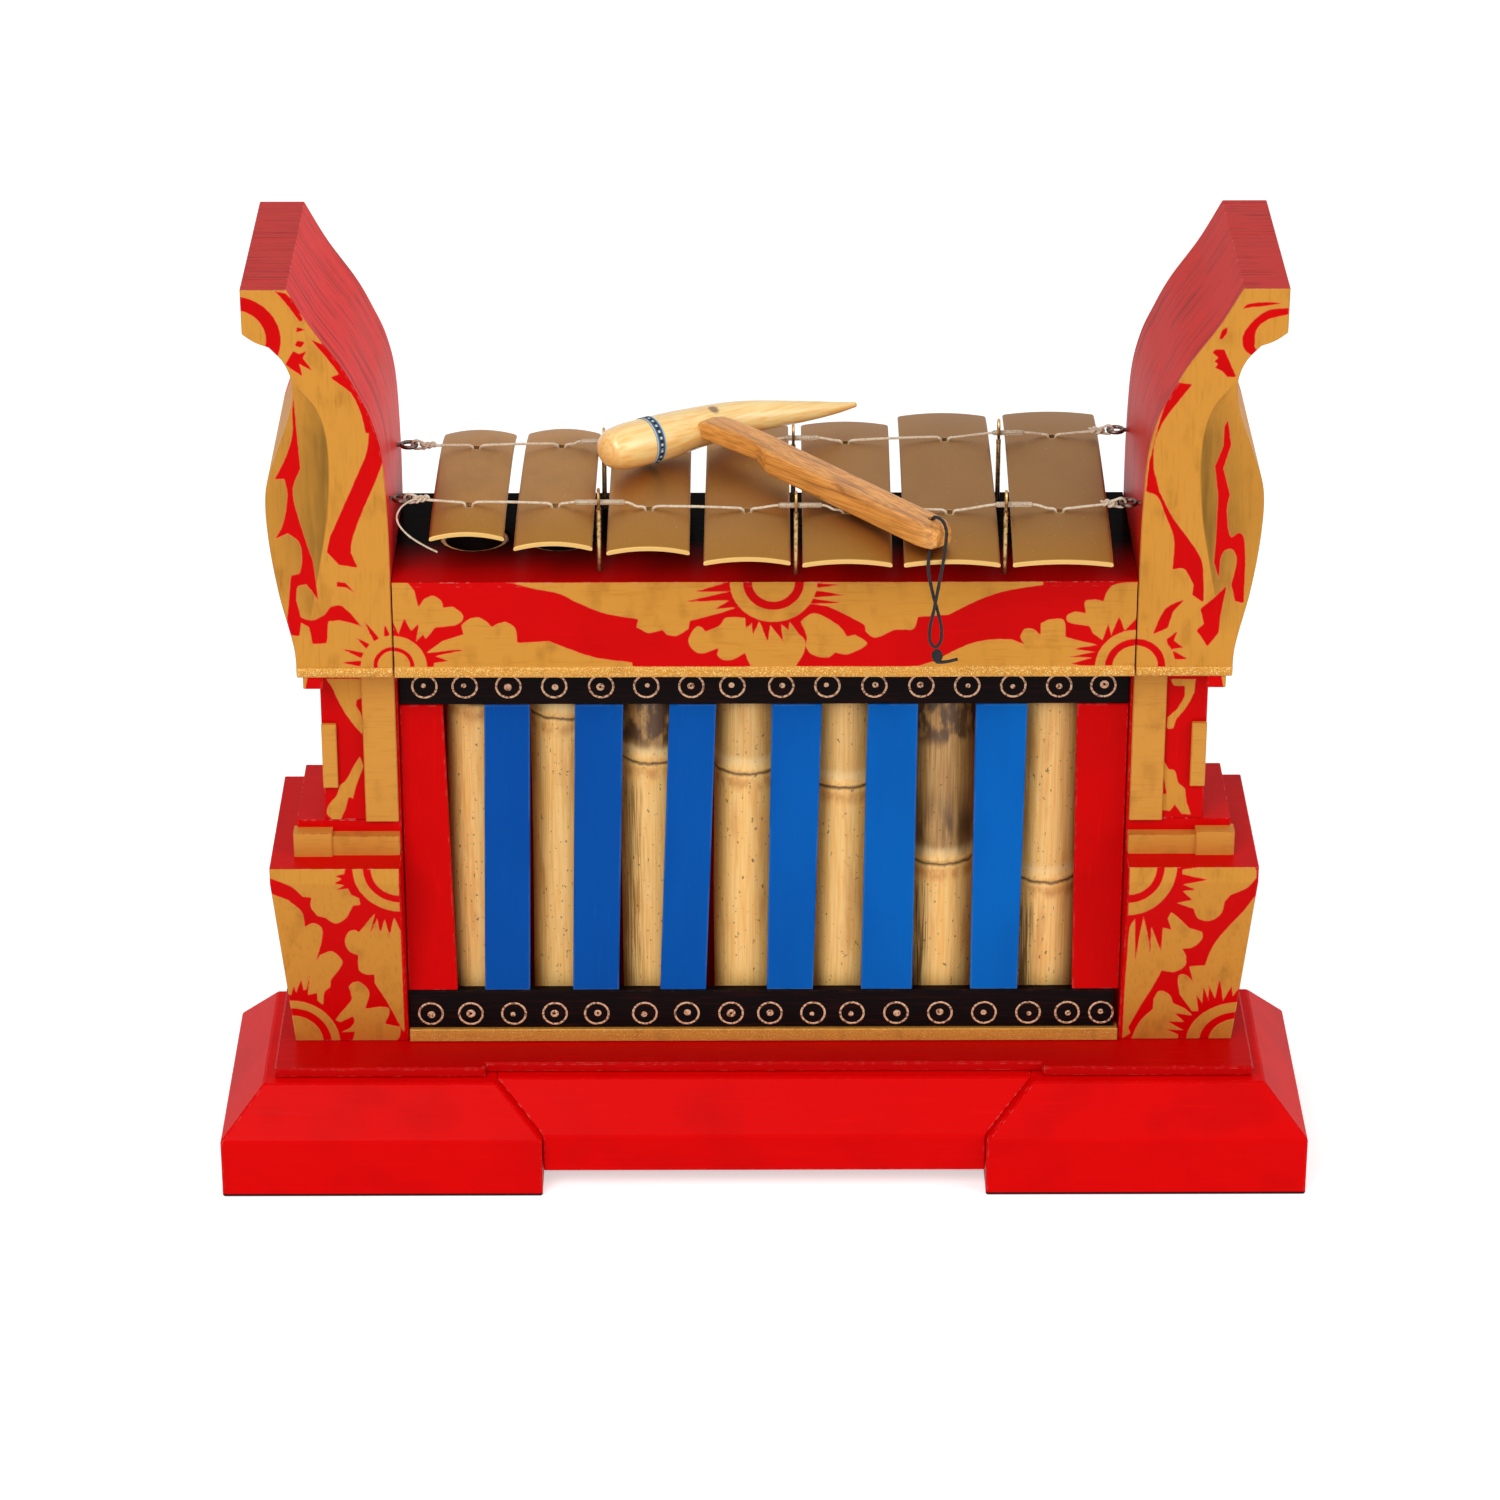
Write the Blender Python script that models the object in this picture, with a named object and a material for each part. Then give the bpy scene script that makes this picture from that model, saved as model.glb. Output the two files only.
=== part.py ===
"""Small seven-key metallophone: metal bars on two cords over tuned bamboo tubes, in a painted case.

Sizes are in metres. +Z is up, X runs along the case with the low notes on the right, and the
carved front faces -Y. The origin is on the floor under the middle of the case.
"""

import math

import bmesh
import bpy
import numpy as np

MM = 0.001
GAP = 0.3 * MM
EDGE = 0.8 * MM

# Case between the posts; its length follows from the keys
CASE_HALF_DEPTH = 51.85 * MM
LID_RISE = 48.1 * MM
BOARD_THICK = 12 * MM
BOARD_LIP = 1.9 * MM
FRIEZE_THICK = 6 * MM
BEAD_HEIGHT = 5 * MM
BEAD_PROUD = 0.8 * MM
BEAD_ROUND = 0.4 * MM

# Base: two feet under the ends, a lifted middle, and a plate on top
BASE_SHIFT = -10 * MM
FOOT_REACH = 26.9 * MM
FOOT_LENGTH = 153.6 * MM
FOOT_HALF_DEPTH = 64.3 * MM
FOOT_RISER = 30.3 * MM
HIP_RISE = 22 * MM
HIP_SLOPE_OUTER = 20.1 * MM
HIP_SLOPE_INNER = 22.4 * MM
HIP_SLOPE_DEPTH = 17.8 * MM
MIDDLE_LIFT = 11 * MM
MIDDLE_SETBACK = 5 * MM
PLATE_LEDGE = 5 * MM
PLATE_THICK = 5.05 * MM

# Pedestals, with the step block and the gilded bar on top of them
PEDESTAL_HEIGHT = 106.25 * MM
PEDESTAL_BAND = 8 * MM
PEDESTAL_SETBACK = 1 * MM
PEDESTAL_WIDTH = 60.7 * MM
PEDESTAL_HALF_DEPTH = 49.4 * MM
PEDESTAL_TAPER_INNER = 1.3 * MM
PEDESTAL_TAPER_OUTER = 6.7 * MM
PEDESTAL_TAPER_DEPTH = 25.3 * MM
STEP_REACH = 13.3 * MM
STEP_HEIGHT = 16 * MM
BAR_HEIGHT = 10 * MM
BAR_PROUD = 5.5 * MM
CORNER_BLOCK_WIDTH = 16.8 * MM
CORNER_BLOCK_RISE = 2.2 * MM
CORNER_BLOCK_PROUD = 1.5 * MM

# Posts: neck, bracket and horn
NECK_SETBACK = 1.1 * MM
NECK_WIDTH = 35 * MM
NECK_HALF_DEPTH = 29.6 * MM
NECK_LENGTH = 84.5 * MM
NECK_TENON = 3 * MM
LIP_DROP = 6.2 * MM
LIP_REACH = 5.9 * MM
LIP_TENON = 2.1 * MM
HORN_FLARE = 5.55 * MM
COVE_DEPTH = 3.6 * MM
RIDGE_MARGIN = 2.5 * MM
BATTEN_THICK = 2.6 * MM
INNER_BATTEN_WIDTH = 15.5 * MM
OUTER_BATTEN_WIDTH = 7 * MM
OUTER_BATTEN_LIFT = 17.9 * MM
OUTER_BATTEN_LENGTH = 33 * MM

# Resonators
TUBE_RADIUS = 16 * MM
TUBE_WALL = 2.6 * MM
TUBE_SEAT_CLEARANCE = 0.7 * MM
TUBE_TOP_DROP = 1 * MM
SEPTUM_THICK = 2 * MM
NODE_RING = 0.6 * MM

# Front panel and back
PANEL_CLEARANCE = 2.5 * MM
PANEL_THICK = 5 * MM
STRIP_HEIGHT = 6.65 * MM
STRIP_PROUD = 1.8 * MM
LOWER_RAIL_HEIGHT = 20.2 * MM
LOWER_RAIL_SHORT = 2.1 * MM
UPPER_RAIL_DROP = 27.2 * MM

# Keys, from the highest note on the left to the lowest on the right
KEY_SPACING = 5.6 * MM
END_ROOM_LEFT = 18.35 * MM
END_ROOM_RIGHT = 14.55 * MM
KEY_THICK = 2.3 * MM
KEY_END_RISE = 25 * MM
KEY_BOW = 5.4 * MM
KEY_HOLE_RADIUS = 2.6 * MM

# Suspension cords, with their sleeves, toggles and knots
CORD_RADIUS = 0.7 * MM
CORD_ABOVE_CROWN = 3.8 * MM
SLEEVE_RADIUS = 1.45 * MM
SLEEVE_REACH = 9 * MM
TOGGLE_RADIUS = 0.95 * MM
TOGGLE_HALF_LENGTH = 5 * MM
TOGGLE_DROP = 2.2 * MM
KNOT_RADIUS = 2.5 * MM
KNOT_REACH = 4.3 * MM
KNOT_DROP = 0.5 * MM

# Hanger pins and screw eyes
PIN_RADIUS = 1.15 * MM
PIN_SOCKET_DEPTH = 8 * MM
PIN_EYE_RADIUS = 2.75 * MM
PIN_EYE_WIRE = 0.7 * MM
PIN_EYE_STRETCH = 1.75
PIN_EYE_LIFT = 1.6 * MM
EYE_RADIUS = 3.6 * MM
EYE_WIRE = 0.95 * MM
EYE_SHANK_WIRE = 1 * MM
EYE_SHANK_LENGTH = 9 * MM
EYE_STAND_OFF = 0.5 * MM

# Mallet
BAND_WIDTH = 5 * MM
BAND_THICK = 0.6 * MM
HANDLE_LENGTH = 150 * MM
HANDLE_WIDTH = 13 * MM
HANDLE_HEIGHT = 11.8 * MM
HANDLE_CHAMFER = 2.4 * MM
HANDLE_HEAD_RISE = 12 * MM
HANDLE_SLOPE = 0.088
LANYARD_RADIUS = 0.75 * MM
LANYARD_HOLE_RADIUS = 1.7 * MM
LANYARD_HOLE_INSET = 6 * MM

# Each key, in millimetres: width at its front and back end, half length and middle in depth, how
# far it lies to the right of an even layout and its back end to the right of its front end, cross
# arch, depth of its two cord holes, and the length of air in its tube.
KEYS = [
    dict(front_w=34.1, back_w=34.4, half=61.0, mid=3.0, shift=0.0, lean=1.4, arch=2.6,
         holes=(-35.5, 30.0), air=78.3),
    dict(front_w=35.7, back_w=34.5, half=67.0, mid=-2.0, shift=-0.9, lean=1.7, arch=2.6,
         holes=(-38.0, 32.0), air=86.3),
    dict(front_w=37.6, back_w=37.0, half=74.5, mid=0.5, shift=0.0, lean=0.6, arch=2.3,
         holes=(-41.0, 34.0), air=109.5),
    dict(front_w=39.2, back_w=38.4, half=80.0, mid=-5.5, shift=0.7, lean=1.1, arch=2.1,
         holes=(-43.5, 36.0), air=115.4),
    dict(front_w=40.5, back_w=41.7, half=81.5, mid=-6.3, shift=0.4, lean=2.0, arch=1.9,
         holes=(-45.0, 38.0), air=123.0),
    dict(front_w=43.4, back_w=42.3, half=87.0, mid=-1.0, shift=0.0, lean=1.7, arch=1.8,
         holes=(-45.0, 41.0), air=163.7),
    dict(front_w=45.2, back_w=43.9, half=88.0, mid=0.0, shift=0.0, lean=3.0, arch=1.6,
         holes=(-43.0, 45.5), air=173.5),
]

# Places along X, from the case outwards
KEY_ROW_LENGTH = sum(key["front_w"] for key in KEYS) * MM + (len(KEYS) - 1) * KEY_SPACING
CASE_HALF_LENGTH = (END_ROOM_LEFT + KEY_ROW_LENGTH + END_ROOM_RIGHT) / 2
HORN_INNER_X = CASE_HALF_LENGTH + GAP
NECK_INNER_X = HORN_INNER_X + NECK_SETBACK
NECK_OUTER_X = NECK_INNER_X + NECK_WIDTH
STEP_OUTER_X = NECK_OUTER_X + STEP_REACH
PEDESTAL_INNER_X = HORN_INNER_X + PEDESTAL_SETBACK
PEDESTAL_OUTER_X = PEDESTAL_INNER_X + PEDESTAL_WIDTH
FOOT_OUTER_X = PEDESTAL_OUTER_X + FOOT_REACH
FOOT_INNER_X = FOOT_OUTER_X - FOOT_LENGTH
FOOT_HIP_OUTER_X = FOOT_OUTER_X - HIP_SLOPE_OUTER
FOOT_HIP_INNER_X = FOOT_INNER_X + HIP_SLOPE_INNER
EYE_CENTRE_X = HORN_INNER_X - EYE_RADIUS - EYE_WIRE - EYE_STAND_OFF

# Places in depth
PANEL_BACK_Y = -TUBE_RADIUS - NODE_RING - PANEL_CLEARANCE
PANEL_FRONT_Y = PANEL_BACK_Y - PANEL_THICK
BACK_PANEL_Y = TUBE_RADIUS + NODE_RING + PANEL_CLEARANCE

# Heights, from the floor upwards
HIP_HEIGHT = FOOT_RISER + HIP_RISE
PLATE_TOP = HIP_HEIGHT + GAP + PLATE_THICK
PEDESTAL_TOP = PLATE_TOP + GAP + PEDESTAL_HEIGHT
STEP_TOP = PEDESTAL_TOP + STEP_HEIGHT
NECK_BOTTOM = STEP_TOP + GAP
BRACKET_BOTTOM = NECK_BOTTOM + NECK_LENGTH
BOARD_TOP = BRACKET_BOTTOM + LID_RISE
BOARD_BOTTOM = BOARD_TOP - BOARD_THICK
STRIP_TOP = PLATE_TOP + GAP + STRIP_HEIGHT
LOWER_RAIL_TOP = STRIP_TOP + GAP + LOWER_RAIL_HEIGHT
UPPER_RAIL_BOTTOM = BRACKET_BOTTOM - UPPER_RAIL_DROP
CROWN_LEVEL = BOARD_TOP + KEY_END_RISE + KEY_BOW
CORD_LEVEL = CROWN_LEVEL + CORD_ABOVE_CROWN

# Red boards at the ends of the panel: width at the top and at the bottom
RED_BOARDS = {"left": (20.2, 23.6), "right": (24.2, 22.5)}

# Blue boards, one between each two tubes: width, and shift from the middle between the tubes, at
# the top and then at the bottom
BLUE_BOARDS = [
    ((21.4, -5.5), (21.7, -8.3)),
    ((22.7, -3.5), (22.1, -6.9)),
    ((22.0, -3.3), (22.1, -8.7)),
    ((23.5, 0.3), (22.2, -2.5)),
    ((23.5, -0.9), (24.6, -2.3)),
    ((24.2, 1.4), (22.7, 0.6)),
]

# Hanger pins, one after every second key: shift from the middle of the gap, and depth
PINS = {
    "front": [(-1.2, -39.0), (0.0, -43.0), (1.1, -42.5)],
    "back": [(-0.7, 33.0), (-0.8, 37.0), (0.6, 43.0)],
}
EYE_DEPTHS = {"front": (-34.0, -40.5), "back": (29.5, 46.5)}

# The key on which the mallet's stick holds the front cord down, and where, from the key's middle
PRESSED_KEY = 5
PRESSED = {"front": (6.6, 12.6, 17.6), "back": ()}

# Half of a cord's way round a toggle: distance from the hole's middle, and height over the
# key's top, then over its underside.
OVER_KEY = [(-6.0, 1.5), (-2.6, 1.15), (-1.15, 0.1)]
UNDER_KEY = [(-1.15, -0.6), (-0.86, -2.9), (0.0, -3.35)]

# Outlines of the horn from the front: distance out from the case, height over the bracket's bottom
HORN_OUTER = [(44.6, 0), (45.6, 16), (51.6, 42), (55.4, 70), (55.4, 93), (49.6, 112), (43.1, 131),
              (41.0, 146), (44.1, 157), (51.1, 165.5)]
HORN_INNER = [(0, 0), (0, 48), (0.3, 80), (1.8, 110), (5.6, 128), (11.1, 141), (18.6, 155.5),
              (31.6, 174.5), (41.8, 192.9)]
RIDGE = [(41.6, 0), (37.1, 30), (31.1, 60), (27.2, 82), (25.6, 105), (26.8, 123), (30.6, 135),
         (36.6, 143), (40.9, 148)]
HORN_LEVELS = [16, 27, 38, 48, 58, 68, 78, 87, 96, 104, 112, 120, 127, 134, 140, 146, 151, 156,
               161, 165.5]
HORN_TIP_LEVELS = [171.5, 179, 186, 192.9]
HORN_TIP_REACH = 62.4
COVE_START = (20, 70)
COVE_END = (120, 147)

# Mallet head: middle line in plan, height over the crown of the keys, and radius
HEAD = [(-74.0, -6.5, 15.1, 5.0), (-72.6, -5.4, 15.1, 7.6), (-69.5, -3.2, 15.1, 9.6),
        (-64.0, 0.7, 14.9, 10.7), (-57.0, 5.6, 14.7, 10.9), (-54.5, 7.4, 14.6, 10.9),
        (-50.2, 10.5, 14.5, 10.9), (-46.0, 13.8, 14.4, 10.8), (-35.6, 22.0, 14.2, 10.0),
        (-20.0, 33.4, 13.8, 8.7), (-8.0, 39.5, 13.5, 7.7), (4.2, 44.0, 13.0, 6.6),
        (21.3, 50.6, 12.0, 4.7), (34.0, 55.5, 11.0, 3.1), (44.2, 60.2, 10.2, 1.3)]
BAND_FIRST = 4
BAND_LAST = 6

# Mallet stick: where its middle line ends inside the head, the way it runs from there, and the
# wood taken off below, off the near side, off the top and off the far side, at distances from the
# head end and then from the free end.
HANDLE_ROOT = (-28.7, 24.1)
HANDLE_DIRECTION = (0.72, -0.694)
HANDLE_HEAD_SECTIONS = [
    (0, 3.8, 2.0, 1.4, 2.8), (10, 3.4, 2.4, 0.3, 1.2), (22, 3.4, 3.0, 0, 0.3),
    (41, 3.6, 3.0, 0, 0), (47, 1.4, 1.2, 0, 0), (52, 0, 0, 0, 0),
]
HANDLE_END_SECTIONS = [(11, 0, 0, 0, 0), (1.6, 2.5, 0.4, 0.5, 0.4), (0, 3.4, 1.8, 1.8, 1.8)]

# Lanyard: up out of the hole, over the end of the stick, down past the key's end, round the
# bottom of its loop and up again under the stick; then its knot with the short tail.
LANYARD = [(75.0, -75.8, 349), (75.1, -76.3, 354.4), (76.7, -77.9, 356.5), (79.7, -81.2, 355.9),
           (81.3, -84.6, 352.4), (80.9, -87.8, 347.4), (80.1, -90.3, 341.5), (79.0, -91.0, 335),
           (77.4, -91.2, 325), (75.6, -91.3, 314.5), (74.3, -91.0, 307), (74.6, -90.4, 300.5),
           (77.0, -90.0, 297.6), (79.4, -89.6, 300.5), (79.6, -89.5, 307), (77.8, -89.4, 315),
           (75.4, -89.5, 324), (73.6, -89.7, 333), (73.2, -89.6, 338), (73.4, -88.4, 341.1),
           (73.9, -84.5, 342.1), (74.4, -80.3, 342.4), (74.85, -77.3, 343.1), (75.0, -76.0, 345.1),
           (75.0, -75.8, 347.0)]
LANYARD_KNOT = [(77.2, -90.0, 296.2, 0.9), (77.5, -90.0, 295.2, 2.0), (77.8, -90.0, 293.4, 2.4),
                (78.2, -90.0, 291.4, 2.0), (79.4, -90.0, 290.2, 0.9), (82.6, -90.0, 290.4, 0.75),
                (87.2, -90.0, 291.6, 0.75)]


def clear_scene():
    for obj in list(bpy.data.objects):
        bpy.data.objects.remove(obj, do_unlink=True)


def material(name, color, roughness, metallic=0.0):
    made = bpy.data.materials.new(name)
    made.use_nodes = True
    shader = made.node_tree.nodes["Principled BSDF"]
    shader.inputs["Base Color"].default_value = (*color, 1.0)
    shader.inputs["Roughness"].default_value = roughness
    shader.inputs["Metallic"].default_value = metallic
    return made


def place(name, bm, finish, round_shape=False, origin=(0, 0, 0)):
    """Puts a bmesh into the scene as a named object with its finish and its origin."""
    bmesh.ops.recalc_face_normals(bm, faces=bm.faces)
    bmesh.ops.translate(bm, verts=bm.verts, vec=[-value for value in origin])
    mesh = bpy.data.meshes.new(name)
    bm.to_mesh(mesh)
    bm.free()
    mesh.materials.append(finish)
    if round_shape:
        mesh.shade_smooth()
        mesh.set_sharp_from_angle(angle=math.radians(40))
    obj = bpy.data.objects.new(name, mesh)
    obj.location = origin
    bpy.context.scene.collection.objects.link(obj)
    return obj


def loft(rings):
    """A skin over rings that all have the same number of points, with flat ends."""
    bm = bmesh.new()
    rows = [[bm.verts.new(point) for point in ring] for ring in rings]
    count = len(rows[0])
    for low, high in zip(rows, rows[1:]):
        for i in range(count):
            j = (i + 1) % count
            bm.faces.new((low[i], low[j], high[j], high[i]))
    bm.faces.new(rows[0][::-1])
    bm.faces.new(rows[-1])
    return bm


def rectangle(x0, x1, y0, y1, z):
    return [(x0, y0, z), (x1, y0, z), (x1, y1, z), (x0, y1, z)]


def block(x0, x1, y0, y1, z0, z1):
    return loft([rectangle(x0, x1, y0, y1, z0), rectangle(x0, x1, y0, y1, z1)])


def soften(obj, width=EDGE):
    """Breaks the sharp edges, as on any hand-planed board."""
    bevel = obj.modifiers.new("broken_edges", "BEVEL")
    bevel.width = width
    bevel.segments = 1
    bevel.limit_method = "ANGLE"
    bevel.angle_limit = math.radians(30)


def boolean(obj, name, bm, operation="DIFFERENCE"):
    """Cuts a helper shape from the object, or joins it on."""
    tool = place(name, bm, obj.data.materials[0])
    tool.hide_render = True
    tool.display_type = "WIRE"
    step = obj.modifiers.new(name, "BOOLEAN")
    step.operation = operation
    step.solver = "EXACT"
    step.object = tool
    return step


def cylinder(x, y, z0, z1, radius, sides):
    angles = [2 * math.pi * i / sides for i in range(sides)]
    return loft([
        [(x + radius * math.cos(a), y + radius * math.sin(a), z) for a in angles]
        for z in (z0, z1)
    ])


def join(*parts):
    """One bmesh out of several, each still a body of its own."""
    whole = bmesh.new()
    for bm in parts:
        mesh = bpy.data.meshes.new("part")
        bm.to_mesh(mesh)
        bm.free()
        whole.from_mesh(mesh)
        bpy.data.meshes.remove(mesh)
    return whole


def smooth_curve(points, steps):
    """Points along a smooth curve through the given ones, 'steps' to each stretch."""
    p = np.array(points, float)
    p = np.vstack([2 * p[0] - p[1], p, 2 * p[-1] - p[-2]])
    t = np.arange(steps)[:, None] / steps
    pieces = []
    for a, b, c, d in zip(p, p[1:], p[2:], p[3:]):
        pieces.append(0.5 * (2 * b + (c - a) * t + (2 * a - 5 * b + 4 * c - d) * t**2
                             + (3 * b - a - 3 * c + d) * t**3))
    pieces.append(p[-2][None])
    return np.vstack(pieces)


def sweep(path, radii, sides, first_normal=(0, 0, 1)):
    """A round tube along a path, with its radius given at every point."""
    path = np.asarray(path, float)
    radii = np.broadcast_to(radii, len(path))
    ahead = np.gradient(path, axis=0)
    ahead /= np.linalg.norm(ahead, axis=1)[:, None]
    normal = np.array(first_normal, float)
    rings = []
    for point, direction, radius in zip(path, ahead, radii):
        normal = normal - direction * normal.dot(direction)
        normal /= np.linalg.norm(normal)
        side = np.cross(direction, normal)
        angles = 2 * np.pi * (np.arange(sides) + 0.5) / sides
        rings.append(point + radius * (np.outer(np.cos(angles), normal)
                                       + np.outer(np.sin(angles), side)))
    return loft(rings)


def turned(profile, sides, x, y):
    """A profile of (radius, height) pairs turned round an upright line; radius 0 ends on the line."""
    bm = bmesh.new()
    angles = [2 * math.pi * i / sides for i in range(sides)]
    rows = []
    for radius, z in profile:
        if radius == 0:
            rows.append([bm.verts.new((x, y, z))])
        else:
            rows.append([bm.verts.new((x + radius * math.cos(a), y + radius * math.sin(a), z))
                         for a in angles])
    for low, high in zip(rows, rows[1:]):
        for i in range(sides):
            j = (i + 1) % sides
            if len(low) == 1:
                bm.faces.new((low[0], high[j], high[i]))
            elif len(high) == 1:
                bm.faces.new((low[i], low[j], high[0]))
            else:
                bm.faces.new((low[i], low[j], high[j], high[i]))
    return bm


def ring(centre, axis_a, axis_b, radius, wire, around, sides, stretch=1.0):
    """A closed wire ring in the plane of two unit axes, lengthened by 'stretch' along the second."""
    bm = bmesh.new()
    centre = np.array(centre)
    axis_a = np.array(axis_a, float)
    axis_b = np.array(axis_b, float)
    lift = np.cross(axis_a, axis_b)
    rows = []
    for i in range(around):
        a = 2 * math.pi * i / around
        outward = math.cos(a) * axis_a + math.sin(a) * axis_b
        middle = centre + radius * (math.cos(a) * axis_a + stretch * math.sin(a) * axis_b)
        row = []
        for j in range(sides):
            b = 2 * math.pi * j / sides
            row.append(bm.verts.new(middle + wire * (math.cos(b) * outward + math.sin(b) * lift)))
        rows.append(row)
    for i in range(around):
        low = rows[i]
        high = rows[(i + 1) % around]
        for j in range(sides):
            k = (j + 1) % sides
            bm.faces.new((low[j], low[k], high[k], high[j]))
    return bm


def mirrored(x0, x1, side):
    """An interval of distances from the middle of the case, put on the left or the right."""
    return (side * x0, side * x1) if side > 0 else (side * x1, side * x0)


def make_finishes():
    return {
        "red": material("red_paint", (0.62, 0.02, 0.02), 0.45),
        "gold": material("gold_paint", (0.70, 0.42, 0.13), 0.5),
        "blue": material("blue_paint", (0.01, 0.10, 0.38), 0.45),
        "black": material("black_paint", (0.02, 0.01, 0.01), 0.4),
        "bamboo": material("bamboo", (0.75, 0.45, 0.20), 0.5),
        "key": material("key_brass", (0.40, 0.28, 0.14), 0.4, 1.0),
        "brass": material("pin_brass", (0.70, 0.50, 0.25), 0.3, 1.0),
        "steel": material("steel_wire", (0.55, 0.50, 0.48), 0.25, 1.0),
        "nylon": material("nylon_cord", (0.80, 0.74, 0.66), 0.35),
        "head": material("varnished_wood", (0.80, 0.48, 0.20), 0.3),
        "handle": material("bamboo_stick", (0.55, 0.28, 0.09), 0.4),
        "band": material("patterned_band", (0.05, 0.08, 0.15), 0.5),
        "lanyard": material("black_cord", (0.02, 0.02, 0.02), 0.8),
    }


def make_base(finish):
    """Two feet under the ends, a lifted middle between them, and the plate that ties them."""
    y = BASE_SHIFT
    for side, name in ((-1, "foot_left"), (1, "foot_right")):
        x0, x1 = mirrored(FOOT_INNER_X, FOOT_OUTER_X, side)
        h0, h1 = mirrored(FOOT_HIP_INNER_X, FOOT_HIP_OUTER_X, side)
        d = FOOT_HALF_DEPTH
        e = d - HIP_SLOPE_DEPTH
        foot = place(name, loft([
            rectangle(x0, x1, y - d, y + d, 0),
            rectangle(x0, x1, y - d, y + d, FOOT_RISER),
            rectangle(h0, h1, y - e, y + e, HIP_HEIGHT),
        ]), finish["red"])
        soften(foot)
    d = FOOT_HALF_DEPTH - MIDDLE_SETBACK
    e = d - HIP_SLOPE_DEPTH
    x0 = FOOT_INNER_X - GAP
    x1 = FOOT_HIP_INNER_X - GAP
    middle = place("base_middle", loft([
        rectangle(-x0, x0, y - d, y + d, MIDDLE_LIFT),
        rectangle(-x0, x0, y - d, y + d, FOOT_RISER),
        rectangle(-x1, x1, y - e, y + e, HIP_HEIGHT),
    ]), finish["red"])
    soften(middle)
    x1 = FOOT_HIP_OUTER_X - PLATE_LEDGE
    x0 = FOOT_HIP_INNER_X + PLATE_LEDGE
    d = FOOT_HALF_DEPTH - HIP_SLOPE_DEPTH - PLATE_LEDGE
    e = d - MIDDLE_SETBACK
    corners = [(x1, -d), (x1, d), (x0, d), (x0, e), (-x0, e), (-x0, d),
               (-x1, d), (-x1, -d), (-x0, -d), (-x0, -e), (x0, -e), (x0, -d)]
    plate = place("base_plate", loft([
        [(px, y + py, z) for px, py in corners] for z in (HIP_HEIGHT + GAP, PLATE_TOP)
    ]), finish["red"])
    soften(plate)


def make_pedestal(side, name, finish):
    """A block that flares upwards on all but its inner face, with the step and the bar on top."""
    foot = mirrored(PEDESTAL_INNER_X + PEDESTAL_TAPER_INNER,
                    PEDESTAL_OUTER_X - PEDESTAL_TAPER_OUTER, side)
    head = mirrored(PEDESTAL_INNER_X, PEDESTAL_OUTER_X, side)
    step = mirrored(NECK_INNER_X, STEP_OUTER_X, side)
    d = PEDESTAL_HALF_DEPTH
    f = d - PEDESTAL_TAPER_DEPTH
    n = NECK_HALF_DEPTH
    obj = place(name, loft([
        rectangle(*foot, -f, f, PLATE_TOP + GAP),
        rectangle(*head, -d, d, PEDESTAL_TOP - PEDESTAL_BAND),
        rectangle(*head, -d, d, PEDESTAL_TOP),
        rectangle(*step, -n, n, PEDESTAL_TOP),
        rectangle(*step, -n, n, STEP_TOP),
    ]), finish["red"])
    soften(obj)
    corner_inner = STEP_OUTER_X - CORNER_BLOCK_WIDTH
    bar = mirrored(NECK_INNER_X + EDGE, corner_inner + EDGE, side)
    corner = mirrored(corner_inner, STEP_OUTER_X + CORNER_BLOCK_PROUD, side)
    front = -n - BAR_PROUD
    sunk = EDGE
    top = PEDESTAL_TOP + BAR_HEIGHT
    boolean(obj, name + "_bar", block(*bar, front, -n + sunk, PEDESTAL_TOP - sunk, top), "UNION")
    boolean(obj, name + "_corner", block(*corner, front - CORNER_BLOCK_PROUD, -n + sunk + EDGE,
                                         PEDESTAL_TOP - sunk - EDGE, top + CORNER_BLOCK_RISE), "UNION")


def outline_at(outline, rise):
    """Distance of a smooth outline from the middle of the case, at a rise over the bracket's bottom."""
    curve = smooth_curve(outline, 6) * MM
    return HORN_INNER_X + float(np.interp(rise, curve[:, 1], curve[:, 0]))


def share_between(value, low, high):
    return float(np.clip((value - low) / (high - low), 0, 1))


def horn_section(rise, side, proud):
    """One level of the horn: a flat face up to the ridge, then the cove out to the outer edge."""
    inner = outline_at(HORN_INNER, rise)
    outer = outline_at(HORN_OUTER, rise)
    if rise >= HORN_TIP_LEVELS[0] * MM:
        outer = HORN_INNER_X + HORN_TIP_REACH * MM
    ridge = np.clip(outline_at(RIDGE, rise), inner + RIDGE_MARGIN, outer - RIDGE_MARGIN)
    top = HORN_TIP_LEVELS[-1] * MM
    d = CASE_HALF_DEPTH + proud + share_between(rise, LID_RISE, top) * HORN_FLARE
    deepen = share_between(rise, COVE_START[0] * MM, COVE_START[1] * MM)
    fade = 1 - share_between(rise, COVE_END[0] * MM, COVE_END[1] * MM)
    depth = COVE_DEPTH * (deepen * fade) ** 0.7
    points = [(inner, -d), ((inner + ridge) / 2, -d), (ridge, -d)]
    for share in (0.12, 0.3, 0.6, 1.0):
        points.append((ridge + share * (outer - ridge), -d + depth * (1 - (1 - share) ** 3)))
    points += [(outer, d), (inner, d)]
    return [(side * px, py, BRACKET_BOTTOM + rise) for px, py in points]


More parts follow.
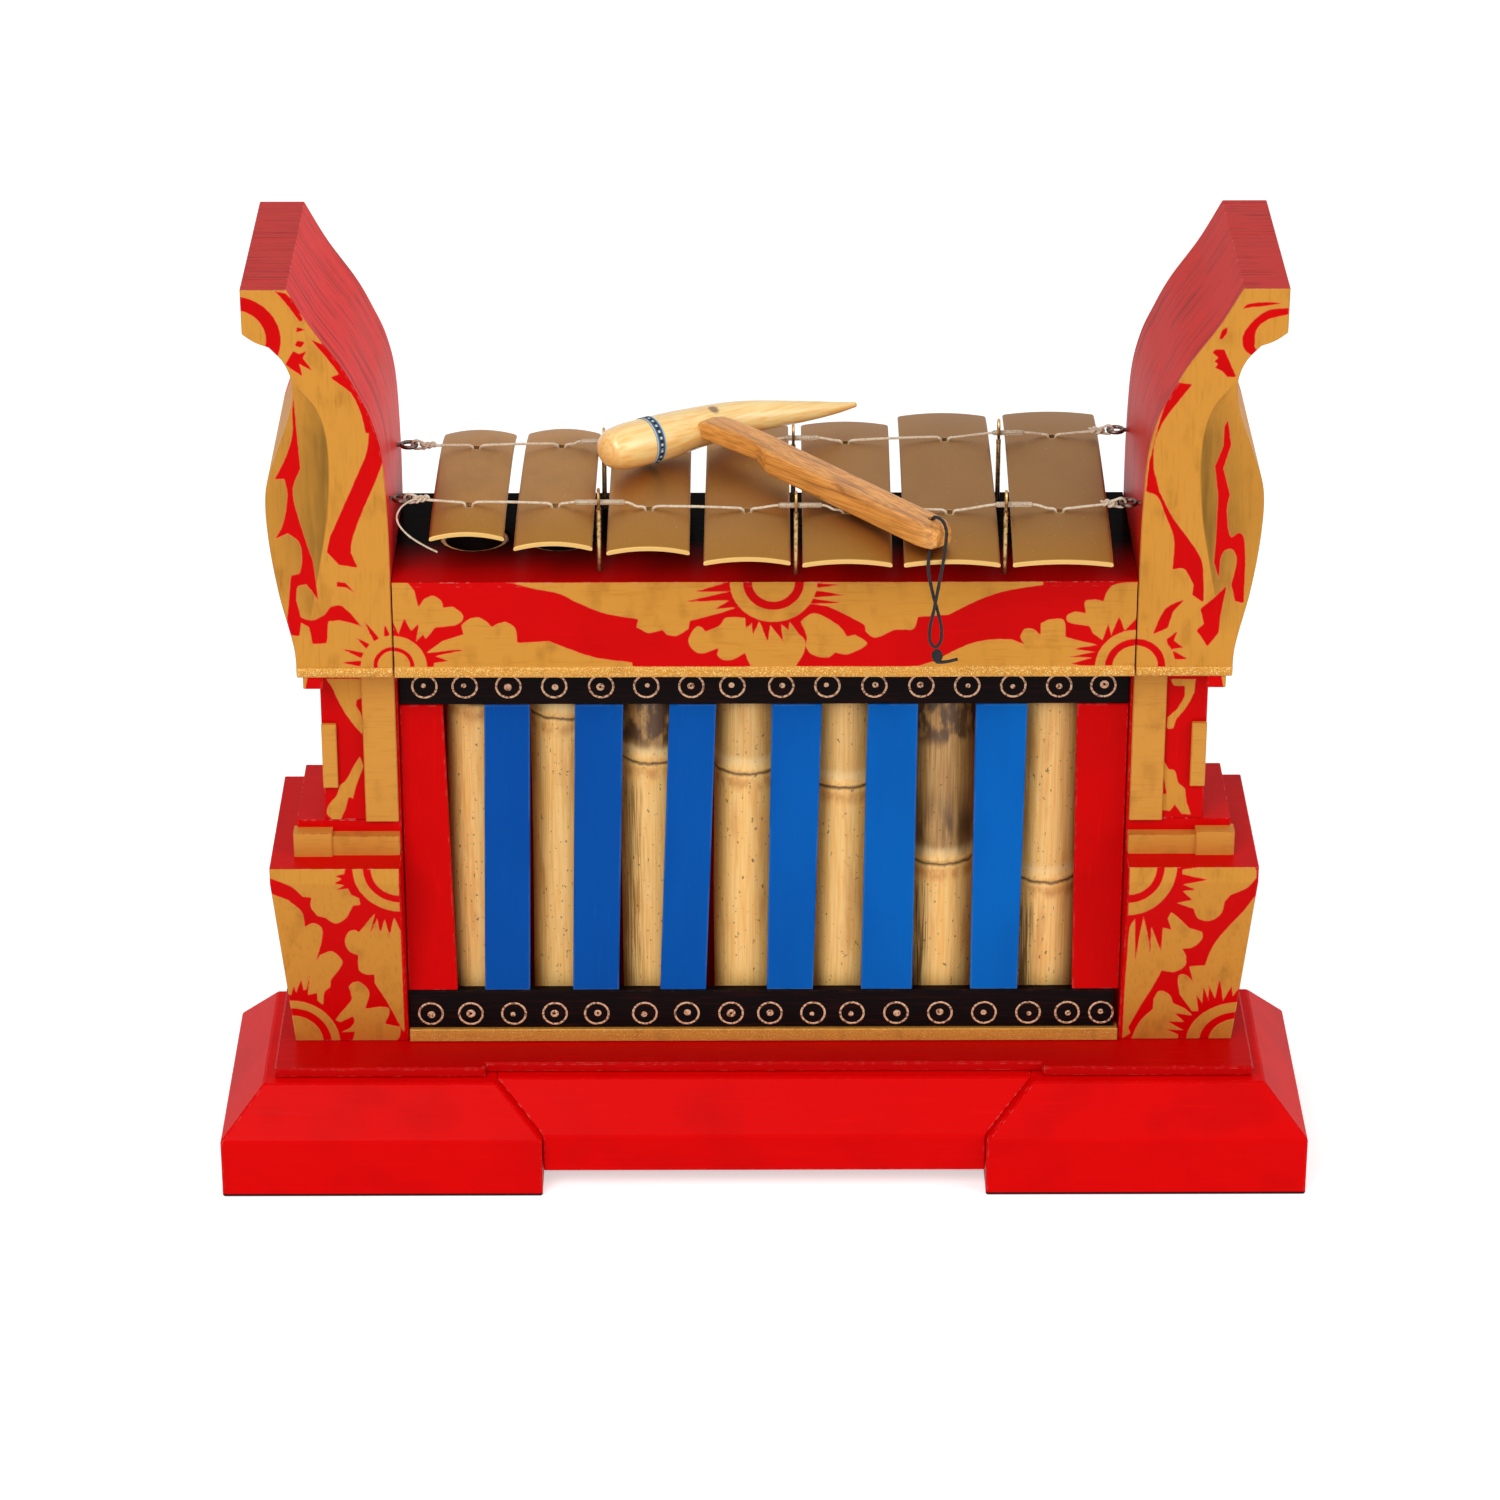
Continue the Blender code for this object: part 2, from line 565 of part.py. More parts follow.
def make_post(side, name, finish):
    """Neck, bracket and horn, carved from one plank."""
    rings = [horn_section(0, side, BEAD_PROUD),
             horn_section(BEAD_HEIGHT - BEAD_ROUND, side, BEAD_PROUD),
             horn_section(BEAD_HEIGHT, side, 0)]
    rings += [horn_section(level * MM, side, 0) for level in HORN_LEVELS + HORN_TIP_LEVELS]
    horn = place(name, loft(rings), finish["red"])
    neck = mirrored(NECK_INNER_X, NECK_OUTER_X, side)
    n = NECK_HALF_DEPTH
    boolean(horn, name + "_neck", block(*neck, -n, n, NECK_BOTTOM, BRACKET_BOTTOM + NECK_TENON),
            "UNION")
    lip = mirrored(NECK_OUTER_X - NECK_TENON, NECK_OUTER_X + LIP_REACH, side)
    d = CASE_HALF_DEPTH - EDGE
    boolean(horn, name + "_lip", block(*lip, -d, d, BRACKET_BOTTOM - LIP_DROP,
                                       BRACKET_BOTTOM + LIP_TENON), "UNION")


def make_battens(side, word, finish):
    """The gilded strips nailed to the front of a neck."""
    front = -NECK_HALF_DEPTH - GAP - BATTEN_THICK
    back = -NECK_HALF_DEPTH - GAP
    lifted = NECK_BOTTOM + OUTER_BATTEN_LIFT
    strips = {
        "inner": (NECK_INNER_X, NECK_INNER_X + INNER_BATTEN_WIDTH, NECK_BOTTOM, BRACKET_BOTTOM - GAP),
        "outer": (NECK_OUTER_X - OUTER_BATTEN_WIDTH, NECK_OUTER_X, lifted,
                  lifted + OUTER_BATTEN_LENGTH),
    }
    for place_word, (near, far, z0, z1) in strips.items():
        x0, x1 = mirrored(near, far, side)
        strip = place("batten_" + place_word + "_" + word, block(x0, x1, front, back, z0, z1),
                      finish["gold"])
        soften(strip, EDGE / 2)


def make_lid(finish):
    """The lid, rebated over the friezes and bored for the tubes and the pins."""
    c = CASE_HALF_LENGTH
    d = CASE_HALF_DEPTH
    inner = d - FRIEZE_THICK - GAP
    lip = BOARD_TOP - BOARD_LIP
    past = 2 * MM
    outline = [(inner, BOARD_BOTTOM), (inner, lip), (d, lip), (d, BOARD_TOP)]
    outline += [(-y, z) for y, z in reversed(outline)]
    lid = place("top_board", loft([[(x, y, z) for y, z in outline] for x in (-c, c)]), finish["red"])
    holes = [cylinder(tube_x(key), 0, BOARD_BOTTOM - past, BOARD_TOP + past,
                      TUBE_RADIUS + TUBE_SEAT_CLEARANCE, 20) for key in KEYS]
    for row in PINS:
        for x, y in pin_places(row):
            holes.append(cylinder(x, y, BOARD_TOP - PIN_SOCKET_DEPTH, BOARD_TOP + past,
                                  PIN_RADIUS + GAP, 8))
    boolean(lid, "lid_holes", join(*holes))


def make_friezes(finish):
    """The deep rails under the lid, with a bead along the bottom."""
    c = CASE_HALF_LENGTH
    d = CASE_HALF_DEPTH
    top = BOARD_TOP - BOARD_LIP - GAP
    back = d - FRIEZE_THICK
    proud = d + BEAD_PROUD
    bead_top = BRACKET_BOTTOM + BEAD_HEIGHT
    outline = [(back, BRACKET_BOTTOM), (proud, BRACKET_BOTTOM), (proud, bead_top - BEAD_ROUND),
               (d, bead_top), (d, top), (back, top)]
    for side, name in ((-1, "frieze_front"), (1, "frieze_back")):
        place(name, loft([[(x, side * y, z) for y, z in outline] for x in (-c, c)]), finish["red"])


def make_panel(finish):
    """Rails, upright boards and bead of the front panel, and the plain back."""
    c = CASE_HALF_LENGTH
    y0 = PANEL_FRONT_Y
    y1 = PANEL_BACK_Y
    floor = PLATE_TOP + GAP
    under = BOARD_BOTTOM - GAP
    strips = {
        "bead_lower": (-c, c, y0 - STRIP_PROUD, y1, floor, STRIP_TOP, "gold"),
        "rail_lower": (-c, c - LOWER_RAIL_SHORT, y0, y1, STRIP_TOP + GAP, LOWER_RAIL_TOP, "black"),
        "rail_upper": (-c, c, y0, y1, UPPER_RAIL_BOTTOM, under, "black"),
        "back_panel": (-c, c, BACK_PANEL_Y, BACK_PANEL_Y + PANEL_THICK, floor, under, "red"),
    }
    for name, (*box, color) in strips.items():
        soften(place(name, block(*box), finish[color]), EDGE / 2)
    boards = []
    for number, ends in enumerate(BLUE_BOARDS, 1):
        between = (tube_x(KEYS[number - 1]) + tube_x(KEYS[number])) / 2
        edges = []
        for width, shift in ends:
            edges += [between + (shift - width / 2) * MM, between + (shift + width / 2) * MM]
        boards.append((f"blue_board_{number}", edges, "blue"))
    top, low = (width * MM for width in RED_BOARDS["left"])
    boards.append(("red_board_left", (-c, top - c, -c, low - c), "red"))
    top, low = (width * MM for width in RED_BOARDS["right"])
    boards.append(("red_board_right", (c - top, c, c - low, c), "red"))
    for name, (top_left, top_right, low_left, low_right), color in boards:
        board = place(name, loft([
            rectangle(low_left, low_right, y0, y1, LOWER_RAIL_TOP + GAP),
            rectangle(top_left, top_right, y0, y1, UPPER_RAIL_BOTTOM - GAP),
        ]), finish[color])
        soften(board, EDGE / 2)


def key_front_x(key):
    """The middle of a key's front end: the keys lie side by side from the left end of the case."""
    before = KEYS[:KEYS.index(key)]
    left = END_ROOM_LEFT - CASE_HALF_LENGTH + len(before) * KEY_SPACING
    left += sum(other["front_w"] for other in before) * MM
    return left + (key["front_w"] / 2 + key["shift"]) * MM


def tube_x(key):
    return key_front_x(key) + key["lean"] / 2 * MM


def pin_places(row):
    """Where the pins of a row stand: each in the gap between two keys."""
    places = []
    for number, (shift, depth) in enumerate(PINS[row], 1):
        edges = []
        for key, across in ((KEYS[2 * number - 1], 1), (KEYS[2 * number], -1)):
            edges.append(key_surface(key, along_key(key, depth), across)[0])
        places.append((sum(edges) / 2 + shift * MM, depth * MM))
    return places


def make_resonator(number, key, finish):
    """A bamboo tube, closed by the node that was left in it at its tuned length."""
    r = TUBE_RADIUS
    bore = r - TUBE_WALL
    top = BOARD_TOP - TUBE_TOP_DROP
    bottom = PLATE_TOP + GAP
    node = BOARD_TOP - key["air"] * MM
    half = SEPTUM_THICK / 2
    profile = [
        (0, node + half), (bore, node + half), (bore, top), (r, top),
        (r, node + 3 * MM), (r + NODE_RING, node + 1 * MM), (r + NODE_RING, node - 1 * MM),
        (r - 0.2 * MM, node - 3 * MM), (r, node - 6 * MM), (r, bottom), (bore, bottom),
        (bore, node - half), (0, node - half),
    ]
    place(f"resonator_{number}", turned(profile, 14, tube_x(key), 0), finish["bamboo"], True)


def key_surface(key, along, across):
    """A point on the top of a key; along runs from -1 at the front to 1 at the back, across likewise."""
    y = key["mid"] + along * key["half"]
    share = (along + 1) / 2
    middle = key_front_x(key) + share * key["lean"] * MM
    width = (key["front_w"] + share * (key["back_w"] - key["front_w"])) * MM
    fall = KEY_BOW * abs(along) ** 3
    z = CROWN_LEVEL - fall + key["arch"] * MM * (1 - across**2)
    return np.array([middle + across * width / 2, y * MM, z])


def along_key(key, depth):
    return (depth - key["mid"]) / key["half"]


def hole_place(key, depth):
    """The top of a cord hole on a key's middle line."""
    return key_surface(key, along_key(key, depth), 0.0)


def make_key(number, key, finish):
    """A bar bent down at both ends and arched across, with two holes at its nodes."""
    alongs = [-1, -0.85, -0.65, -0.4, 0, 0.4, 0.65, 0.85, 1]
    acrosses = [-1, -0.5, 0, 0.5, 1]
    rings = []
    for along in alongs:
        top = [key_surface(key, along, across) for across in acrosses]
        low = [point - (0, 0, KEY_THICK) for point in reversed(top)]
        rings.append(top + low)
    bar = place(f"key_{number}", loft(rings), finish["key"], True, key_surface(key, 0.0, 0.0))
    holes = []
    for depth in key["holes"]:
        x, y, z = hole_place(key, depth)
        holes.append(cylinder(x, y, z - 3 * KEY_THICK, z + KEY_THICK, KEY_HOLE_RADIUS, 12))
    boolean(bar, f"key_{number}_holes", join(*holes))


def pressed_points(row):
    """The front cord where the mallet's stick holds it down on a key."""
    key = KEYS[PRESSED_KEY - 1]
    along = along_key(key, key["holes"][0])
    middle = key_surface(key, along, 0.0)[0]
    half_width = key_surface(key, along, 1.0)[0] - middle
    return [key_surface(key, along, reach * MM / half_width) + (0, 0, CORD_RADIUS + GAP)
            for reach in PRESSED[row]]


def eye_loop(side, y):
    """Through the screw eye and back to the knot, listed from its end."""
    wire_x = EYE_CENTRE_X - EYE_RADIUS
    knot_x = wire_x - KNOT_REACH
    turn = EYE_WIRE + CORD_RADIUS + 2 * GAP
    apart = 0.4 * KNOT_RADIUS
    stops = [(knot_x, CORD_LEVEL - KNOT_DROP - apart)]
    for degrees in (-110, -65, -25, 15, 60, 105):
        a = math.radians(degrees)
        stops.append((wire_x + turn * math.cos(a), CORD_LEVEL + turn * math.sin(a)))
    stops.append((knot_x, CORD_LEVEL - KNOT_DROP + apart))
    return [(side * x, y, z) for x, z in stops]


def toggle_loop(x, y, z, pressed):
    """Down through a hole, under the toggle and up again; a pressed cord lies flat beyond it."""
    under = z - KEY_THICK
    left = [(x + dx * MM, y, z + dz * MM) for dx, dz in OVER_KEY]
    left += [(x + dx * MM, y, under + dz * MM) for dx, dz in UNDER_KEY]
    right = [(2 * x - px, py, pz) for px, py, pz in left[-2::-1]]
    if pressed:
        right.pop()
    return left + right


def cord_route(row):
    """The cord's middle line, its radius at each point, and where its toggles and knots are."""
    index = 0 if row == "front" else 1
    left_y, right_y = (y * MM for y in EYE_DEPTHS[row])
    spots = []
    toggles = []
    for number, key in enumerate(KEYS, 1):
        x, y, z = hole_place(key, key["holes"][index])
        pressed = number == PRESSED_KEY and len(PRESSED[row]) > 0
        spots.append((x, toggle_loop(x, y, z, pressed), CORD_RADIUS))
        toggles.append((x, y, z - KEY_THICK - TOGGLE_DROP))
    for point in pressed_points(row):
        spots.append((point[0], [tuple(point)], CORD_RADIUS))
    for x, y in pin_places(row):
        for reach in (-SLEEVE_REACH, 0, SLEEVE_REACH):
            spots.append((x + reach, [(x + reach, y, CORD_LEVEL)], SLEEVE_RADIUS))
        for reach in (-SLEEVE_REACH - GAP, SLEEVE_REACH + GAP):
            spots.append((x + reach, [(x + reach, y, CORD_LEVEL)], CORD_RADIUS))
    path = eye_loop(-1, left_y)
    radii = [CORD_RADIUS] * len(path)
    for _, points, radius in sorted(spots, key=lambda spot: spot[0]):
        path += points
        radii += [radius] * len(points)
    path += eye_loop(1, right_y)[::-1]
    radii += [CORD_RADIUS] * (len(path) - len(radii))
    knot_x = EYE_CENTRE_X - EYE_RADIUS - KNOT_REACH
    knots = [(-knot_x, left_y, CORD_LEVEL - KNOT_DROP), (knot_x, right_y, CORD_LEVEL - KNOT_DROP)]
    return path, radii, toggles, knots


def make_cord(row, finish):
    """A suspension cord: through every key round a toggle, over the pins, tied at both ends."""
    path, radii, toggles, knots = cord_route(row)
    cord = place("cord_" + row, sweep(path, radii, 5), finish["nylon"], True)
    extras = []
    for x, y, z in toggles:
        ends = [(x, y - TOGGLE_HALF_LENGTH, z), (x, y + TOGGLE_HALF_LENGTH, z)]
        extras.append(sweep(ends, TOGGLE_RADIUS, 5))
    for x, y, z in knots:
        full = KNOT_RADIUS
        small = 0.5 * KNOT_RADIUS
        ends = [x - full, x - small, x + small, x + full]
        extras.append(sweep([(px, y, z) for px in ends], [small, full, full, small], 8))
    boolean(cord, "cord_" + row + "_ties", join(*extras), "UNION")


def make_pins(row, finish):
    """Brass pins with a long eye that the cord runs through, driven into the lid."""
    foot = BOARD_TOP - PIN_SOCKET_DEPTH + GAP
    middle = CORD_LEVEL + PIN_EYE_LIFT
    tip = middle - PIN_EYE_RADIUS * PIN_EYE_STRETCH - PIN_EYE_WIRE / 3
    profile = [(0, foot), (0.6 * PIN_RADIUS, foot), (PIN_RADIUS, foot + 2 * MM),
               (PIN_RADIUS, tip - 1 * MM), (0.8 * PIN_RADIUS, tip), (0, tip)]
    for number, (x, y) in enumerate(pin_places(row), 1):
        name = f"hanger_{row}_{number}"
        pin = place(name, turned(profile, 7, x, y), finish["brass"], True)
        boolean(pin, name + "_eye", ring((x, y, middle), (0, 1, 0), (0, 0, 1), PIN_EYE_RADIUS,
                                         PIN_EYE_WIRE, 12, 5, PIN_EYE_STRETCH), "UNION")


def make_eyes(row, finish):
    """Screw eyes in the inner faces of the posts, with their rings lying flat."""
    z = CORD_LEVEL
    for side, word, depth in zip((-1, 1), ("left", "right"), EYE_DEPTHS[row]):
        y = depth * MM
        x = side * EYE_CENTRE_X
        name = f"screw_eye_{row}_{word}"
        eye = place(name, ring((x, y, z), (1, 0, 0), (0, 1, 0), EYE_RADIUS, EYE_WIRE, 14, 6),
                    finish["steel"], True)
        near = x + side * (EYE_RADIUS - EYE_WIRE / 2)
        far = side * (HORN_INNER_X + EYE_SHANK_LENGTH)
        boolean(eye, name + "_shank", sweep([(near, y, z), (far, y, z)], EYE_SHANK_WIRE, 6), "UNION")
        post = bpy.data.objects["post_" + word]
        mouth = side * (HORN_INNER_X - EYE_SHANK_LENGTH)
        boolean(post, name + "_hole", sweep([(mouth, y, z), (far + side * GAP, y, z)],
                                            EYE_SHANK_WIRE + GAP, 8))


def mallet_head_path():
    points = np.array([(x, y, CROWN_LEVEL / MM + rise) for x, y, rise, _ in HEAD]) * MM
    radii = np.array([radius for *_, radius in HEAD]) * MM
    return points, radii


def stick_point(s):
    """A point on the stick's middle line in plan, at a distance from its end inside the head."""
    direction = np.array(HANDLE_DIRECTION)
    return np.array(HANDLE_ROOT) * MM + s * direction / np.linalg.norm(direction)


def handle_section(s, low, near, drop, far):
    """A section of the stick, an upright rectangle with broken corners."""
    middle = stick_point(s)
    ahead = stick_point(s + 1) - middle
    across = np.array([ahead[1], -ahead[0]])
    level = CROWN_LEVEL + HANDLE_HEAD_RISE - HANDLE_SLOPE * s
    bottom = level + low
    top = level + HANDLE_HEIGHT - drop
    w0 = far - HANDLE_WIDTH / 2
    w1 = HANDLE_WIDTH / 2 - near
    c = HANDLE_CHAMFER
    wide = 1.3 * c
    tall = 1.6 * c
    outline = [(w0 + c, bottom), (w1 - c, bottom), (w1, bottom + c), (w1, top - tall),
               (w1 - wide, top), (w0 + wide, top), (w0, top - tall), (w0, bottom + c)]
    return [(*(middle + w * across), z) for w, z in outline]


def make_mallet(finish):
    """A horn-shaped head with a band, and the stick that is coped to its side."""
    points, radii = mallet_head_path()
    a = points[BAND_FIRST]
    b = points[BAND_LAST]
    outward = (b - a) / np.linalg.norm(b - a)
    middle = (a + b) / 2
    head = place("mallet_head", sweep(points, radii, 16), finish["head"], True)
    rings = [handle_section(s * MM, *(cut * MM for cut in cuts)) for s, *cuts in HANDLE_HEAD_SECTIONS]
    rings += [handle_section(HANDLE_LENGTH - s * MM, *(cut * MM for cut in cuts))
              for s, *cuts in HANDLE_END_SECTIONS]
    stick = place("mallet_handle", loft(rings), finish["handle"], True)
    boolean(stick, "head_cope", sweep(points, radii + GAP, 16))
    x, y = stick_point(HANDLE_LENGTH - LANYARD_HOLE_INSET)
    boolean(stick, "lanyard_hole", cylinder(x, y, CROWN_LEVEL - HANDLE_HEIGHT,
                                            CROWN_LEVEL + 2 * HANDLE_HEIGHT, LANYARD_HOLE_RADIUS, 12))
    inside = radii[BAND_FIRST] + 2 * GAP
    outside = inside + BAND_THICK
    half = outward * BAND_WIDTH / 2
    stations = [(inside, middle - half), (outside, middle - half), (outside, middle + half),
                (inside, middle + half)]
    band = place("mallet_band", hoop(stations, outward, 24), finish["band"], True)
    return middle, [head, stick, band]


def hoop(stations, direction, sides):
    """A closed band: circles of the given radii and centres round one direction, joined in a ring."""
    bm = bmesh.new()
    up = np.array([0.0, 0.0, 1.0])
    side = np.cross(direction, up)
    side /= np.linalg.norm(side)
    up = np.cross(side, direction)
    rows = []
    for radius, centre in stations:
        row = []
        for i in range(sides):
            a = 2 * math.pi * i / sides
            row.append(bm.verts.new(centre + radius * (math.cos(a) * side + math.sin(a) * up)))
        rows.append(row)
    for k in range(len(rows)):
        low = rows[k]
        high = rows[(k + 1) % len(rows)]
        for i in range(sides):
            j = (i + 1) % sides
            bm.faces.new((low[i], low[j], high[j], high[i]))
    return bm


def make_lanyard(finish):
    """The black loop through the stick, and the knot under it."""
    path = smooth_curve(np.array(LANYARD) * MM, 2)
    loop = place("lanyard", sweep(path[:-1], LANYARD_RADIUS, 5, (1, 0, 0)), finish["lanyard"], True)
    *places, widths = np.array(LANYARD_KNOT).T * MM
    knot = place("lanyard_knot", sweep(np.array(places).T, widths, 8, (0, 1, 0)), finish["lanyard"],
                 True)
    return [loop, knot]


def hang_on_empty(name, where, pieces):
    """Parents pieces to an empty, so that they are lifted together."""
    empty = bpy.data.objects.new(name, None)
    empty.location = where
    bpy.context.scene.collection.objects.link(empty)
    for piece in pieces:
        piece.parent = empty
        piece.location = [-value for value in where]


def main():
    clear_scene()
    finish = make_finishes()
    make_base(finish)
    for side, word in ((-1, "left"), (1, "right")):
        make_pedestal(side, "pedestal_" + word, finish)
        make_post(side, "post_" + word, finish)
        make_battens(side, word, finish)
    make_lid(finish)
    make_friezes(finish)
    make_panel(finish)
    for number, key in enumerate(KEYS, 1):
        make_resonator(number, key, finish)
        make_key(number, key, finish)
    for row in ("front", "back"):
        make_cord(row, finish)
        make_pins(row, finish)
        make_eyes(row, finish)
    grip, mallet = make_mallet(finish)
    hang_on_empty("mallet", grip, mallet + make_lanyard(finish))


main()
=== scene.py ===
# %% [markdown]
# # A small painted metallophone
#
# Seven arched bronze bars hang on two cords over bamboo tubes, in a carved wooden case that is
# painted red, gold and blue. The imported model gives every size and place. This lesson dresses it:
# bare blocks become carved and painted wood, and the cords, the bamboo and the mallet get their
# true surfaces. All sizes here are in millimetres, and turn into metres as they enter the scene.

import math

import bmesh
import bpy
import numpy as np
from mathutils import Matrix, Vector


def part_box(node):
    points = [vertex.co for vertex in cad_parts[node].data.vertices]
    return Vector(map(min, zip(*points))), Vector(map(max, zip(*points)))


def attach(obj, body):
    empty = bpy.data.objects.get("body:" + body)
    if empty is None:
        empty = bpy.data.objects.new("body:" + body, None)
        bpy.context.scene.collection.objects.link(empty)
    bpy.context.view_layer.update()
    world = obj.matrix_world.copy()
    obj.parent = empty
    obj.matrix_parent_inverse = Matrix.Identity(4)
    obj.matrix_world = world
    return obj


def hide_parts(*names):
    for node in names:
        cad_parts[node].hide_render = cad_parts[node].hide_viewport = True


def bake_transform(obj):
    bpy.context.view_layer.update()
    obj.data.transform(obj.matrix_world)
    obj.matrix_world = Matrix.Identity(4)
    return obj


MM = 0.001


def stand(name, data):
    """An object made from its data and put into the scene."""
    made = bpy.data.objects.new(name, data)
    bpy.context.scene.collection.objects.link(made)
    return made


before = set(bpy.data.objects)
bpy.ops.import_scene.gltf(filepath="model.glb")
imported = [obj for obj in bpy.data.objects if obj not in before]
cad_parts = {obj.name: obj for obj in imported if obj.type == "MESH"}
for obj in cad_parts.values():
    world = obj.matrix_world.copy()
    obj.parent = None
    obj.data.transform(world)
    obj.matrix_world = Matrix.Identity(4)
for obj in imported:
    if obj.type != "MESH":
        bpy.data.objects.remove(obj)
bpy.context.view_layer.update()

# %% [markdown]
# ## Camera
#
# The photograph looks down on the front by 26 degrees from over two metres away, so upright edges
# stay nearly parallel. A long lens gives the same picture. The place and the lens were found by
# matching corners of the case, which is surer than moving a camera by eye.

# %% Camera
CAMERA_PLACE = (-16.6, -2221.3, 1285.5)
CAMERA_PITCH = 26.0
CAMERA_YAW = 0.26
CAMERA_LENS = 124.55
CAMERA_REACH = 20000.0
SENSOR_WIDTH = 36.0

camera_data = bpy.data.cameras.new("camera")
camera_data.lens = CAMERA_LENS
camera_data.sensor_width = SENSOR_WIDTH
camera_data.clip_end = CAMERA_REACH * MM
camera = stand("camera", camera_data)
camera.location = [value * MM for value in CAMERA_PLACE]
camera.rotation_euler = (math.radians(90 - CAMERA_PITCH), 0, -math.radians(CAMERA_YAW))
bpy.context.scene.camera = camera
bpy.context.scene.view_settings.view_transform = "Standard"
print("camera stands", round(-CAMERA_PLACE[1]), "mm in front")

# %% [markdown]
# ## Finishes as formulas
#
# A finish is a small network of nodes. Wiring it by hand hides the idea, so a socket is wrapped in
# a class that knows plus, minus and times: a mask can then be written as a formula, and each
# operator adds its own Math node. Colours and vectors have nodes of their own, and one method adds
# any other node with its settings and inputs.


# %% Value: a socket that can stand in a formula
class Value:
    """An output socket of a finish. Each operator on it adds a Math node and gives a new Value."""

    def __init__(self, finish, socket):
        self.finish = finish
        self.socket = socket

    def math(self, operation, *terms):
        return self.finish.node("ShaderNodeMath", {"operation": operation}, dict(enumerate(terms)))

    def __add__(self, other):
        return self.math("ADD", self, other)

    def __sub__(self, other):
        return self.math("SUBTRACT", self, other)

    def __rsub__(self, other):
        return self.math("SUBTRACT", other, self)

    def __mul__(self, other):
        return self.math("MULTIPLY", self, other)

    def __abs__(self):
        return self.math("ABSOLUTE", self)

    __radd__ = __add__
    __rmul__ = __mul__

    def larger(self, other):
        return self.math("MAXIMUM", self, other)

    def step(self, low, high):
        """0 below 'low', 1 above 'high' and a soft S between; it falls where low is the larger."""
        settings = {"interpolation_type": "SMOOTHSTEP"}
        if low > high:
            return 1 - self.step(high, low)
        return self.finish.node("ShaderNodeMapRange", settings,
                                {"Value": self, "From Min": low, "From Max": high})

    def near(self, level, reach):
        """1 at a level, falling to 0 at 'reach' from it."""
        return abs(self - level).step(reach, 0)


# %% Finish: a material under construction
class Finish:
    """A material with one shader. Constant values go onto the shader's own sockets."""

    def __init__(self, name, **constants):
        self.material = bpy.data.materials.new(name)
        self.material.use_nodes = True
        self.tree = self.material.node_tree
        self.shader = self.tree.nodes["Principled BSDF"]
        self.show(**constants)

    def feed(self, socket, value):
        """Links a Value to a socket, or sets the socket to a number or a colour."""
        if isinstance(value, Value):
            self.tree.links.new(value.socket, socket)
        elif socket.type == "RGBA":
            socket.default_value = (*value, 1.0)
        else:
            socket.default_value = value

    def node(self, kind, settings=None, inputs=None, output=0):
        """Adds any node: settings first, then inputs by name, identifier or number, and an output."""
        made = self.tree.nodes.new(kind)
        for key, value in (settings or {}).items():
            setattr(made, key, value)
        for key, value in (inputs or {}).items():
            if isinstance(key, int):
                socket = made.inputs[key]
            else:
                socket = next(s for s in made.inputs if key in (s.identifier, s.name))
            self.feed(socket, value)
        return Value(self, made.outputs[output])

    def show(self, **values):
        """Sets or links sockets of the shader, named in small letters: base_color, roughness."""
        sockets = {socket.name.lower().replace(" ", "_"): socket for socket in self.shader.inputs}
        for name, value in values.items():
            self.feed(sockets[name], value)
        return self.material

    def place(self):
        """The point on the piece, in millimetres."""
        coords = self.node("ShaderNodeTexCoord", output="Object")
        return self.vector("SCALE", coords, Scale=1 / MM)

    def vector(self, operation, *vectors, output=0, **numbers):
        return self.node("ShaderNodeVectorMath", {"operation": operation},
                         {**dict(enumerate(vectors)), **numbers}, output)

    def axis(self, vector, letter):
        return self.node("ShaderNodeSeparateXYZ", None, {0: vector}, letter)

    def turned(self, vector, angle):
        """A vector turned about the upright axis, so that grain can run at an angle."""
        return self.node("ShaderNodeVectorRotate", {"rotation_type": "Z_AXIS"},
                         {"Vector": vector, "Angle": angle})

    def noise(self, place, size, stretch=(1, 1, 1), detail=3.0, shift=0.0):
        """Noise from 0 to 1 with spots 'size' millimetres wide, times 'stretch' along each axis."""
        scaled = self.vector("DIVIDE", place, [size * value for value in stretch])
        moved = self.vector("ADD", scaled, (shift, 2 * shift, 3 * shift))
        return self.node("ShaderNodeTexNoise", None, {"Vector": moved, "Scale": 1.0,
                                                      "Detail": detail})

    def mix(self, mask, a, b):
        """Colour a where the mask is 0 and b where it is 1."""
        return self.node("ShaderNodeMix", {"data_type": "RGBA"},
                         {"Factor_Float": mask, "A_Color": a, "B_Color": b}, 2)

    def attribute(self, name):
        return self.node("ShaderNodeAttribute", {"attribute_name": name}, None, 2)

    def bump(self, height, depth=1.0):
        """A surface normal from a height in millimetres."""
        return self.node("ShaderNodeBump", None, {"Height": height, "Distance": depth * MM})

    def edge(self, radius):
        """How far a rounded normal leans away from the true one: 0 on flats, more at sharp edges."""
        rounded = self.node("ShaderNodeBevel", {"samples": 4}, {"Radius": radius * MM})
        flat = self.node("ShaderNodeNewGeometry", output="True Normal")
        return 1 - self.vector("DOT_PRODUCT", rounded, flat, output="Value")


def rgb(red, green, blue):
    """A colour as a paint chart gives it, 0 to 255, in the linear values that light works in."""
    return tuple(((value / 255 + 0.055) / 1.055) ** 2.4 for value in (red, green, blue))


print("a mask can be written as 1 - mask")

# %% [markdown]
# ## Light and floor
#
# Product photographs on white have light from everywhere and a soft main lamp from the front. The
# sky gives the even part, and only what the camera, gloss and glass see of it is full white. The
# floor takes the shadow, so the instrument stands on something.

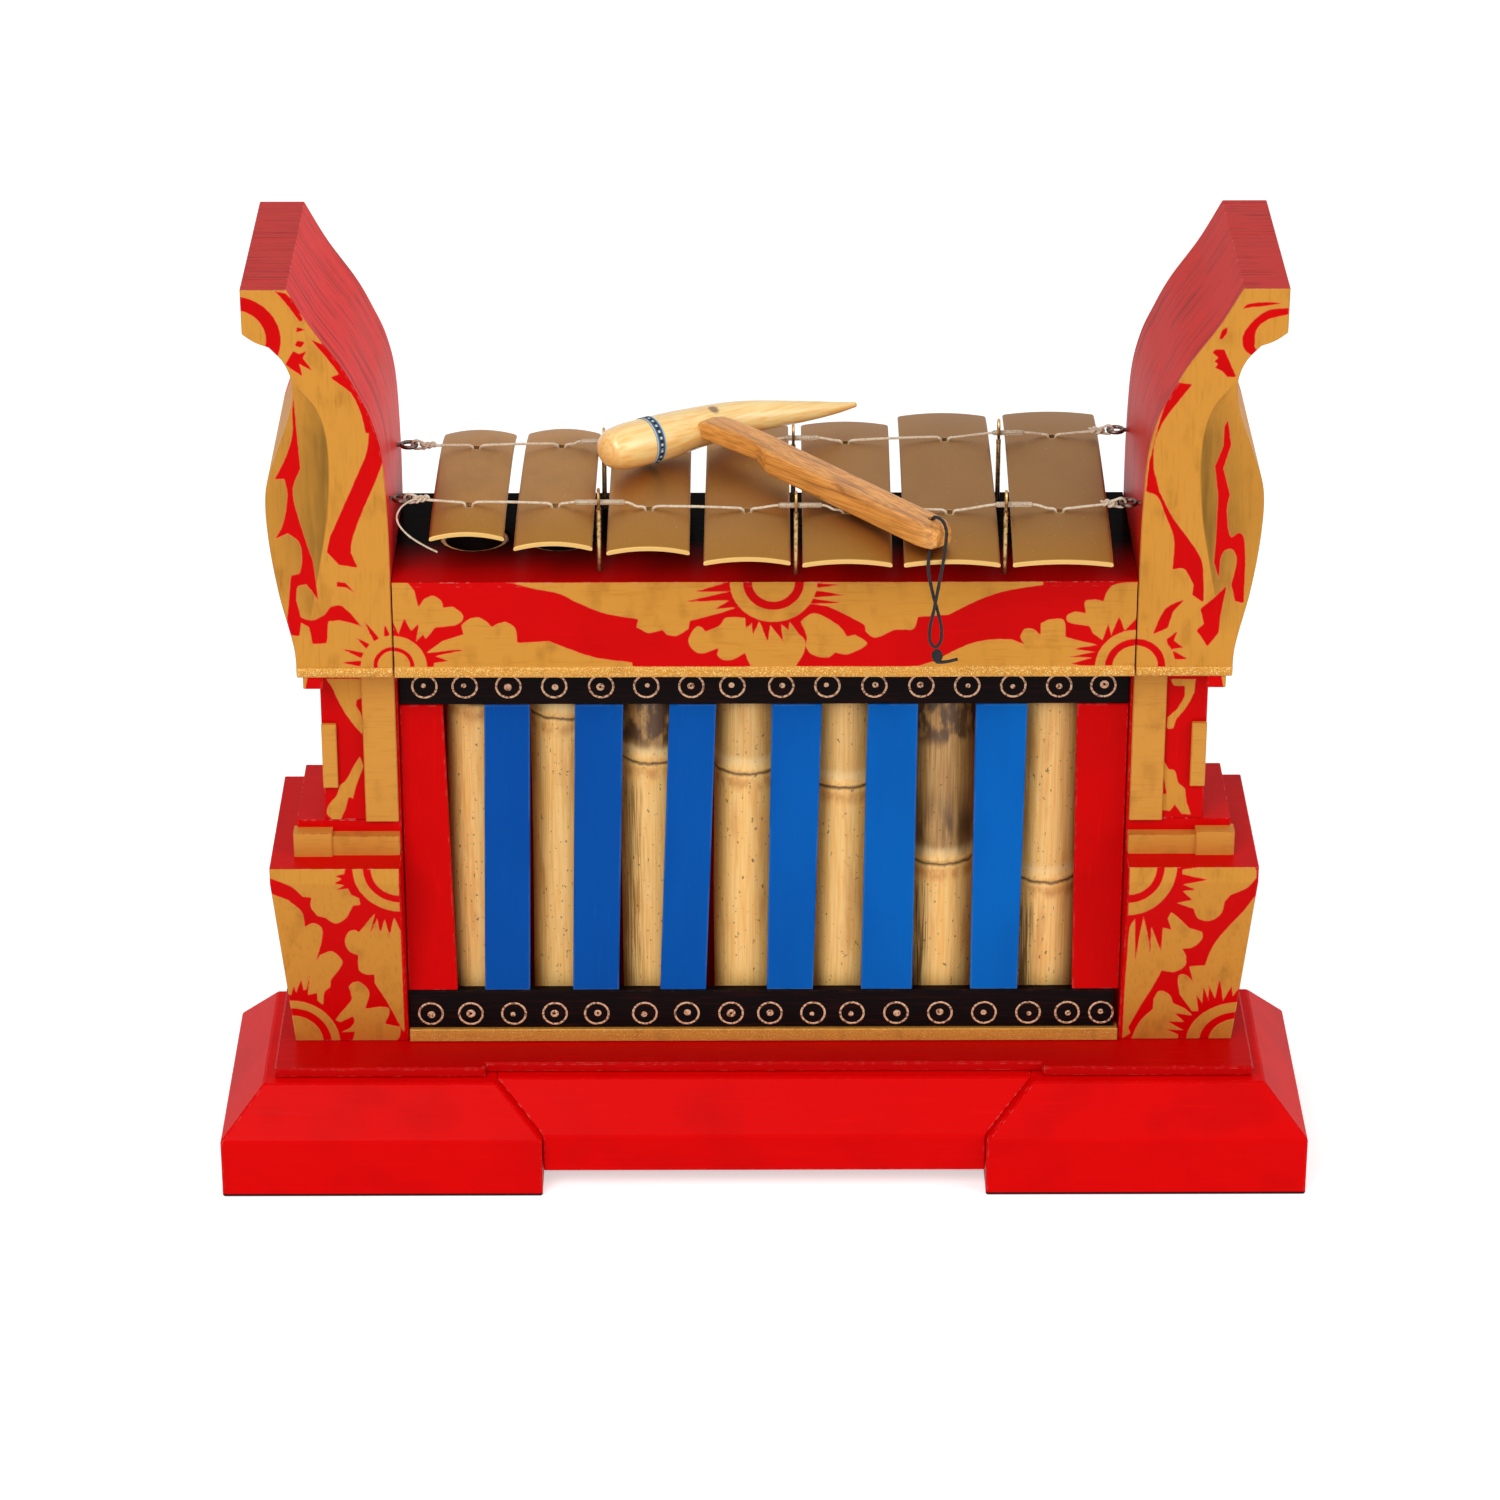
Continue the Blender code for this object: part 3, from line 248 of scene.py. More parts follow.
# %% World, lamps and floor
SKY_LEVEL = 0.5
LAMP_SIZE = 900.0
LAMPS = [("front_lamp", (-700, -1500, 1500), (0, 0, 180), 20),
         ("side_lamp", (1300, -900, 1100), (0, 0, 200), 8)]
FLOOR_SIZE = 6000.0
FLOOR_DROP = 0.2
FLOOR_COLOR = (0.85, 0.85, 0.85)
FLOOR_LIFT = (0.55, 0.55, 0.55)


def seen_directly(finish):
    """1 for rays from the camera and for mirror and glass rays, 0 for soft light."""
    seen = finish.node("ShaderNodeLightPath", output="Is Camera Ray")
    for output in ("Is Glossy Ray", "Is Transmission Ray"):
        seen = seen.larger(finish.node("ShaderNodeLightPath", output=output))
    return seen


class SkyFinish(Finish):
    """The same node helpers on the world's own tree."""

    def __init__(self, world):
        world.use_nodes = True
        self.tree = world.node_tree
        self.shader = self.tree.nodes["Background"]


world = bpy.data.worlds.new("studio")
bpy.context.scene.world = world
sky = SkyFinish(world)
sky.feed(sky.shader.inputs["Color"], (1, 1, 1))
sky.feed(sky.shader.inputs["Strength"], SKY_LEVEL + (1 - SKY_LEVEL) * seen_directly(sky))


def lamp(name, place, aim, watts):
    """A square soft lamp that looks at a point."""
    data = bpy.data.lights.new(name, "AREA")
    data.size = LAMP_SIZE * MM
    data.energy = watts
    made = stand(name, data)
    made.location = [value * MM for value in place]
    way = np.array(aim, float) - place
    made.rotation_euler = (math.acos(-way[2] / np.linalg.norm(way)), 0, math.atan2(-way[0], way[1]))


for name, place, aim, watts in LAMPS:
    lamp(name, place, aim, watts)

floor_finish = Finish("floor_white", base_color=FLOOR_COLOR, roughness=0.9, emission_strength=1.0)
lifted = floor_finish.mix(seen_directly(floor_finish), (0, 0, 0), FLOOR_LIFT)
floor_finish.show(emission_color=lifted)

half_floor = FLOOR_SIZE / 2
floor_mesh = bpy.data.meshes.new("floor")
floor_mesh.from_pydata([(x * half_floor * MM, y * half_floor * MM, -FLOOR_DROP * MM)
                        for x, y in ((-1, -1), (1, -1), (1, 1), (-1, 1))], [], [(0, 1, 2, 3)])
floor_mesh.materials.append(floor_finish.material)
floor = stand("floor", floor_mesh)
print("sky at", SKY_LEVEL, "and", len(LAMPS), "lamps")

# %% [markdown]
# ## From arrays to meshes
#
# Every new piece is a grid of points: rows along the piece, columns round it. Working the points
# out as whole arrays is fast and keeps the formula in view. One function turns such a grid into a
# closed mesh, and another hangs the piece on its body and says what it stands for.


# %% Grid to mesh
SHARP_ANGLE = 35.0
ROUND_ANGLE = 60.0


def grid_faces(rows, columns, joined):
    """Squares between neighbouring rows, the last column joined to the first, and on a ring the
    last row too."""
    row = np.arange(rows if joined else rows - 1)[:, None] * columns
    near = np.arange(columns)
    far = (near + 1) % columns
    corners = [row + near, row + far, row + columns + far, row + columns + near]
    return np.stack(corners, axis=-1).reshape(-1, 4) % (rows * columns)


def closed_grid(name, points, values=None, joined=False, ends=True):
    """A closed mesh from points[row, column] in millimetres, with a fan over each end.

    With joined=True the last row meets the first, as on a ring, and no ends are needed. With
    ends=False the first and last row are thinned to a line, which the caller welds.
    'values' are attributes: a name and one number for each point.
    """
    rows, columns = points.shape[:2]
    skin = points.reshape(-1, 3)
    faces = grid_faces(rows, columns, joined)
    extra = {key: value.reshape(-1) for key, value in (values or {}).items()}
    fans = np.empty((0, 3), int)
    if ends and not joined:
        low = np.full(columns, len(skin))
        skin = np.vstack([skin, points[0].mean(axis=0), points[-1].mean(axis=0)])
        extra = {key: np.append(value, [value[0], value[-1]]) for key, value in extra.items()}
        near = np.arange(columns)
        far = (near + 1) % columns
        last = (rows - 1) * columns
        fans = np.vstack([np.column_stack([far, near, low]),
                          np.column_stack([last + near, last + far, low + 1])])
    a, b, c, d = (skin[faces[:, k]] for k in range(4))
    volume = np.sum(np.cross(c - a, d - b) * (a + b + c + d))
    if volume < 0:
        faces = faces[:, ::-1]
        fans = fans[:, ::-1]
    mesh = bpy.data.meshes.new(name)
    mesh.from_pydata((skin * MM).tolist(), [], faces.tolist() + fans.tolist())
    for key, value in extra.items():
        layer = mesh.attributes.new(key, "FLOAT", "POINT")
        layer.data.foreach_set("value", value.astype(np.float32))
    return mesh


def add_piece(name, mesh, material, body, stands_for=(), sharp=SHARP_ANGLE):
    """Puts a mesh into the scene, on its body, in place of the nodes that it stands for."""
    mesh.materials.append(material)
    mesh.shade_smooth()
    mesh.set_sharp_from_angle(angle=math.radians(sharp))
    made = stand(name, mesh)
    if body:
        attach(made, body)
    if stands_for:
        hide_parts(*stands_for)
    return made


def join_meshes(name, meshes):
    """Several closed meshes as one, for small parts that repeat and carry no attributes."""
    corners, faces, count = [], [], 0
    for mesh in meshes:
        places = np.empty(len(mesh.vertices) * 3)
        mesh.vertices.foreach_get("co", places)
        corners.append(places.reshape(-1, 3))
        faces += [[index + count for index in face.vertices] for face in mesh.polygons]
        count += len(mesh.vertices)
        bpy.data.meshes.remove(mesh)
    whole = bpy.data.meshes.new(name)
    whole.from_pydata(np.vstack(corners).tolist(), [], faces)
    return whole


print("two parameters on a grid make any of the pieces")

# %% [markdown]
# ## Curves and tubes
#
# Cords, wires, the mallet's head and the rings on the rails are all tubes along a path. A smooth
# curve runs through a few chosen points, and each station of the tube is a circle square to it.


# %% Smooth curves and tubes
def smooth(points, steps):
    """A curve through the points: on each stretch a cubic whose slopes are set by the neighbours."""
    p = np.array(points, float)
    p = np.vstack([2 * p[0] - p[1], p, 2 * p[-1] - p[-2]])
    t = (np.arange(steps) / steps)[None, :, None]
    a, b, c, d = (p[k:len(p) - 3 + k, None] for k in range(4))
    curve = 0.5 * (2 * b + (c - a) * t + (2 * a - 5 * b + 4 * c - d) * t**2
                   + (3 * b - a - 3 * c + d) * t**3)
    return np.vstack([curve.reshape(-1, p.shape[1]), p[-2]])


def unit(vectors):
    return vectors / np.linalg.norm(vectors, axis=-1, keepdims=True)


def turns(count):
    """Equal angles once round a circle."""
    return 2 * np.pi * np.arange(count) / count


def tube(path, radii, sides, across=(0, 1, 0), joined=False):
    """Circles square to a path: centre + radius (cos a side + sin a up), where 'side' is square to
    the path and to 'across', and 'up' to both."""
    path = np.asarray(path, float)
    if joined:
        ahead = np.roll(path, -1, axis=0) - np.roll(path, 1, axis=0)
    else:
        ahead = np.gradient(path, axis=0)
    ahead = unit(ahead)
    side = unit(np.cross(ahead, np.array(across, float)))
    up = np.cross(side, ahead)
    angle = turns(sides)[:, None]
    radii = np.asarray(radii, float)
    if radii.ndim < 2:
        radii = np.broadcast_to(radii, len(path))[:, None]
    around = np.cos(angle) * side[:, None] + np.sin(angle) * up[:, None]
    return path[:, None] + radii[..., None] * around


def rounded_ends(path, radius, count=4):
    """Extra stations at both ends of a tube, on which its radius falls to almost nothing."""
    path = np.asarray(path, float)
    bend = np.linspace(0, np.pi / 2, count + 1)[1:] * 0.96
    out = radius * np.sin(bend)[:, None]
    start = path[0] + out[::-1] * unit(path[0] - path[1])
    end = path[-1] + out * unit(path[-1] - path[-2])
    thin = radius * np.cos(bend)
    radii = np.concatenate([thin[::-1], np.full(len(path), radius), thin])
    return np.vstack([start, path, end]), radii


def ring_mesh(name, centre, axis_a, axis_b, radius, wire, around, sides, stretch=1.0):
    """A wire ring: its middle line is centre + radius (cos t a + stretch sin t b)."""
    t = turns(around)[:, None]
    a = np.array(axis_a, float)
    b = np.array(axis_b, float)
    line = np.array(centre, float) + radius * (np.cos(t) * a + stretch * np.sin(t) * b)
    return closed_grid(name, tube(line, wire, sides, np.cross(a, b), joined=True), joined=True)


print(len(smooth([(0, 0), (1, 1), (2, 0)], 8)), "points on a curve through three")

# %% [markdown]
# ## Painted scrolls
#
# The gold leaves and flowers are flat paint on red. A picture can't be used, and small patches of
# geometry would flicker, so each leaf is an outline in millimetres on the front of its board. Every
# point of a fine grid keeps its distance from the nearest edge of the paint, positive on gold. The
# finish cuts that distance at zero, which stays sharp between the grid's points, and it can also
# draw the thin pale line that the brush left along each edge.
#
# A leaf is a list of stretches. Within a stretch the points lie on one smooth curve, such as a
# lobe, and where two stretches meet there is a corner.

# %% Leaves of the frieze, as x and height
LEFT_UPPER_LEAF = [
    [(-171, 313.5)], [(-163.5, 313)], [(-160.5, 309), (-159, 300.5)],
    [(-156, 305), (-152, 306.5), (-148.5, 304), (-147.5, 300.5)],
    [(-143, 301), (-139, 297.5), (-139, 294), (-142.5, 291.5)], [(-151.5, 290.5)],
    [(-156, 284.5)], [(-157, 287)], [(-160.5, 283.5)], [(-158.5, 293.5)], [(-162.5, 288.5)],
    [(-165.5, 295.5)], [(-168.5, 287)], [(-171.5, 295.5)],
]
LEFT_LOW_LEAF = [
    [(-156, 277.5)], [(-148.5, 283.5), (-138.5, 287)],
    [(-139.5, 291.5), (-136, 294.5), (-131.5, 295.5), (-127.5, 293), (-125.5, 290.5)],
    [(-122.5, 292.5), (-118.5, 293), (-114.5, 289.5), (-114, 282.5)],
    [(-99.5, 283.5), (-79.5, 275.5), (-61, 272.5)], [(-61, 269)], [(-152.5, 269)],
    [(-152.5, 272.5)], [(-145.5, 273.5)], [(-152, 276)], [(-136, 279.5)], [(-144, 279)],
]
LEFT_LONG_LEAF = [
    [(-117, 313)], [(-106, 310), (-94.5, 307.5), (-86, 303), (-73.5, 297.5), (-58, 294.5)],
    [(-59, 290.5), (-53.5, 287.5), (-47, 289)], [(-45, 286.5), (-40.5, 286), (-35, 289.5)],
    [(-34.5, 293.5), (-20.5, 297.5), (-12.5, 300.5)], [(-23, 299.5)], [(-16, 304)],
    [(-37.5, 303)], [(-15.5, 308.5)], [(-33, 308)], [(-17, 313)],
]
CENTRE_LEAF = [
    [(-9, 295)], [(-13.5, 295.5), (-18, 295), (-21, 291), (-27.5, 288)],
    [(-28.5, 290), (-31.5, 290.5), (-35, 284.5), (-33.5, 279.5), (-29, 277), (-21, 280)],
    [(-22, 276.5), (-19.5, 274), (-14.5, 274), (-9, 277.5)], [(-8, 274), (-5.5, 269)],
    [(13.5, 269)], [(17, 275), (18.5, 279), (18.5, 283.5), (15.5, 287)], [(11.5, 293)],
    [(11, 288.5)], [(7.5, 292)], [(8.5, 283)], [(2.5, 291.5)], [(1.5, 282.5)], [(-2.5, 293.5)],
    [(-5.5, 286)], [(-6, 292.5)], [(-8.5, 289.5)],
]
CENTRE_RIGHT_LEAF = [
    [(16.5, 293)], [(18.5, 295), (21.5, 297), (25.5, 296.5), (34, 291), (38, 285.5)],
    [(41.5, 286.5), (47, 282.5), (44.5, 279.5), (38, 276.5), (32.5, 277.5)],
    [(30, 275), (26, 275), (21, 277), (19, 280.5)], [(19.5, 285), (18.5, 288.5)],
]
RIGHT_LONG_LEAF = [
    [(20, 302)], [(28.5, 301), (36.5, 297), (46, 291.5)], [(46.5, 288), (51, 285), (59.5, 289)],
    [(63.5, 289), (68.5, 289.5), (70.5, 295.5)],
    [(84.5, 296.5), (96.5, 303), (109, 308), (127.5, 311.5)], [(127.5, 313)], [(40.5, 313)],
    [(17, 313)], [(35, 311.5)], [(19, 309.5)], [(37, 306.5)], [(20.5, 305)], [(36, 302.5)],
]
RIGHT_LOW_LEAF = [
    [(66.5, 269)], [(78, 273), (95.5, 282), (111, 284), (119.5, 281.5)],
    [(117.5, 285), (119.5, 289), (123.5, 289), (127, 286)],
    [(127, 292), (131.5, 294), (137.5, 293.5), (138.5, 285)], [(143.5, 283.5), (153.5, 281)],
    [(141, 279)], [(152.5, 277.5)], [(140, 275)], [(151, 274.5)], [(141, 271.5)], [(153.5, 269)],
]
RIGHT_UPPER_LEAF = [
    [(173, 312.5)], [(166.5, 312.5), (160.5, 311.5), (157, 308), (155.5, 303)],
    [(151.5, 304), (147, 303), (147.5, 297)],
    [(142.5, 298), (139, 296), (140, 292.5), (149.5, 290.5)], [(151, 287), (155.5, 283.5)],
    [(158, 292)], [(159.5, 286)], [(163, 296)], [(165.5, 288)], [(173, 297)],
]

# %% Bands and flecks of the left horn, red on gold
HORN_BAND = [
    [(-199, 433.5)], [(-191, 422.5), (-183, 410), (-177, 397.5), (-172.5, 381), (-173, 373)],
    [(-177.5, 361.5), (-184, 346.5), (-188, 335), (-189, 328.5)], [(-186, 320.5)],
    [(-194.5, 322), (-200, 328.5)],
    [(-198, 336.5), (-185, 366.5), (-179.5, 381), (-179, 399), (-185, 407), (-195, 415.5)],
    [(-190.5, 417.5), (-191, 422.5), (-199, 433.5)],
]
COVE_BAND = [
    [(-212, 407)], [(-213, 397.5), (-213.5, 386), (-217, 374.5), (-222.5, 363.5)],
    [(-218, 364), (-217, 355), (-219.5, 341.5), (-223.5, 333.5)],
    [(-217.5, 336.5), (-212.5, 332), (-211.5, 323.5), (-213, 316.5)], [(-217, 315.5)],
    [(-218.5, 301.5), (-220, 290)], [(-219, 286.5)], [(-214, 286)], [(-213, 292.5)],
    [(-209.5, 290.5), (-208, 282)], [(-201.5, 282.5)], [(-200.5, 293.5)],
    [(-195, 294), (-187, 291.5), (-182, 286.5)], [(-190.5, 298), (-194.5, 301.5), (-199, 301)],
    [(-202.5, 296.5), (-208, 294), (-213, 295)], [(-215, 303.5), (-214, 310), (-210, 311.5)],
    [(-207.5, 308.5), (-204.5, 303.5)],
    [(-206.5, 323.5), (-210, 335), (-214.5, 356.5), (-210.5, 369.5)], [(-211.5, 387.5)],
]
HORN_FLECK = [[(-196, 313.5)], [(-192, 313), (-186.5, 306.5)], [(-191.5, 310.5), (-196, 311)]]
TIP_LINE = [[(-218.5, 457.5)], [(-213.5, 456.5), (-209, 451.5)], [(-206, 443.5)],
            [(-207.5, 442.5), (-212, 449.5), (-216, 455)]]
TIP_DASH = [[(-209, 440)], [(-204, 439)], [(-209.5, 437.5)]]
TIP_DOT = [[(-209, 433.5)], [(-205.5, 433)], [(-207.5, 430)], [(-210.5, 431)]]
RIDGE_LINE = [
    [(-203, 434), (-193.5, 421), (-185.5, 407), (-182, 398), (-180, 388)],
    [(-167, 390)], [(-173, 405), (-181, 419), (-189.5, 428)],
]
TIP_STAR = [[(-215, 422)], [(-211, 428.5)], [(-208.5, 427)], [(-205, 428.5)], [(-207, 425)],
            [(-202.5, 418.5)], [(-208.5, 422)], [(-207.5, 416)], [(-212.5, 420)]]

# %% The right horn's own bands and flecks
RIGHT_BAND = [
    [(192, 411.5), (187, 404.5), (179.5, 393), (176, 381.5), (176, 370)],
    [(179, 358.5), (185.5, 345.5), (193.5, 334), (199.5, 324), (201, 313.5), (201.5, 302)],
    [(196, 306)], [(196.5, 311), (192, 319), (186.5, 319)],
    [(187, 330.5), (186, 337), (182, 347), (178.5, 355.5), (173, 358.5)],
    [(174, 373.5), (177.5, 391.5), (180.5, 402.5), (184.5, 412.5)],
]
RIGHT_COVE_BAND = [
    [(209, 393), (211, 380)], [(208, 368.5)],
    [(211.5, 355.5), (210.5, 347), (212.5, 334.5), (216.5, 336), (219, 333), (220, 320.5),
     (220, 301)],
    [(216, 302)], [(214, 310.5), (216, 322), (213.5, 328), (209, 325.5), (208, 313.5)],
    [(205.5, 322), (206, 338.5), (206, 355.5)], [(204, 370)], [(207.5, 380), (207.5, 389.5)],
]
RIGHT_DIAMOND = [
    [(212, 310), (209.5, 295.5), (209, 287)], [(204, 280)], [(200.5, 285.5)], [(198.5, 288)],
    [(202, 291.5), (200, 299)],
]
RIGHT_STAR = [
    [(200, 427)], [(201.5, 428.5), (205.5, 428.5)], [(211.5, 415)], [(207.5, 415)], [(205, 418)],
    [(201.5, 419.5)], [(203, 421.5)], [(201, 422.5)], [(203, 424.5)],
]
RIGHT_DROP = [
    [(203, 433.5), (204, 437.5), (206.5, 439.5)], [(206.5, 436.5), (204.5, 433.5)],
]
RIGHT_TIP_LINE = [
    [(212.5, 448), (215.5, 450.5), (223, 451.5)], [(231, 451)], [(223, 449.5), (217, 449)],
]
RIGHT_TIP_RING = [
    [(233.5, 448.5), (224.5, 447.5), (217.5, 442), (213.5, 435), (214.5, 428.5), (218.5, 425)],
    [(221, 426.5)], [(219, 430), (219.5, 438), (224.5, 443), (233.5, 445.5)],
]
RIGHT_RAY_UP = [
    [(178.5, 286), (184, 299), (193, 304)], [(187.5, 297.5), (185.5, 289.5)],
]
RIGHT_RAY_SIDE = [
    [(185, 283.5)], [(190, 288)], [(188.5, 283)], [(193, 279.5)], [(187.5, 278.5)],
    [(195.5, 273.5)], [(187.5, 273.5)], [(189, 269)],
]
RIGHT_RAY_TOP = [
    [(175, 285), (175.5, 290.5)], [(177, 285)],
]

# %% Leaves of the left pedestal, and strokes on the left neck
PEDESTAL_TOP_LEAF = [
    [(-234, 166)], [(-197, 166)], [(-198, 161.5)], [(-202.5, 160.5)], [(-199, 159)],
    [(-203, 156.5)], [(-198, 155.5)], [(-202.5, 152.5)], [(-196.5, 153.5)], [(-195, 149.5)],
    [(-191.5, 147.5)], [(-191, 143.5)],
    [(-194.5, 143), (-198.5, 135), (-203.5, 132), (-208, 135.5)],
    [(-211.5, 136.5), (-214.5, 142), (-214, 148)], [(-218, 148.5), (-223.5, 155), (-234, 160)],
]
PEDESTAL_RIGHT_LEAF = [
    [(-175.5, 136)], [(-178, 124)], [(-180, 135)], [(-182.5, 124.5)], [(-183.5, 135)],
    [(-187.5, 124.5)], [(-184.5, 138)], [(-187, 134.5), (-190, 130), (-192.5, 126.5)],
    [(-194.5, 128), (-197.5, 126.5), (-199.5, 121), (-198, 115), (-193.5, 112)],
    [(-194, 107), (-193.5, 102.5), (-190.5, 100), (-186.5, 100)],
    [(-186.5, 94.5), (-181, 82), (-174, 63)], [(-170, 63)], [(-170, 123)],
    [(-172.5, 126.5), (-175.5, 136)],
]
PEDESTAL_LEFT_LEAF = [
    [(-234, 151)], [(-225, 146.5), (-219, 139), (-218, 129.5)],
    [(-216, 131.5), (-213, 132), (-210, 128.5), (-210.5, 121.5), (-214, 108)],
    [(-211.5, 112.5), (-206, 114.5), (-201.5, 109), (-202.5, 104.5), (-207.5, 96.5)],
    [(-208, 92), (-211, 88.5), (-212, 80.5)], [(-214.5, 83.5)], [(-214.5, 88.5)], [(-219, 87)],
    [(-217, 102.5)], [(-219.5, 90.5)], [(-221, 90)], [(-221.5, 97.5)], [(-224.5, 88.5)],
    [(-225.5, 93)], [(-227, 87)], [(-234, 90)],
]
PEDESTAL_LOW_LEAF = [
    [(-206.5, 71)], [(-203.5, 76), (-199.5, 81.5), (-198, 85), (-199, 92.5)],
    [(-197, 95), (-193.5, 95), (-189.5, 88.5), (-192, 78)],
    [(-184.5, 79.5), (-181, 78.5), (-180.5, 75), (-183, 68.5)],
    [(-176, 66.5), (-175.5, 63), (-177, 58.5), (-180.5, 56)], [(-199.5, 56)], [(-197.5, 63.5)],
    [(-204.5, 63)], [(-200, 65.5), (-197.5, 69.5), (-198, 73.5)], [(-204.5, 69.5)],
]
NECK_UPPER = [
    [(-204.5, 254)], [(-201.5, 249), (-198.5, 241), (-194, 232.5), (-188.5, 225)],
    [(-187.5, 230.5)], [(-189, 236.5), (-191, 240)], [(-190.5, 243), (-187.5, 244.5)], [(-187, 254)],
]
NECK_LOWER = [
    [(-190, 213.5)], [(-192.5, 209.5), (-197, 201), (-200, 198.5)],
    [(-201.5, 193), (-205.5, 188), (-206.5, 183.5), (-203.5, 180)], [(-200, 180.5)],
    [(-197.5, 186.5), (-196, 192.5)], [(-194, 191.5)], [(-192.5, 197.5), (-188.5, 208.5)],
]

# %% Leaves of the right pedestal, and strokes on the right neck
RIGHT_BLOCK_TOP_LEAF = [
    [(197, 163)], [(213.5, 165.5)], [(230.5, 166)], [(232, 162)],
    [(232, 158.5), (227.5, 152.5), (220.5, 148.5)],
    [(218, 144.5), (216.5, 136.5), (211.5, 132.5), (206, 134), (203.5, 140)], [(195.5, 143.5)],
    [(202.5, 145.5)], [(197.5, 151)], [(204.5, 151.5)], [(197, 155)], [(210, 157.5)],
    [(197, 160.5)],
]
RIGHT_BLOCK_INNER_LEAF = [
    [(173.5, 122.5), (174, 129), (176, 134)], [(177.5, 105)], [(178.5, 121.5), (180, 135.5)],
    [(182.5, 124)], [(184.5, 110.5)], [(184, 129)], [(189.5, 113)], [(189.5, 128.5)],
    [(194, 126.5)], [(191.5, 134)], [(193, 138), (197, 134), (202, 128)],
    [(208.5, 125.5), (208.5, 121), (204.5, 116), (199.5, 115)],
    [(201.5, 110.5), (201.5, 104.5), (196.5, 100.5), (190.5, 101.5)],
    [(186, 89.5), (182, 80.5), (178, 70), (176, 65)], [(177.5, 61.5)], [(173, 57.5)],
]
RIGHT_BLOCK_OUTER_LEAF = [
    [(232, 147.5)], [(227, 138), (218, 124.5), (213.5, 115), (211, 104.5)], [(203.5, 104)],
    [(205.5, 96), (207.5, 87.5), (211, 80.5)], [(211, 92)], [(214, 82)], [(213.5, 92.5)],
    [(217, 83.5)], [(218.5, 97.5)], [(221, 82)], [(224.5, 91.5)], [(225.5, 85)], [(229, 91.5)],
    [(233, 120)],
]
RIGHT_BLOCK_BUD = [
    [(198.5, 94), (199, 98.5), (202, 98.5), (205.5, 94), (208, 84.5), (209.5, 75.5)],
    [(206.5, 75.5), (200, 86)],
]
RIGHT_BLOCK_LOW_LEAF = [
    [(178, 57.5)], [(180, 65), (182.5, 70.5), (187.5, 77)],
    [(187.5, 83.5), (190, 88.5), (195, 86), (197, 80.5)], [(202.5, 77.5), (207, 72.5)],
    [(197.5, 74.5)], [(203.5, 68.5)], [(194.5, 69)], [(203.5, 63)], [(194, 64)], [(200.5, 60.5)],
    [(200.5, 57.5)],
]
RIGHT_NECK_UPPER = [
    [(189.5, 253)], [(201.5, 253)], [(201, 246), (198, 239), (193, 232)],
    [(192, 227.5), (189, 227.5), (189, 233)], [(193.5, 237.5), (196.5, 244), (196.5, 249.5)],
    [(191.5, 249.5)],
]
RIGHT_NECK_LOWER = [
    [(187.5, 211.5)], [(190.5, 206), (193.5, 205), (195, 199)], [(198.5, 196)],
    [(199.5, 188.5), (202, 182)], [(197.5, 182.5), (194, 187.5)], [(192, 184), (187.5, 184.5)],
    [(187, 193)], [(190, 193)], [(188, 203)],
]
print("leaves have", sum(len(s) for s in LEFT_LONG_LEAF), "or so points each")


# %% [markdown]
# ## Flowers
#
# Each corner and the middle of the frieze has a flower: a gold disc, a red ring and a gold ring,
# and on the left horn red rays. A few radii describe it, so it is made by a function.


# %% Outlines from stretches, circles and rays
LEAF_STEPS = 6
CIRCLE_POINTS = 48
RAY_WIDTH = 3.2


def outline(leaf):
    """One closed line round a leaf: each stretch smooth, with a corner between stretches."""
    return np.vstack([smooth(part, LEAF_STEPS) if len(part) > 1 else np.array(part, float)
                      for part in leaf])


def painted(paint, *leaves):
    """Layers of one paint, one for each leaf."""
    return [(paint, outline(leaf)) for leaf in leaves]


def circle(centre, radius, tall):
    """The points centre + radius (cos t, tall sin t)."""
    t = turns(CIRCLE_POINTS)
    return np.column_stack([centre[0] + radius * np.cos(t), centre[1] + radius * tall * np.sin(t)])


def ray(centre, degrees, start, end):
    """A thin spike that points away from the centre."""
    a = math.radians(degrees)
    ahead = np.array([math.cos(a), math.sin(a)])
    side = np.array([-ahead[1], ahead[0]]) * RAY_WIDTH / 2
    base = np.array(centre) + start * ahead
    return np.array([base - side, np.array(centre) + end * ahead, base + side])


def flower(centre, disc, red, gold, tall=1.0):
    """A gold ring, the red ring inside it and the gold disc in the middle, in painting order."""
    return [("gold", circle(centre, gold, tall)), ("red", circle(centre, red, tall)),
            ("gold", circle(centre, disc, tall))]


def rays(centre, angles, start, end):
    """Red spikes of uneven length at the given angles."""
    return [("red", ray(centre, angle, start, end + 2.5 * math.sin(3 * angle)))
            for angle in angles]


FLOWER_MIDDLE = (4, 313)
FLOWER_LEFT = (-171, 271)
FLOWER_RIGHT = (171, 270)
HORN_TIP_FLOWER = (-237, 434.4)

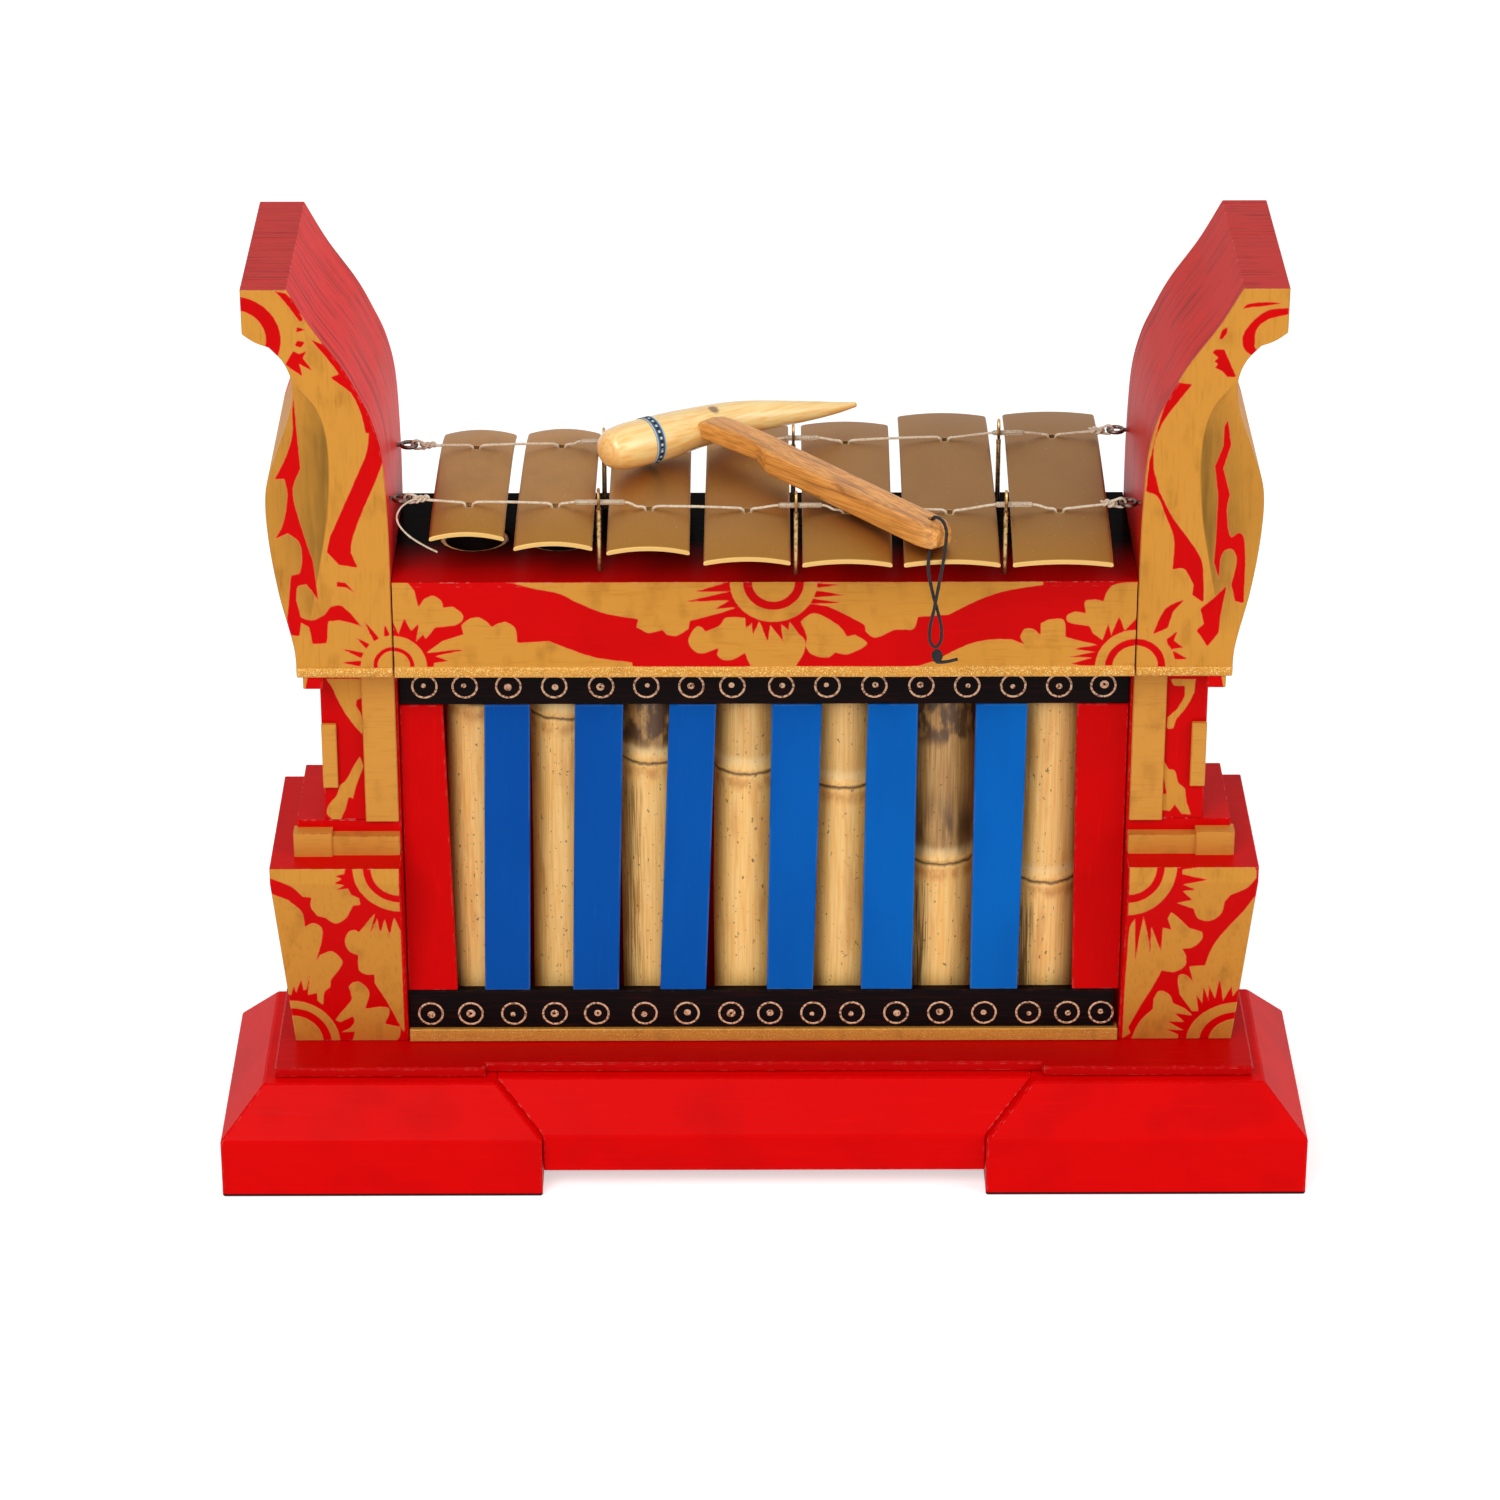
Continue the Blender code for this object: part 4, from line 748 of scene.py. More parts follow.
left_flower = flower(FLOWER_LEFT, 7.5, 9.5, 15.2)
right_flower = flower(FLOWER_RIGHT, 10.5, 14.0, 18.5)
frieze_layers = painted("gold", LEFT_UPPER_LEAF, LEFT_LOW_LEAF, LEFT_LONG_LEAF, CENTRE_LEAF,
                        CENTRE_RIGHT_LEAF, RIGHT_LONG_LEAF, RIGHT_LOW_LEAF, RIGHT_UPPER_LEAF)
frieze_layers += flower(FLOWER_MIDDLE, 9.8, 14.0, 20.0) + left_flower + right_flower
horn_layers = painted("red", HORN_BAND, COVE_BAND, HORN_FLECK, RIDGE_LINE)
horn_layers += flower(HORN_TIP_FLOWER, 14.0, 20.6, 25.0)
horn_layers += painted("red", TIP_LINE, TIP_DASH, TIP_DOT, TIP_STAR)
horn_layers += rays(FLOWER_LEFT, (100, 120, 140, 160, 176), 14.5, 25.0) + left_flower
right_horn_layers = painted("red", RIGHT_BAND, RIGHT_COVE_BAND, RIGHT_DIAMOND, RIGHT_STAR,
                            RIGHT_DROP, RIGHT_TIP_LINE, RIGHT_TIP_RING, RIGHT_RAY_UP,
                            RIGHT_RAY_SIDE, RIGHT_RAY_TOP)
right_horn_layers += right_flower

# %% Layers of the pedestals and necks
INNER_EDGE = [[(172.0, 170)], [(172.4, 156)], [(173.7, 57)], [(168, 57)], [(168, 170)]]
LIP_GOLD = [[(210.5, 268)], [(215, 268)], [(215, 258)], [(212.5, 258)]]


def mirrored(leaf):
    """The same outline on the left side of the case."""
    return [[(-x, z) for x, z in part] for part in leaf]


left_pedestal_layers = painted("gold", PEDESTAL_TOP_LEAF, PEDESTAL_RIGHT_LEAF, PEDESTAL_LEFT_LEAF,
                               PEDESTAL_LOW_LEAF)
left_pedestal_layers += flower((-171.5, 165), 14.0, 17.6, 22.5, 1.15)
left_pedestal_layers += flower((-227, 57), 14.0, 18.0, 22.0, 1.2)
left_pedestal_layers += painted("red", mirrored(INNER_EDGE))
right_pedestal_layers = painted("gold", RIGHT_BLOCK_TOP_LEAF, RIGHT_BLOCK_INNER_LEAF,
                                RIGHT_BLOCK_OUTER_LEAF, RIGHT_BLOCK_BUD, RIGHT_BLOCK_LOW_LEAF)
right_pedestal_layers += flower((172.5, 165.5), 12.6, 16.3, 22.0, 1.34)
right_pedestal_layers += flower((229, 57.5), 13.5, 18.0, 24.3, 0.97)
right_pedestal_layers += painted("red", INNER_EDGE)
left_neck_layers = painted("gold", NECK_UPPER, NECK_LOWER)
right_neck_layers = painted("gold", RIGHT_NECK_UPPER, RIGHT_NECK_LOWER)
left_lip_layers = painted("gold", mirrored(LIP_GOLD))
right_lip_layers = painted("gold", LIP_GOLD)
print(len(frieze_layers), "layers of paint on the frieze")


# %% [markdown]
# ## Distance from the paint's edge
#
# For a closed line the distance is the least distance to any of its sides. Whether a point is
# inside follows from counting the sides that lie to its right: an odd count means inside. Layers
# are then combined in painting order: gold takes the larger of two distances, and red over it the
# smaller of the old one and its own turned negative.


# %% Signed distance
ALL_GOLD = 3.0
ALL_RED = -3.0
PAINT_REACH = 4.0


def distance_inside(points, line):
    """Least distance from each point to the line's sides, positive inside and negative outside."""
    start = line
    side = np.roll(line, -1, axis=0) - start
    to = points[:, None] - start
    share = np.clip((to * side).sum(-1) / np.maximum((side**2).sum(-1), 1e-9), 0, 1)
    least = np.sqrt(((to - share[..., None] * side) ** 2).sum(-1)).min(axis=1)
    end_z = start[:, 1] + side[:, 1]
    spans = (start[:, 1] > points[:, 1:]) != (end_z > points[:, 1:])
    slope = side[:, 0] / np.where(side[:, 1] == 0, 1e-9, side[:, 1])
    crossing = start[:, 0] + (points[:, 1:] - start[:, 1]) * slope
    inside = (spans & (points[:, :1] < crossing)).sum(axis=1) % 2 == 1
    return np.where(inside, least, -least)


def paint_distance(x, z, layers, ground):
    """Distance from the nearest edge of gold paint, over a ground that is all gold or all red."""
    points = np.column_stack([x.ravel(), z.ravel()])
    field = np.full(len(points), ground)
    for paint, line in layers:
        low = line.min(axis=0) - PAINT_REACH
        high = line.max(axis=0) + PAINT_REACH
        close = np.all((points > low) & (points < high), axis=1)
        if not close.any():
            continue
        own = distance_inside(points[close], line)
        if paint == "gold":
            field[close] = np.maximum(field[close], own)
        else:
            field[close] = np.minimum(field[close], -own)
    return np.clip(field, ALL_RED, ALL_GOLD).reshape(x.shape)


square = np.array([(0, 0), (2, 0), (2, 2), (0, 2)], float)
print("middle of a 2 mm square is", distance_inside(np.array([[1.0, 1.0]]), square)[0], "mm inside")

# %% [markdown]
# ## Red, gold, blue and black paint
#
# House paint on soft wood is never one flat colour: the brush leaves fine ridges along the board,
# thin places let the grain show, and corners that get knocked lose their paint. Each finish
# is built from noise stretched along the board, and from the rounded edge's own lean for the wear.
# Some also carry painted light: shade over the floor, on the plate, in the horns' hollows and on
# the lid under the bars, a sheen on the horns' side faces and glints in the gold.

# %% Paint finishes
RED = rgb(222, 1, 2)
RED_BOARD = rgb(207, 1, 3)
RED_DEEP = rgb(184, 1, 4)
RED_THIN = rgb(232, 10, 8)
# a darker copy of the base red for the plate: painted shade
RED_PLATE_SHADED = rgb(190, 1, 3)
# painted sheen: the horns' side red on the left, on the right and on faces that look up
RED_SHEEN = rgb(240, 46, 42)
RED_SHEEN_RIGHT = rgb(206, 30, 18)
RED_SHEEN_TOP = rgb(196, 50, 44)
RED_GOUGED = rgb(104, 8, 16)
RED_SHADE = rgb(36, 4, 4)
GOLD = rgb(206, 142, 56)
GOLD_DEEP = rgb(160, 102, 36)
GOLD_SHADE = rgb(132, 94, 38)
GOLD_EDGE = rgb(226, 122, 74)
# painted glints of the powder in gold paint
GOLD_GLINT = rgb(246, 214, 140)
# painted glints on the bead
BEAD_GLINT = rgb(250, 224, 150)
BLUE_LEFT = rgb(1, 76, 162)
BLUE_RIGHT = rgb(1, 100, 188)
BLUE_DEEP = rgb(1, 66, 148)
BLUE_THIN = rgb(16, 104, 190)
BLUE_EDGE_PALE = rgb(120, 170, 215)
BLACK_PAINT = rgb(12, 3, 4)
BLACK_THIN = rgb(34, 10, 9)
BLACK_WORN = rgb(120, 70, 60)
# the lid's painted shade, its streaks, and the lid's own red
LID_SHADE = rgb(8, 0, 1)
LID_SHADE_STREAKS = rgb(30, 2, 4)
LID_RED = rgb(200, 8, 10)
CHIP = rgb(236, 190, 176)
GRAIN_ALONG = {"X": (14, 1, 1), "Y": (1, 14, 1), "Z": (1, 1, 14)}


def red_color(finish, place, along, red=RED_BOARD):
    """Brushed red: fine streaks along the board over slow patches."""
    stretch = GRAIN_ALONG[along]
    streaks = finish.noise(place, 2.2, stretch, 4.0)
    patches = finish.noise(place, 38.0, (1, 1, 1), 2.0, 5.0)
    color = finish.mix(patches.step(0.42, 0.7) * 0.35, red, RED_DEEP)
    return finish.mix(streaks.step(0.56, 0.74) * 0.3, color, RED_THIN), streaks


def facing(finish, axis, start, end, sign=1):
    """0 to 1 as the surface turns from leaning 'start' to 'end' along an axis, or against it."""
    normal = finish.node("ShaderNodeNewGeometry", output="Normal")
    return (sign * finish.axis(normal, axis)).step(start, end)


def gouged_red_with_painted_sheen(finish, place):
    """Red of the horns' curved faces, with painted sheen: pinker than the fronts, weaker on the right
    horn and another tone on faces that look up. Dark lines that the gouge left run along the curve,
    so they change only from front to back."""
    gouges = finish.noise(place, 1.5, (50, 1, 50), 3.0, 7.0)
    cloud = finish.noise(place, 16.0, (1, 1, 1.5), 3.0, 2.0)
    # painted sheen on the horns' side faces, weaker on the right horn, another tone where faces look
    # up
    painted_sheen = finish.mix(finish.axis(place, "X").step(-120, 120), RED_SHEEN, RED_SHEEN_RIGHT)
    painted_sheen = finish.mix(facing(finish, "Z", 0.75, 0.9), painted_sheen, RED_SHEEN_TOP)
    color = finish.mix(finish.noise(place, 4.0, (14, 1, 14), 4.0).step(0.5, 0.7) * 0.4, painted_sheen, RED)
    return finish.mix(gouges.step(0.5, 0.66) * cloud.step(0.34, 0.58) * 0.65, color, RED_GOUGED)


def gold_color(finish, place, along="X"):
    """Ochre gold with darker places where it was brushed thin, and streaks along the brush."""
    thin = finish.noise(place, 9.0, (1, 1, 2), 4.0, 3.0)
    streaks = finish.noise(place, 1.1, GRAIN_ALONG[along], 3.0, 8.0)
    return finish.mix(thin.step(0.5, 0.78) * 0.45 + streaks.step(0.5, 0.8) * 0.35, GOLD, GOLD_DEEP)


def chips(finish, place, radius=1.0):
    """Where edges are bare: near a sharp edge, broken up by noise."""
    broken = finish.noise(place, 3.2, (1, 1, 1), 5.0, 11.0)
    return finish.edge(radius).step(0.06, 0.16) * broken.step(0.52, 0.6)


def red_paint(name, along, red):
    """Red boards with chipped edges, and painted shade in the last two millimetres over the floor."""
    finish = Finish(name, specular_ior_level=0.04)
    place = finish.place()
    color, streaks = red_color(finish, place, along, red)
    bare = chips(finish, place) * 0.35
    # painted shade where the board meets the floor
    floor = finish.axis(place, "Z").step(2.0, 1.3)
    color = finish.mix(floor, finish.mix(bare, color, CHIP), RED_SHADE)
    return finish.show(base_color=color, roughness=0.34 + 0.14 * streaks,
                       normal=finish.bump(streaks, 0.12))


def gold_paint(name, glints=0.0):
    """Gold strips; the second argument is how much the powder in the paint glints: painted glints in
    the colour, with a little more metal and bump there.
    """
    finish = Finish(name, specular_ior_level=0.2)
    place = finish.place()
    color = gold_color(finish, place)
    fine = finish.noise(place, 0.5, (1, 1, 1), 2.0, 2.0)
    # painted glints of the powder in the paint
    color = finish.mix(fine.step(0.55, 0.75) * glints, color, GOLD_GLINT)
    edge_marks = chips(finish, place, 0.8)
    return finish.show(base_color=finish.mix(edge_marks, color, RED_DEEP),
                       metallic=0.25 + 0.3 * glints * fine, roughness=0.46 + 0.12 * fine,
                       normal=finish.bump(fine, 0.08 + 0.2 * glints))


def scroll_paint(name, along, painted_sheen=False):
    """Gold leaves on red, cut at zero from the attribute 'gold', with a pale line at each edge.

    With the third argument true, faces that don't look to the front get the horns' red with painted
    sheen, and the attribute 'cove' paints shade into the gold of the hollow.
    """
    finish = Finish(name, specular_ior_level=0.05)
    place = finish.place()
    red, streaks = red_color(finish, place, along)
    gold = gold_color(finish, place, along)
    if painted_sheen:
        # faces that turn away from the front get the red with painted sheen
        red = finish.mix(facing(finish, "Y", 0.35, 0.6, -1), gouged_red_with_painted_sheen(finish, place), red)
        # painted shade in the horn's hollow, from the attribute 'cove', broken into streaks
        cove_streaks = finish.noise(place, 3.0, (1, 1, 9), 3.0, 4.0)
        gold = finish.mix(finish.attribute("cove") * (0.55 + cove_streaks), gold, GOLD_SHADE)
    wobble = finish.noise(place, 2.4, (1, 1, 1), 2.0, 6.0)
    reach = finish.attribute("gold") + (wobble - 0.5) * 0.5
    mask = reach.step(-0.1, 0.1)
    rim = reach.near(0.05, 0.38)
    color = finish.mix(rim * 0.55, finish.mix(mask, red, gold), GOLD_EDGE)
    bead = finish.attribute("bead")
    fine = finish.noise(place, 0.55, (1, 1, 1), 2.0, 2.0)
    # painted glints on the bead
    color = finish.mix(bead * fine.step(0.5, 0.7) * 0.8, color, BEAD_GLINT)
    color = finish.mix(chips(finish, place, 0.8) * 0.4, color, CHIP)
    return finish.show(base_color=color, roughness=0.38 + 0.1 * streaks + 0.06 * mask,
                       metallic=mask * 0.22 + bead * 0.25,
                       normal=finish.bump(streaks * 0.1 + mask * 0.16 + bead * fine * 0.3, 1.0))


def blue_paint(name):
    """Blue boards, a little lighter from left to right, with a pale line down their edges."""
    finish = Finish(name, specular_ior_level=0.05)
    place = finish.place()
    streaks = finish.noise(place, 1.6, GRAIN_ALONG["Z"], 3.0)
    patches = finish.noise(place, 30.0, (1, 1, 3), 2.0, 4.0)
    color = finish.mix(finish.axis(place, "X").step(-130, 130), BLUE_LEFT, BLUE_RIGHT)
    color = finish.mix(patches.step(0.35, 0.7) * 0.25, color, BLUE_DEEP)
    color = finish.mix(streaks.step(0.58, 0.8) * 0.25, color, BLUE_THIN)
    patchy = finish.noise(place, 9.0, (1, 1, 4), 3.0).step(0.4, 0.55)
    edge_marks = finish.edge(0.8).step(0.05, 0.16) * patchy
    return finish.show(base_color=finish.mix(edge_marks * 0.7, color, BLUE_EDGE_PALE),
                       roughness=0.38 + 0.12 * streaks, normal=finish.bump(streaks, 0.1))


def black_paint(name):
    """Black rails, brushed along, with brown wood at their worn edges."""
    finish = Finish(name, specular_ior_level=0.05)
    place = finish.place()
    streaks = finish.noise(place, 1.6, GRAIN_ALONG["X"], 3.0)
    color = finish.mix(streaks.step(0.45, 0.75), BLACK_PAINT, BLACK_THIN)
    bare = chips(finish, place) * 0.5
    return finish.show(base_color=finish.mix(bare, color, BLACK_WORN),
                       roughness=0.4 + 0.1 * streaks, normal=finish.bump(streaks, 0.1))


def lid_red_under_painted_shade(name):
    """The lid: smooth red paint under painted shade, near-black under the bars and red again towards
    its front edge.
    """
    finish = Finish(name, specular_ior_level=0.003)
    place = finish.place()
    streaks = finish.noise(place, 2.0, GRAIN_ALONG["X"], 3.0)
    patchy = finish.noise(place, 24.0, (2, 1, 1), 3.0, 5.0)
    # painted shade: near-black under the bars, giving way to the lid's red towards the front edge
    near = (finish.axis(place, "Y") + 12 * (patchy - 0.5)).step(-4, -50)
    color = finish.mix(streaks.step(0.45, 0.75), LID_SHADE, LID_SHADE_STREAKS)
    color = finish.mix(near, color, LID_RED)
    return finish.show(base_color=color, roughness=0.14 + 0.1 * streaks,
                       normal=finish.bump(streaks, 0.04))


RED_X = red_paint("red_paint_along", "X", RED)
RED_PLATE_SHADED_X = red_paint("red_paint_plate", "X", RED_PLATE_SHADED)
RED_Z = red_paint("red_paint_upright", "Z", RED_BOARD)
GOLD_BAR = gold_paint("gold_paint")
GOLD_BEAD = gold_paint("gold_bead", 1.0)
BLUE = blue_paint("blue_paint")
BLACK = black_paint("black_paint")
LID = lid_red_under_painted_shade("lid_lacquer")
SCROLL_X = scroll_paint("scroll_paint_along", "X")
SCROLL_Z = scroll_paint("scroll_paint_upright", "Z")
SCROLL_HORN = scroll_paint("scroll_paint_horn", "Z", True)
print("paints:", RED_X.name, GOLD_BAR.name, BLUE.name, BLACK.name)

# %% [markdown]
# ## Boards that keep their solid
#
# Plain boards are already right in the model, so they only get a finish. The base runs along the
# case, so its grain does too, and the upright boards have theirs upright.


# %% Dress the plain boards
def dress(finish, *names):
    for name in names:
        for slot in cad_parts[name].material_slots:
            slot.material = finish
    return len(names)


dressed = dress(RED_X, "base_middle", "foot_left", "foot_right", "frieze_back", "back_panel")
# the plate under the pedestals gets the darker red, as painted shade
dressed += dress(RED_PLATE_SHADED_X, "base_plate")
dressed += dress(RED_Z, "red_board_left", "red_board_right")
dressed += dress(BLUE, *[f"blue_board_{number}" for number in range(1, 7)])
dressed += dress(BLACK, "rail_upper", "rail_lower")
dressed += dress(GOLD_BAR, "batten_inner_left", "batten_inner_right", "batten_outer_left",
                 "batten_outer_right")
dressed += dress(GOLD_BEAD, "bead_lower")
dressed += dress(LID, "top_board")
print(dressed, "nodes keep their solid")


# %% [markdown]
# ## Upright bodies with a painted front
#
# Frieze, horns, necks and pedestals are all upright blocks whose front carries paint. Each is a
# stack of levels, and each level is a rectangle with broken corners whose front wall has a point
# about every 0.8 mm for the paint. Sizes may change from level to level, which gives the pedestals
# their flare and the horns their curl.


# %% Body from levels
STEP = 0.8
BROKEN = 0.5
SIDE_POINTS = 14
BACK_POINTS = 12
SIDE_CROWDING = 1.6
CORNER_GOLD = 0.7
FAR_ROUND = 99.0
END_SHRINK = 0.004


def spread(count):
    return np.linspace(0, 1, count)[None, :]


def upright(z, x0, x1, front, back, shares, relief=0.0):
    """Rings of points, one for each level z: along the front from x0 to x1 by 'shares', round the
    right side, along the back and round the left side. 'relief' sinks the front at each share.

    Gives the points, and how far each lies round the corner from the front wall.
    """
    z, x0, x1, front, back = (np.broadcast_to(value, len(z))[:, None].astype(float)
                              for value in (z, x0, x1, front, back))
    shares = np.broadcast_to(shares, (len(z), shares.shape[1]))
    relief = np.broadcast_to(relief, shares.shape)
    wall_x = x0 + BROKEN + shares * (x1 - x0 - 2 * BROKEN)
    wall_y = front + relief
    right_front = wall_y[:, -1:] + BROKEN
    left_front = wall_y[:, :1] + BROKEN
    deep = spread(SIDE_POINTS)
    back_x = x1 - BROKEN - spread(BACK_POINTS) * (x1 - x0 - 2 * BROKEN)
    right_y = right_front + deep**SIDE_CROWDING * (back - BROKEN - right_front)
    left_y = back - BROKEN + (1 - (1 - deep) ** SIDE_CROWDING) * (left_front - back + BROKEN)
    x = np.hstack([wall_x, x1 + 0 * right_y, back_x, x0 + 0 * left_y])
    y = np.hstack([wall_y, right_y, back + 0 * back_x, left_y])
    points = np.stack([x, y, z + 0 * x], axis=-1)
    round_corner = np.hstack([0 * wall_x, BROKEN + right_y - right_front, FAR_ROUND + 0 * back_x,
                              BROKEN + left_y - left_front])
    return points, round_corner


def plain_ends(points, **values):
    """Repeats the first and last ring, a little smaller, and clears their paint, so that the faces
    over and under a block stay plain: p -> p + shrink (middle - p)."""
    low, high = (ring + END_SHRINK * (ring.mean(axis=1, keepdims=True) - ring)
                 for ring in (points[:1], points[-1:]))
    ends = {name: np.full((1, points.shape[1]), level) for name, level in
            (("gold", ALL_RED), ("bead", 0.0), ("cove", 0.0))}
    return (np.vstack([low, points, high]),
            {name: np.vstack([ends[name], value, ends[name]]) for name, value in values.items()})


def levels_between(low, high):
    return np.linspace(low, high, int((high - low) / STEP) + 2)


def front_paint(points, round_corner, layers, ground):
    """Paint on the front wall, which turns red just round each corner."""
    gold = paint_distance(points[..., 0], points[..., 2], layers, ground)
    return np.where(round_corner > 0, np.minimum(gold, CORNER_GOLD - round_corner), gold)


print("a front wall has a point every", STEP, "mm")

# %% [markdown]
# ## Frieze
#
# The deep rail under the lid carries the middle flower, with a half-round bead below it. Here the
# rows run along the rail, and the columns follow its section: down the front, round the bead, along
# the bottom and up the back.

# %% Frieze front
CASE_HALF = 171.1
FRIEZE_JOINT = 0.35
CASE_DEPTH = 51.85
BRACKET_BOTTOM = 265.0
BOARD_TOP = 313.1
FRIEZE_THICK = 6.0
FRIEZE_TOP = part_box("frieze_front")[1].z / MM
BEAD_HEIGHT = 5.0
BEAD_PROUD = 0.8
BEAD_POINTS = 10
SKIN_FRONT = -0.3
SKIN_BACK = -0.05


def frieze_section():
    """The rail's section as y and height: flat front, bead, bottom and back.

    The bead is y = front - proud sqrt(sin t). The paint also covers the lid's front edge, so a thin
    skin rises over it to the lid's top.
    """
    down = np.linspace(BOARD_TOP - 0.1, BRACKET_BOTTOM + BEAD_HEIGHT, 60)
    t = np.linspace(0, np.pi, BEAD_POINTS + 1)[1:]
    bead_z = BRACKET_BOTTOM + BEAD_HEIGHT * (1 + np.cos(t)) / 2
    bead_y = -CASE_DEPTH - BEAD_PROUD * np.sqrt(np.clip(np.sin(t), 0, 1))
    back = FRIEZE_THICK - CASE_DEPTH
    up = np.linspace(BRACKET_BOTTOM, FRIEZE_TOP, 8)
    skin = SKIN_BACK - CASE_DEPTH
    y = np.concatenate([SKIN_FRONT - CASE_DEPTH + 0 * down, bead_y, back + 0 * up, [skin, skin]])
    z = np.concatenate([down, bead_z, up, [FRIEZE_TOP, BOARD_TOP]])
    return y, z, len(down)


def make_frieze():
    y, z, front_count = frieze_section()
    half = CASE_HALF - FRIEZE_JOINT
    x = np.linspace(-half, half, int(2 * half / STEP))[:, None]
    swell = 0.18 * np.sin(x / 41.0) * np.sin(x / 17.0 + 1.0)
    points = np.stack(np.broadcast_arrays(x, y + swell, z), axis=-1)
    gold = paint_distance(points[..., 0], points[..., 2], frieze_layers, ALL_RED)
    column = np.arange(len(z))
    bead = (column >= front_count - 1) & (column < front_count + BEAD_POINTS)
    gold = np.where(column < front_count, gold, ALL_RED)
    gold = np.where(bead, ALL_GOLD, gold)
    mesh = closed_grid("frieze_front_carved", points,
                       {"gold": gold, "bead": np.broadcast_to(bead.astype(float), gold.shape)})
    return add_piece("frieze_front_carved", mesh, SCROLL_X, "root", ["frieze_front"])


frieze = make_frieze()
print("frieze has", len(frieze.data.polygons), "faces")

# %% [markdown]
# ## Horned posts
#
# Each end of the case is one plank: a neck below, a bracket beside the frieze, and a horn that
# curls outwards over it. Seen from the front, two smooth outlines give its inner and outer edge,
# and a third the ridge between a flat face and a hollow cove. The horn's front leans a little
# forward as it rises. The curl's underside is where the outer outline jumps out to the tip.

# %% Horn outlines, as distance out from the case and height over the bracket's bottom
HORN_INNER_X = 171.4
HORN_OUTER = [(44.6, 0), (45.6, 16), (51.6, 42), (55.4, 70), (55.4, 93), (49.6, 112), (43.1, 131),
              (41.0, 146), (44.1, 157), (51.1, 165.5)]
HORN_INNER = [(0, 0), (0, 48), (0.3, 80), (1.8, 110), (5.6, 128), (11.1, 141), (18.6, 155.5),
              (31.6, 174.5), (41.8, 192.9)]
RIDGE = [(41.6, 0), (37.1, 30), (31.1, 60), (27.2, 82), (25.6, 105), (26.8, 123), (30.6, 135),
         (36.6, 143), (40.9, 148)]
HORN_HEIGHT = 192.9
TIP_REACH = 62.4
TIP_BOTTOM = 171.5
TIP_START = 165.5
LID_RISE = 48.1
HORN_FLARE = 5.55
COVE_DEPTH = 3.6
COVE_STARTS = (20, 70)
COVE_ENDS = (120, 147)
OUTER_GOLD = 7.0
OUTER_GOLD_HIGH = 190.0
OUTER_GOLD_WIDENS = (70, 96)
RIDGE_MARGIN = 2.5
BACK_MARGIN = 1.5
FACE_POINTS = 48
COVE_POINTS = 34


def outline_at(points, rise):
    curve = smooth(points, 12)
    return np.interp(rise, curve[:, 1], curve[:, 0])


def ramp(value, low, high):
    return np.clip((value - low) / (high - low), 0, 1)


def make_horn(side, word, layers):
    """Levels from the bracket's bottom to the tip; x = side (inner x + distance out).

    The front's gold runs round the outer corner, a little way below and to the back above.
    """
    bead = BEAD_HEIGHT * (1 - np.cos(np.linspace(0, np.pi, 9))) / 2
    rise = np.concatenate([bead, levels_between(BEAD_HEIGHT, HORN_HEIGHT)[1:]])
    inner = outline_at(HORN_INNER, rise)
    outer = outline_at(HORN_OUTER, np.minimum(rise, TIP_START))
    outer = outer + ramp(rise, TIP_START, TIP_BOTTOM) ** 0.6 * (TIP_REACH - outer)
    ridge = np.clip(outline_at(RIDGE, rise), inner + RIDGE_MARGIN, outer - RIDGE_MARGIN)
    ridge_share = ((ridge - inner) / (outer - inner))[:, None]
    shares = np.hstack([spread(FACE_POINTS)[:, :-1] * ridge_share,
                        ridge_share + spread(COVE_POINTS) * (1 - ridge_share)])
    across = np.clip((shares - ridge_share) / (1 - ridge_share), 0, 1)
    deepen = (ramp(rise, *COVE_STARTS) * (1 - ramp(rise, *COVE_ENDS))) ** 0.7
    relief = COVE_DEPTH * deepen[:, None] * (1 - (1 - across) ** 3)
    is_low = rise < BEAD_HEIGHT
    swell = np.sqrt(np.clip(np.sin(np.pi * rise / BEAD_HEIGHT), 0, 1))
    proud = BEAD_PROUD * np.where(is_low, swell, 0)
    depth = CASE_DEPTH + ramp(rise, LID_RISE, HORN_HEIGHT) * HORN_FLARE
    points, corner = upright(BRACKET_BOTTOM + rise, HORN_INNER_X + inner, HORN_INNER_X + outer,
                             -depth - proud, depth, shares, relief)
    points[..., 0] *= side
    outer_side = np.arange(corner.shape[1])[None, :] >= shares.shape[1]
    outer_side = outer_side & (points[..., 1] < depth[:, None] - BACK_MARGIN)
    outer_side = outer_side & (np.abs(points[..., 0]) > HORN_INNER_X + ridge[:, None])
    reach = OUTER_GOLD + (OUTER_GOLD_HIGH - OUTER_GOLD) * ramp(rise, *OUTER_GOLD_WIDENS)[:, None]
    gold = front_paint(points, np.where(outer_side, corner - reach, corner), layers, ALL_GOLD)
    is_bead = np.broadcast_to(is_low[:, None], gold.shape)
    gold = np.where(is_bead, np.minimum(ALL_GOLD, CORNER_GOLD - corner), gold)
    # 'cove': how much painted shade the gold gets in the hollow, most next to the ridge
    cove = np.zeros(corner.shape)
    cove[:, :shares.shape[1]] = deepen[:, None] * np.where(
        across > 0, 0.25 + 0.6 * (1 - across) ** 1.5, 0)
    name = "post_horn_" + word
    points, values = plain_ends(points, gold=gold, bead=(is_bead & (corner == 0)).astype(float),
                                cove=cove)
    return add_piece(name, closed_grid(name, points, values), SCROLL_HORN, "root",
                     ["post_" + word])


horns = [make_horn(-1, "left", horn_layers), make_horn(1, "right", right_horn_layers)]
print("each horn has", len(horns[0].data.polygons), "faces")


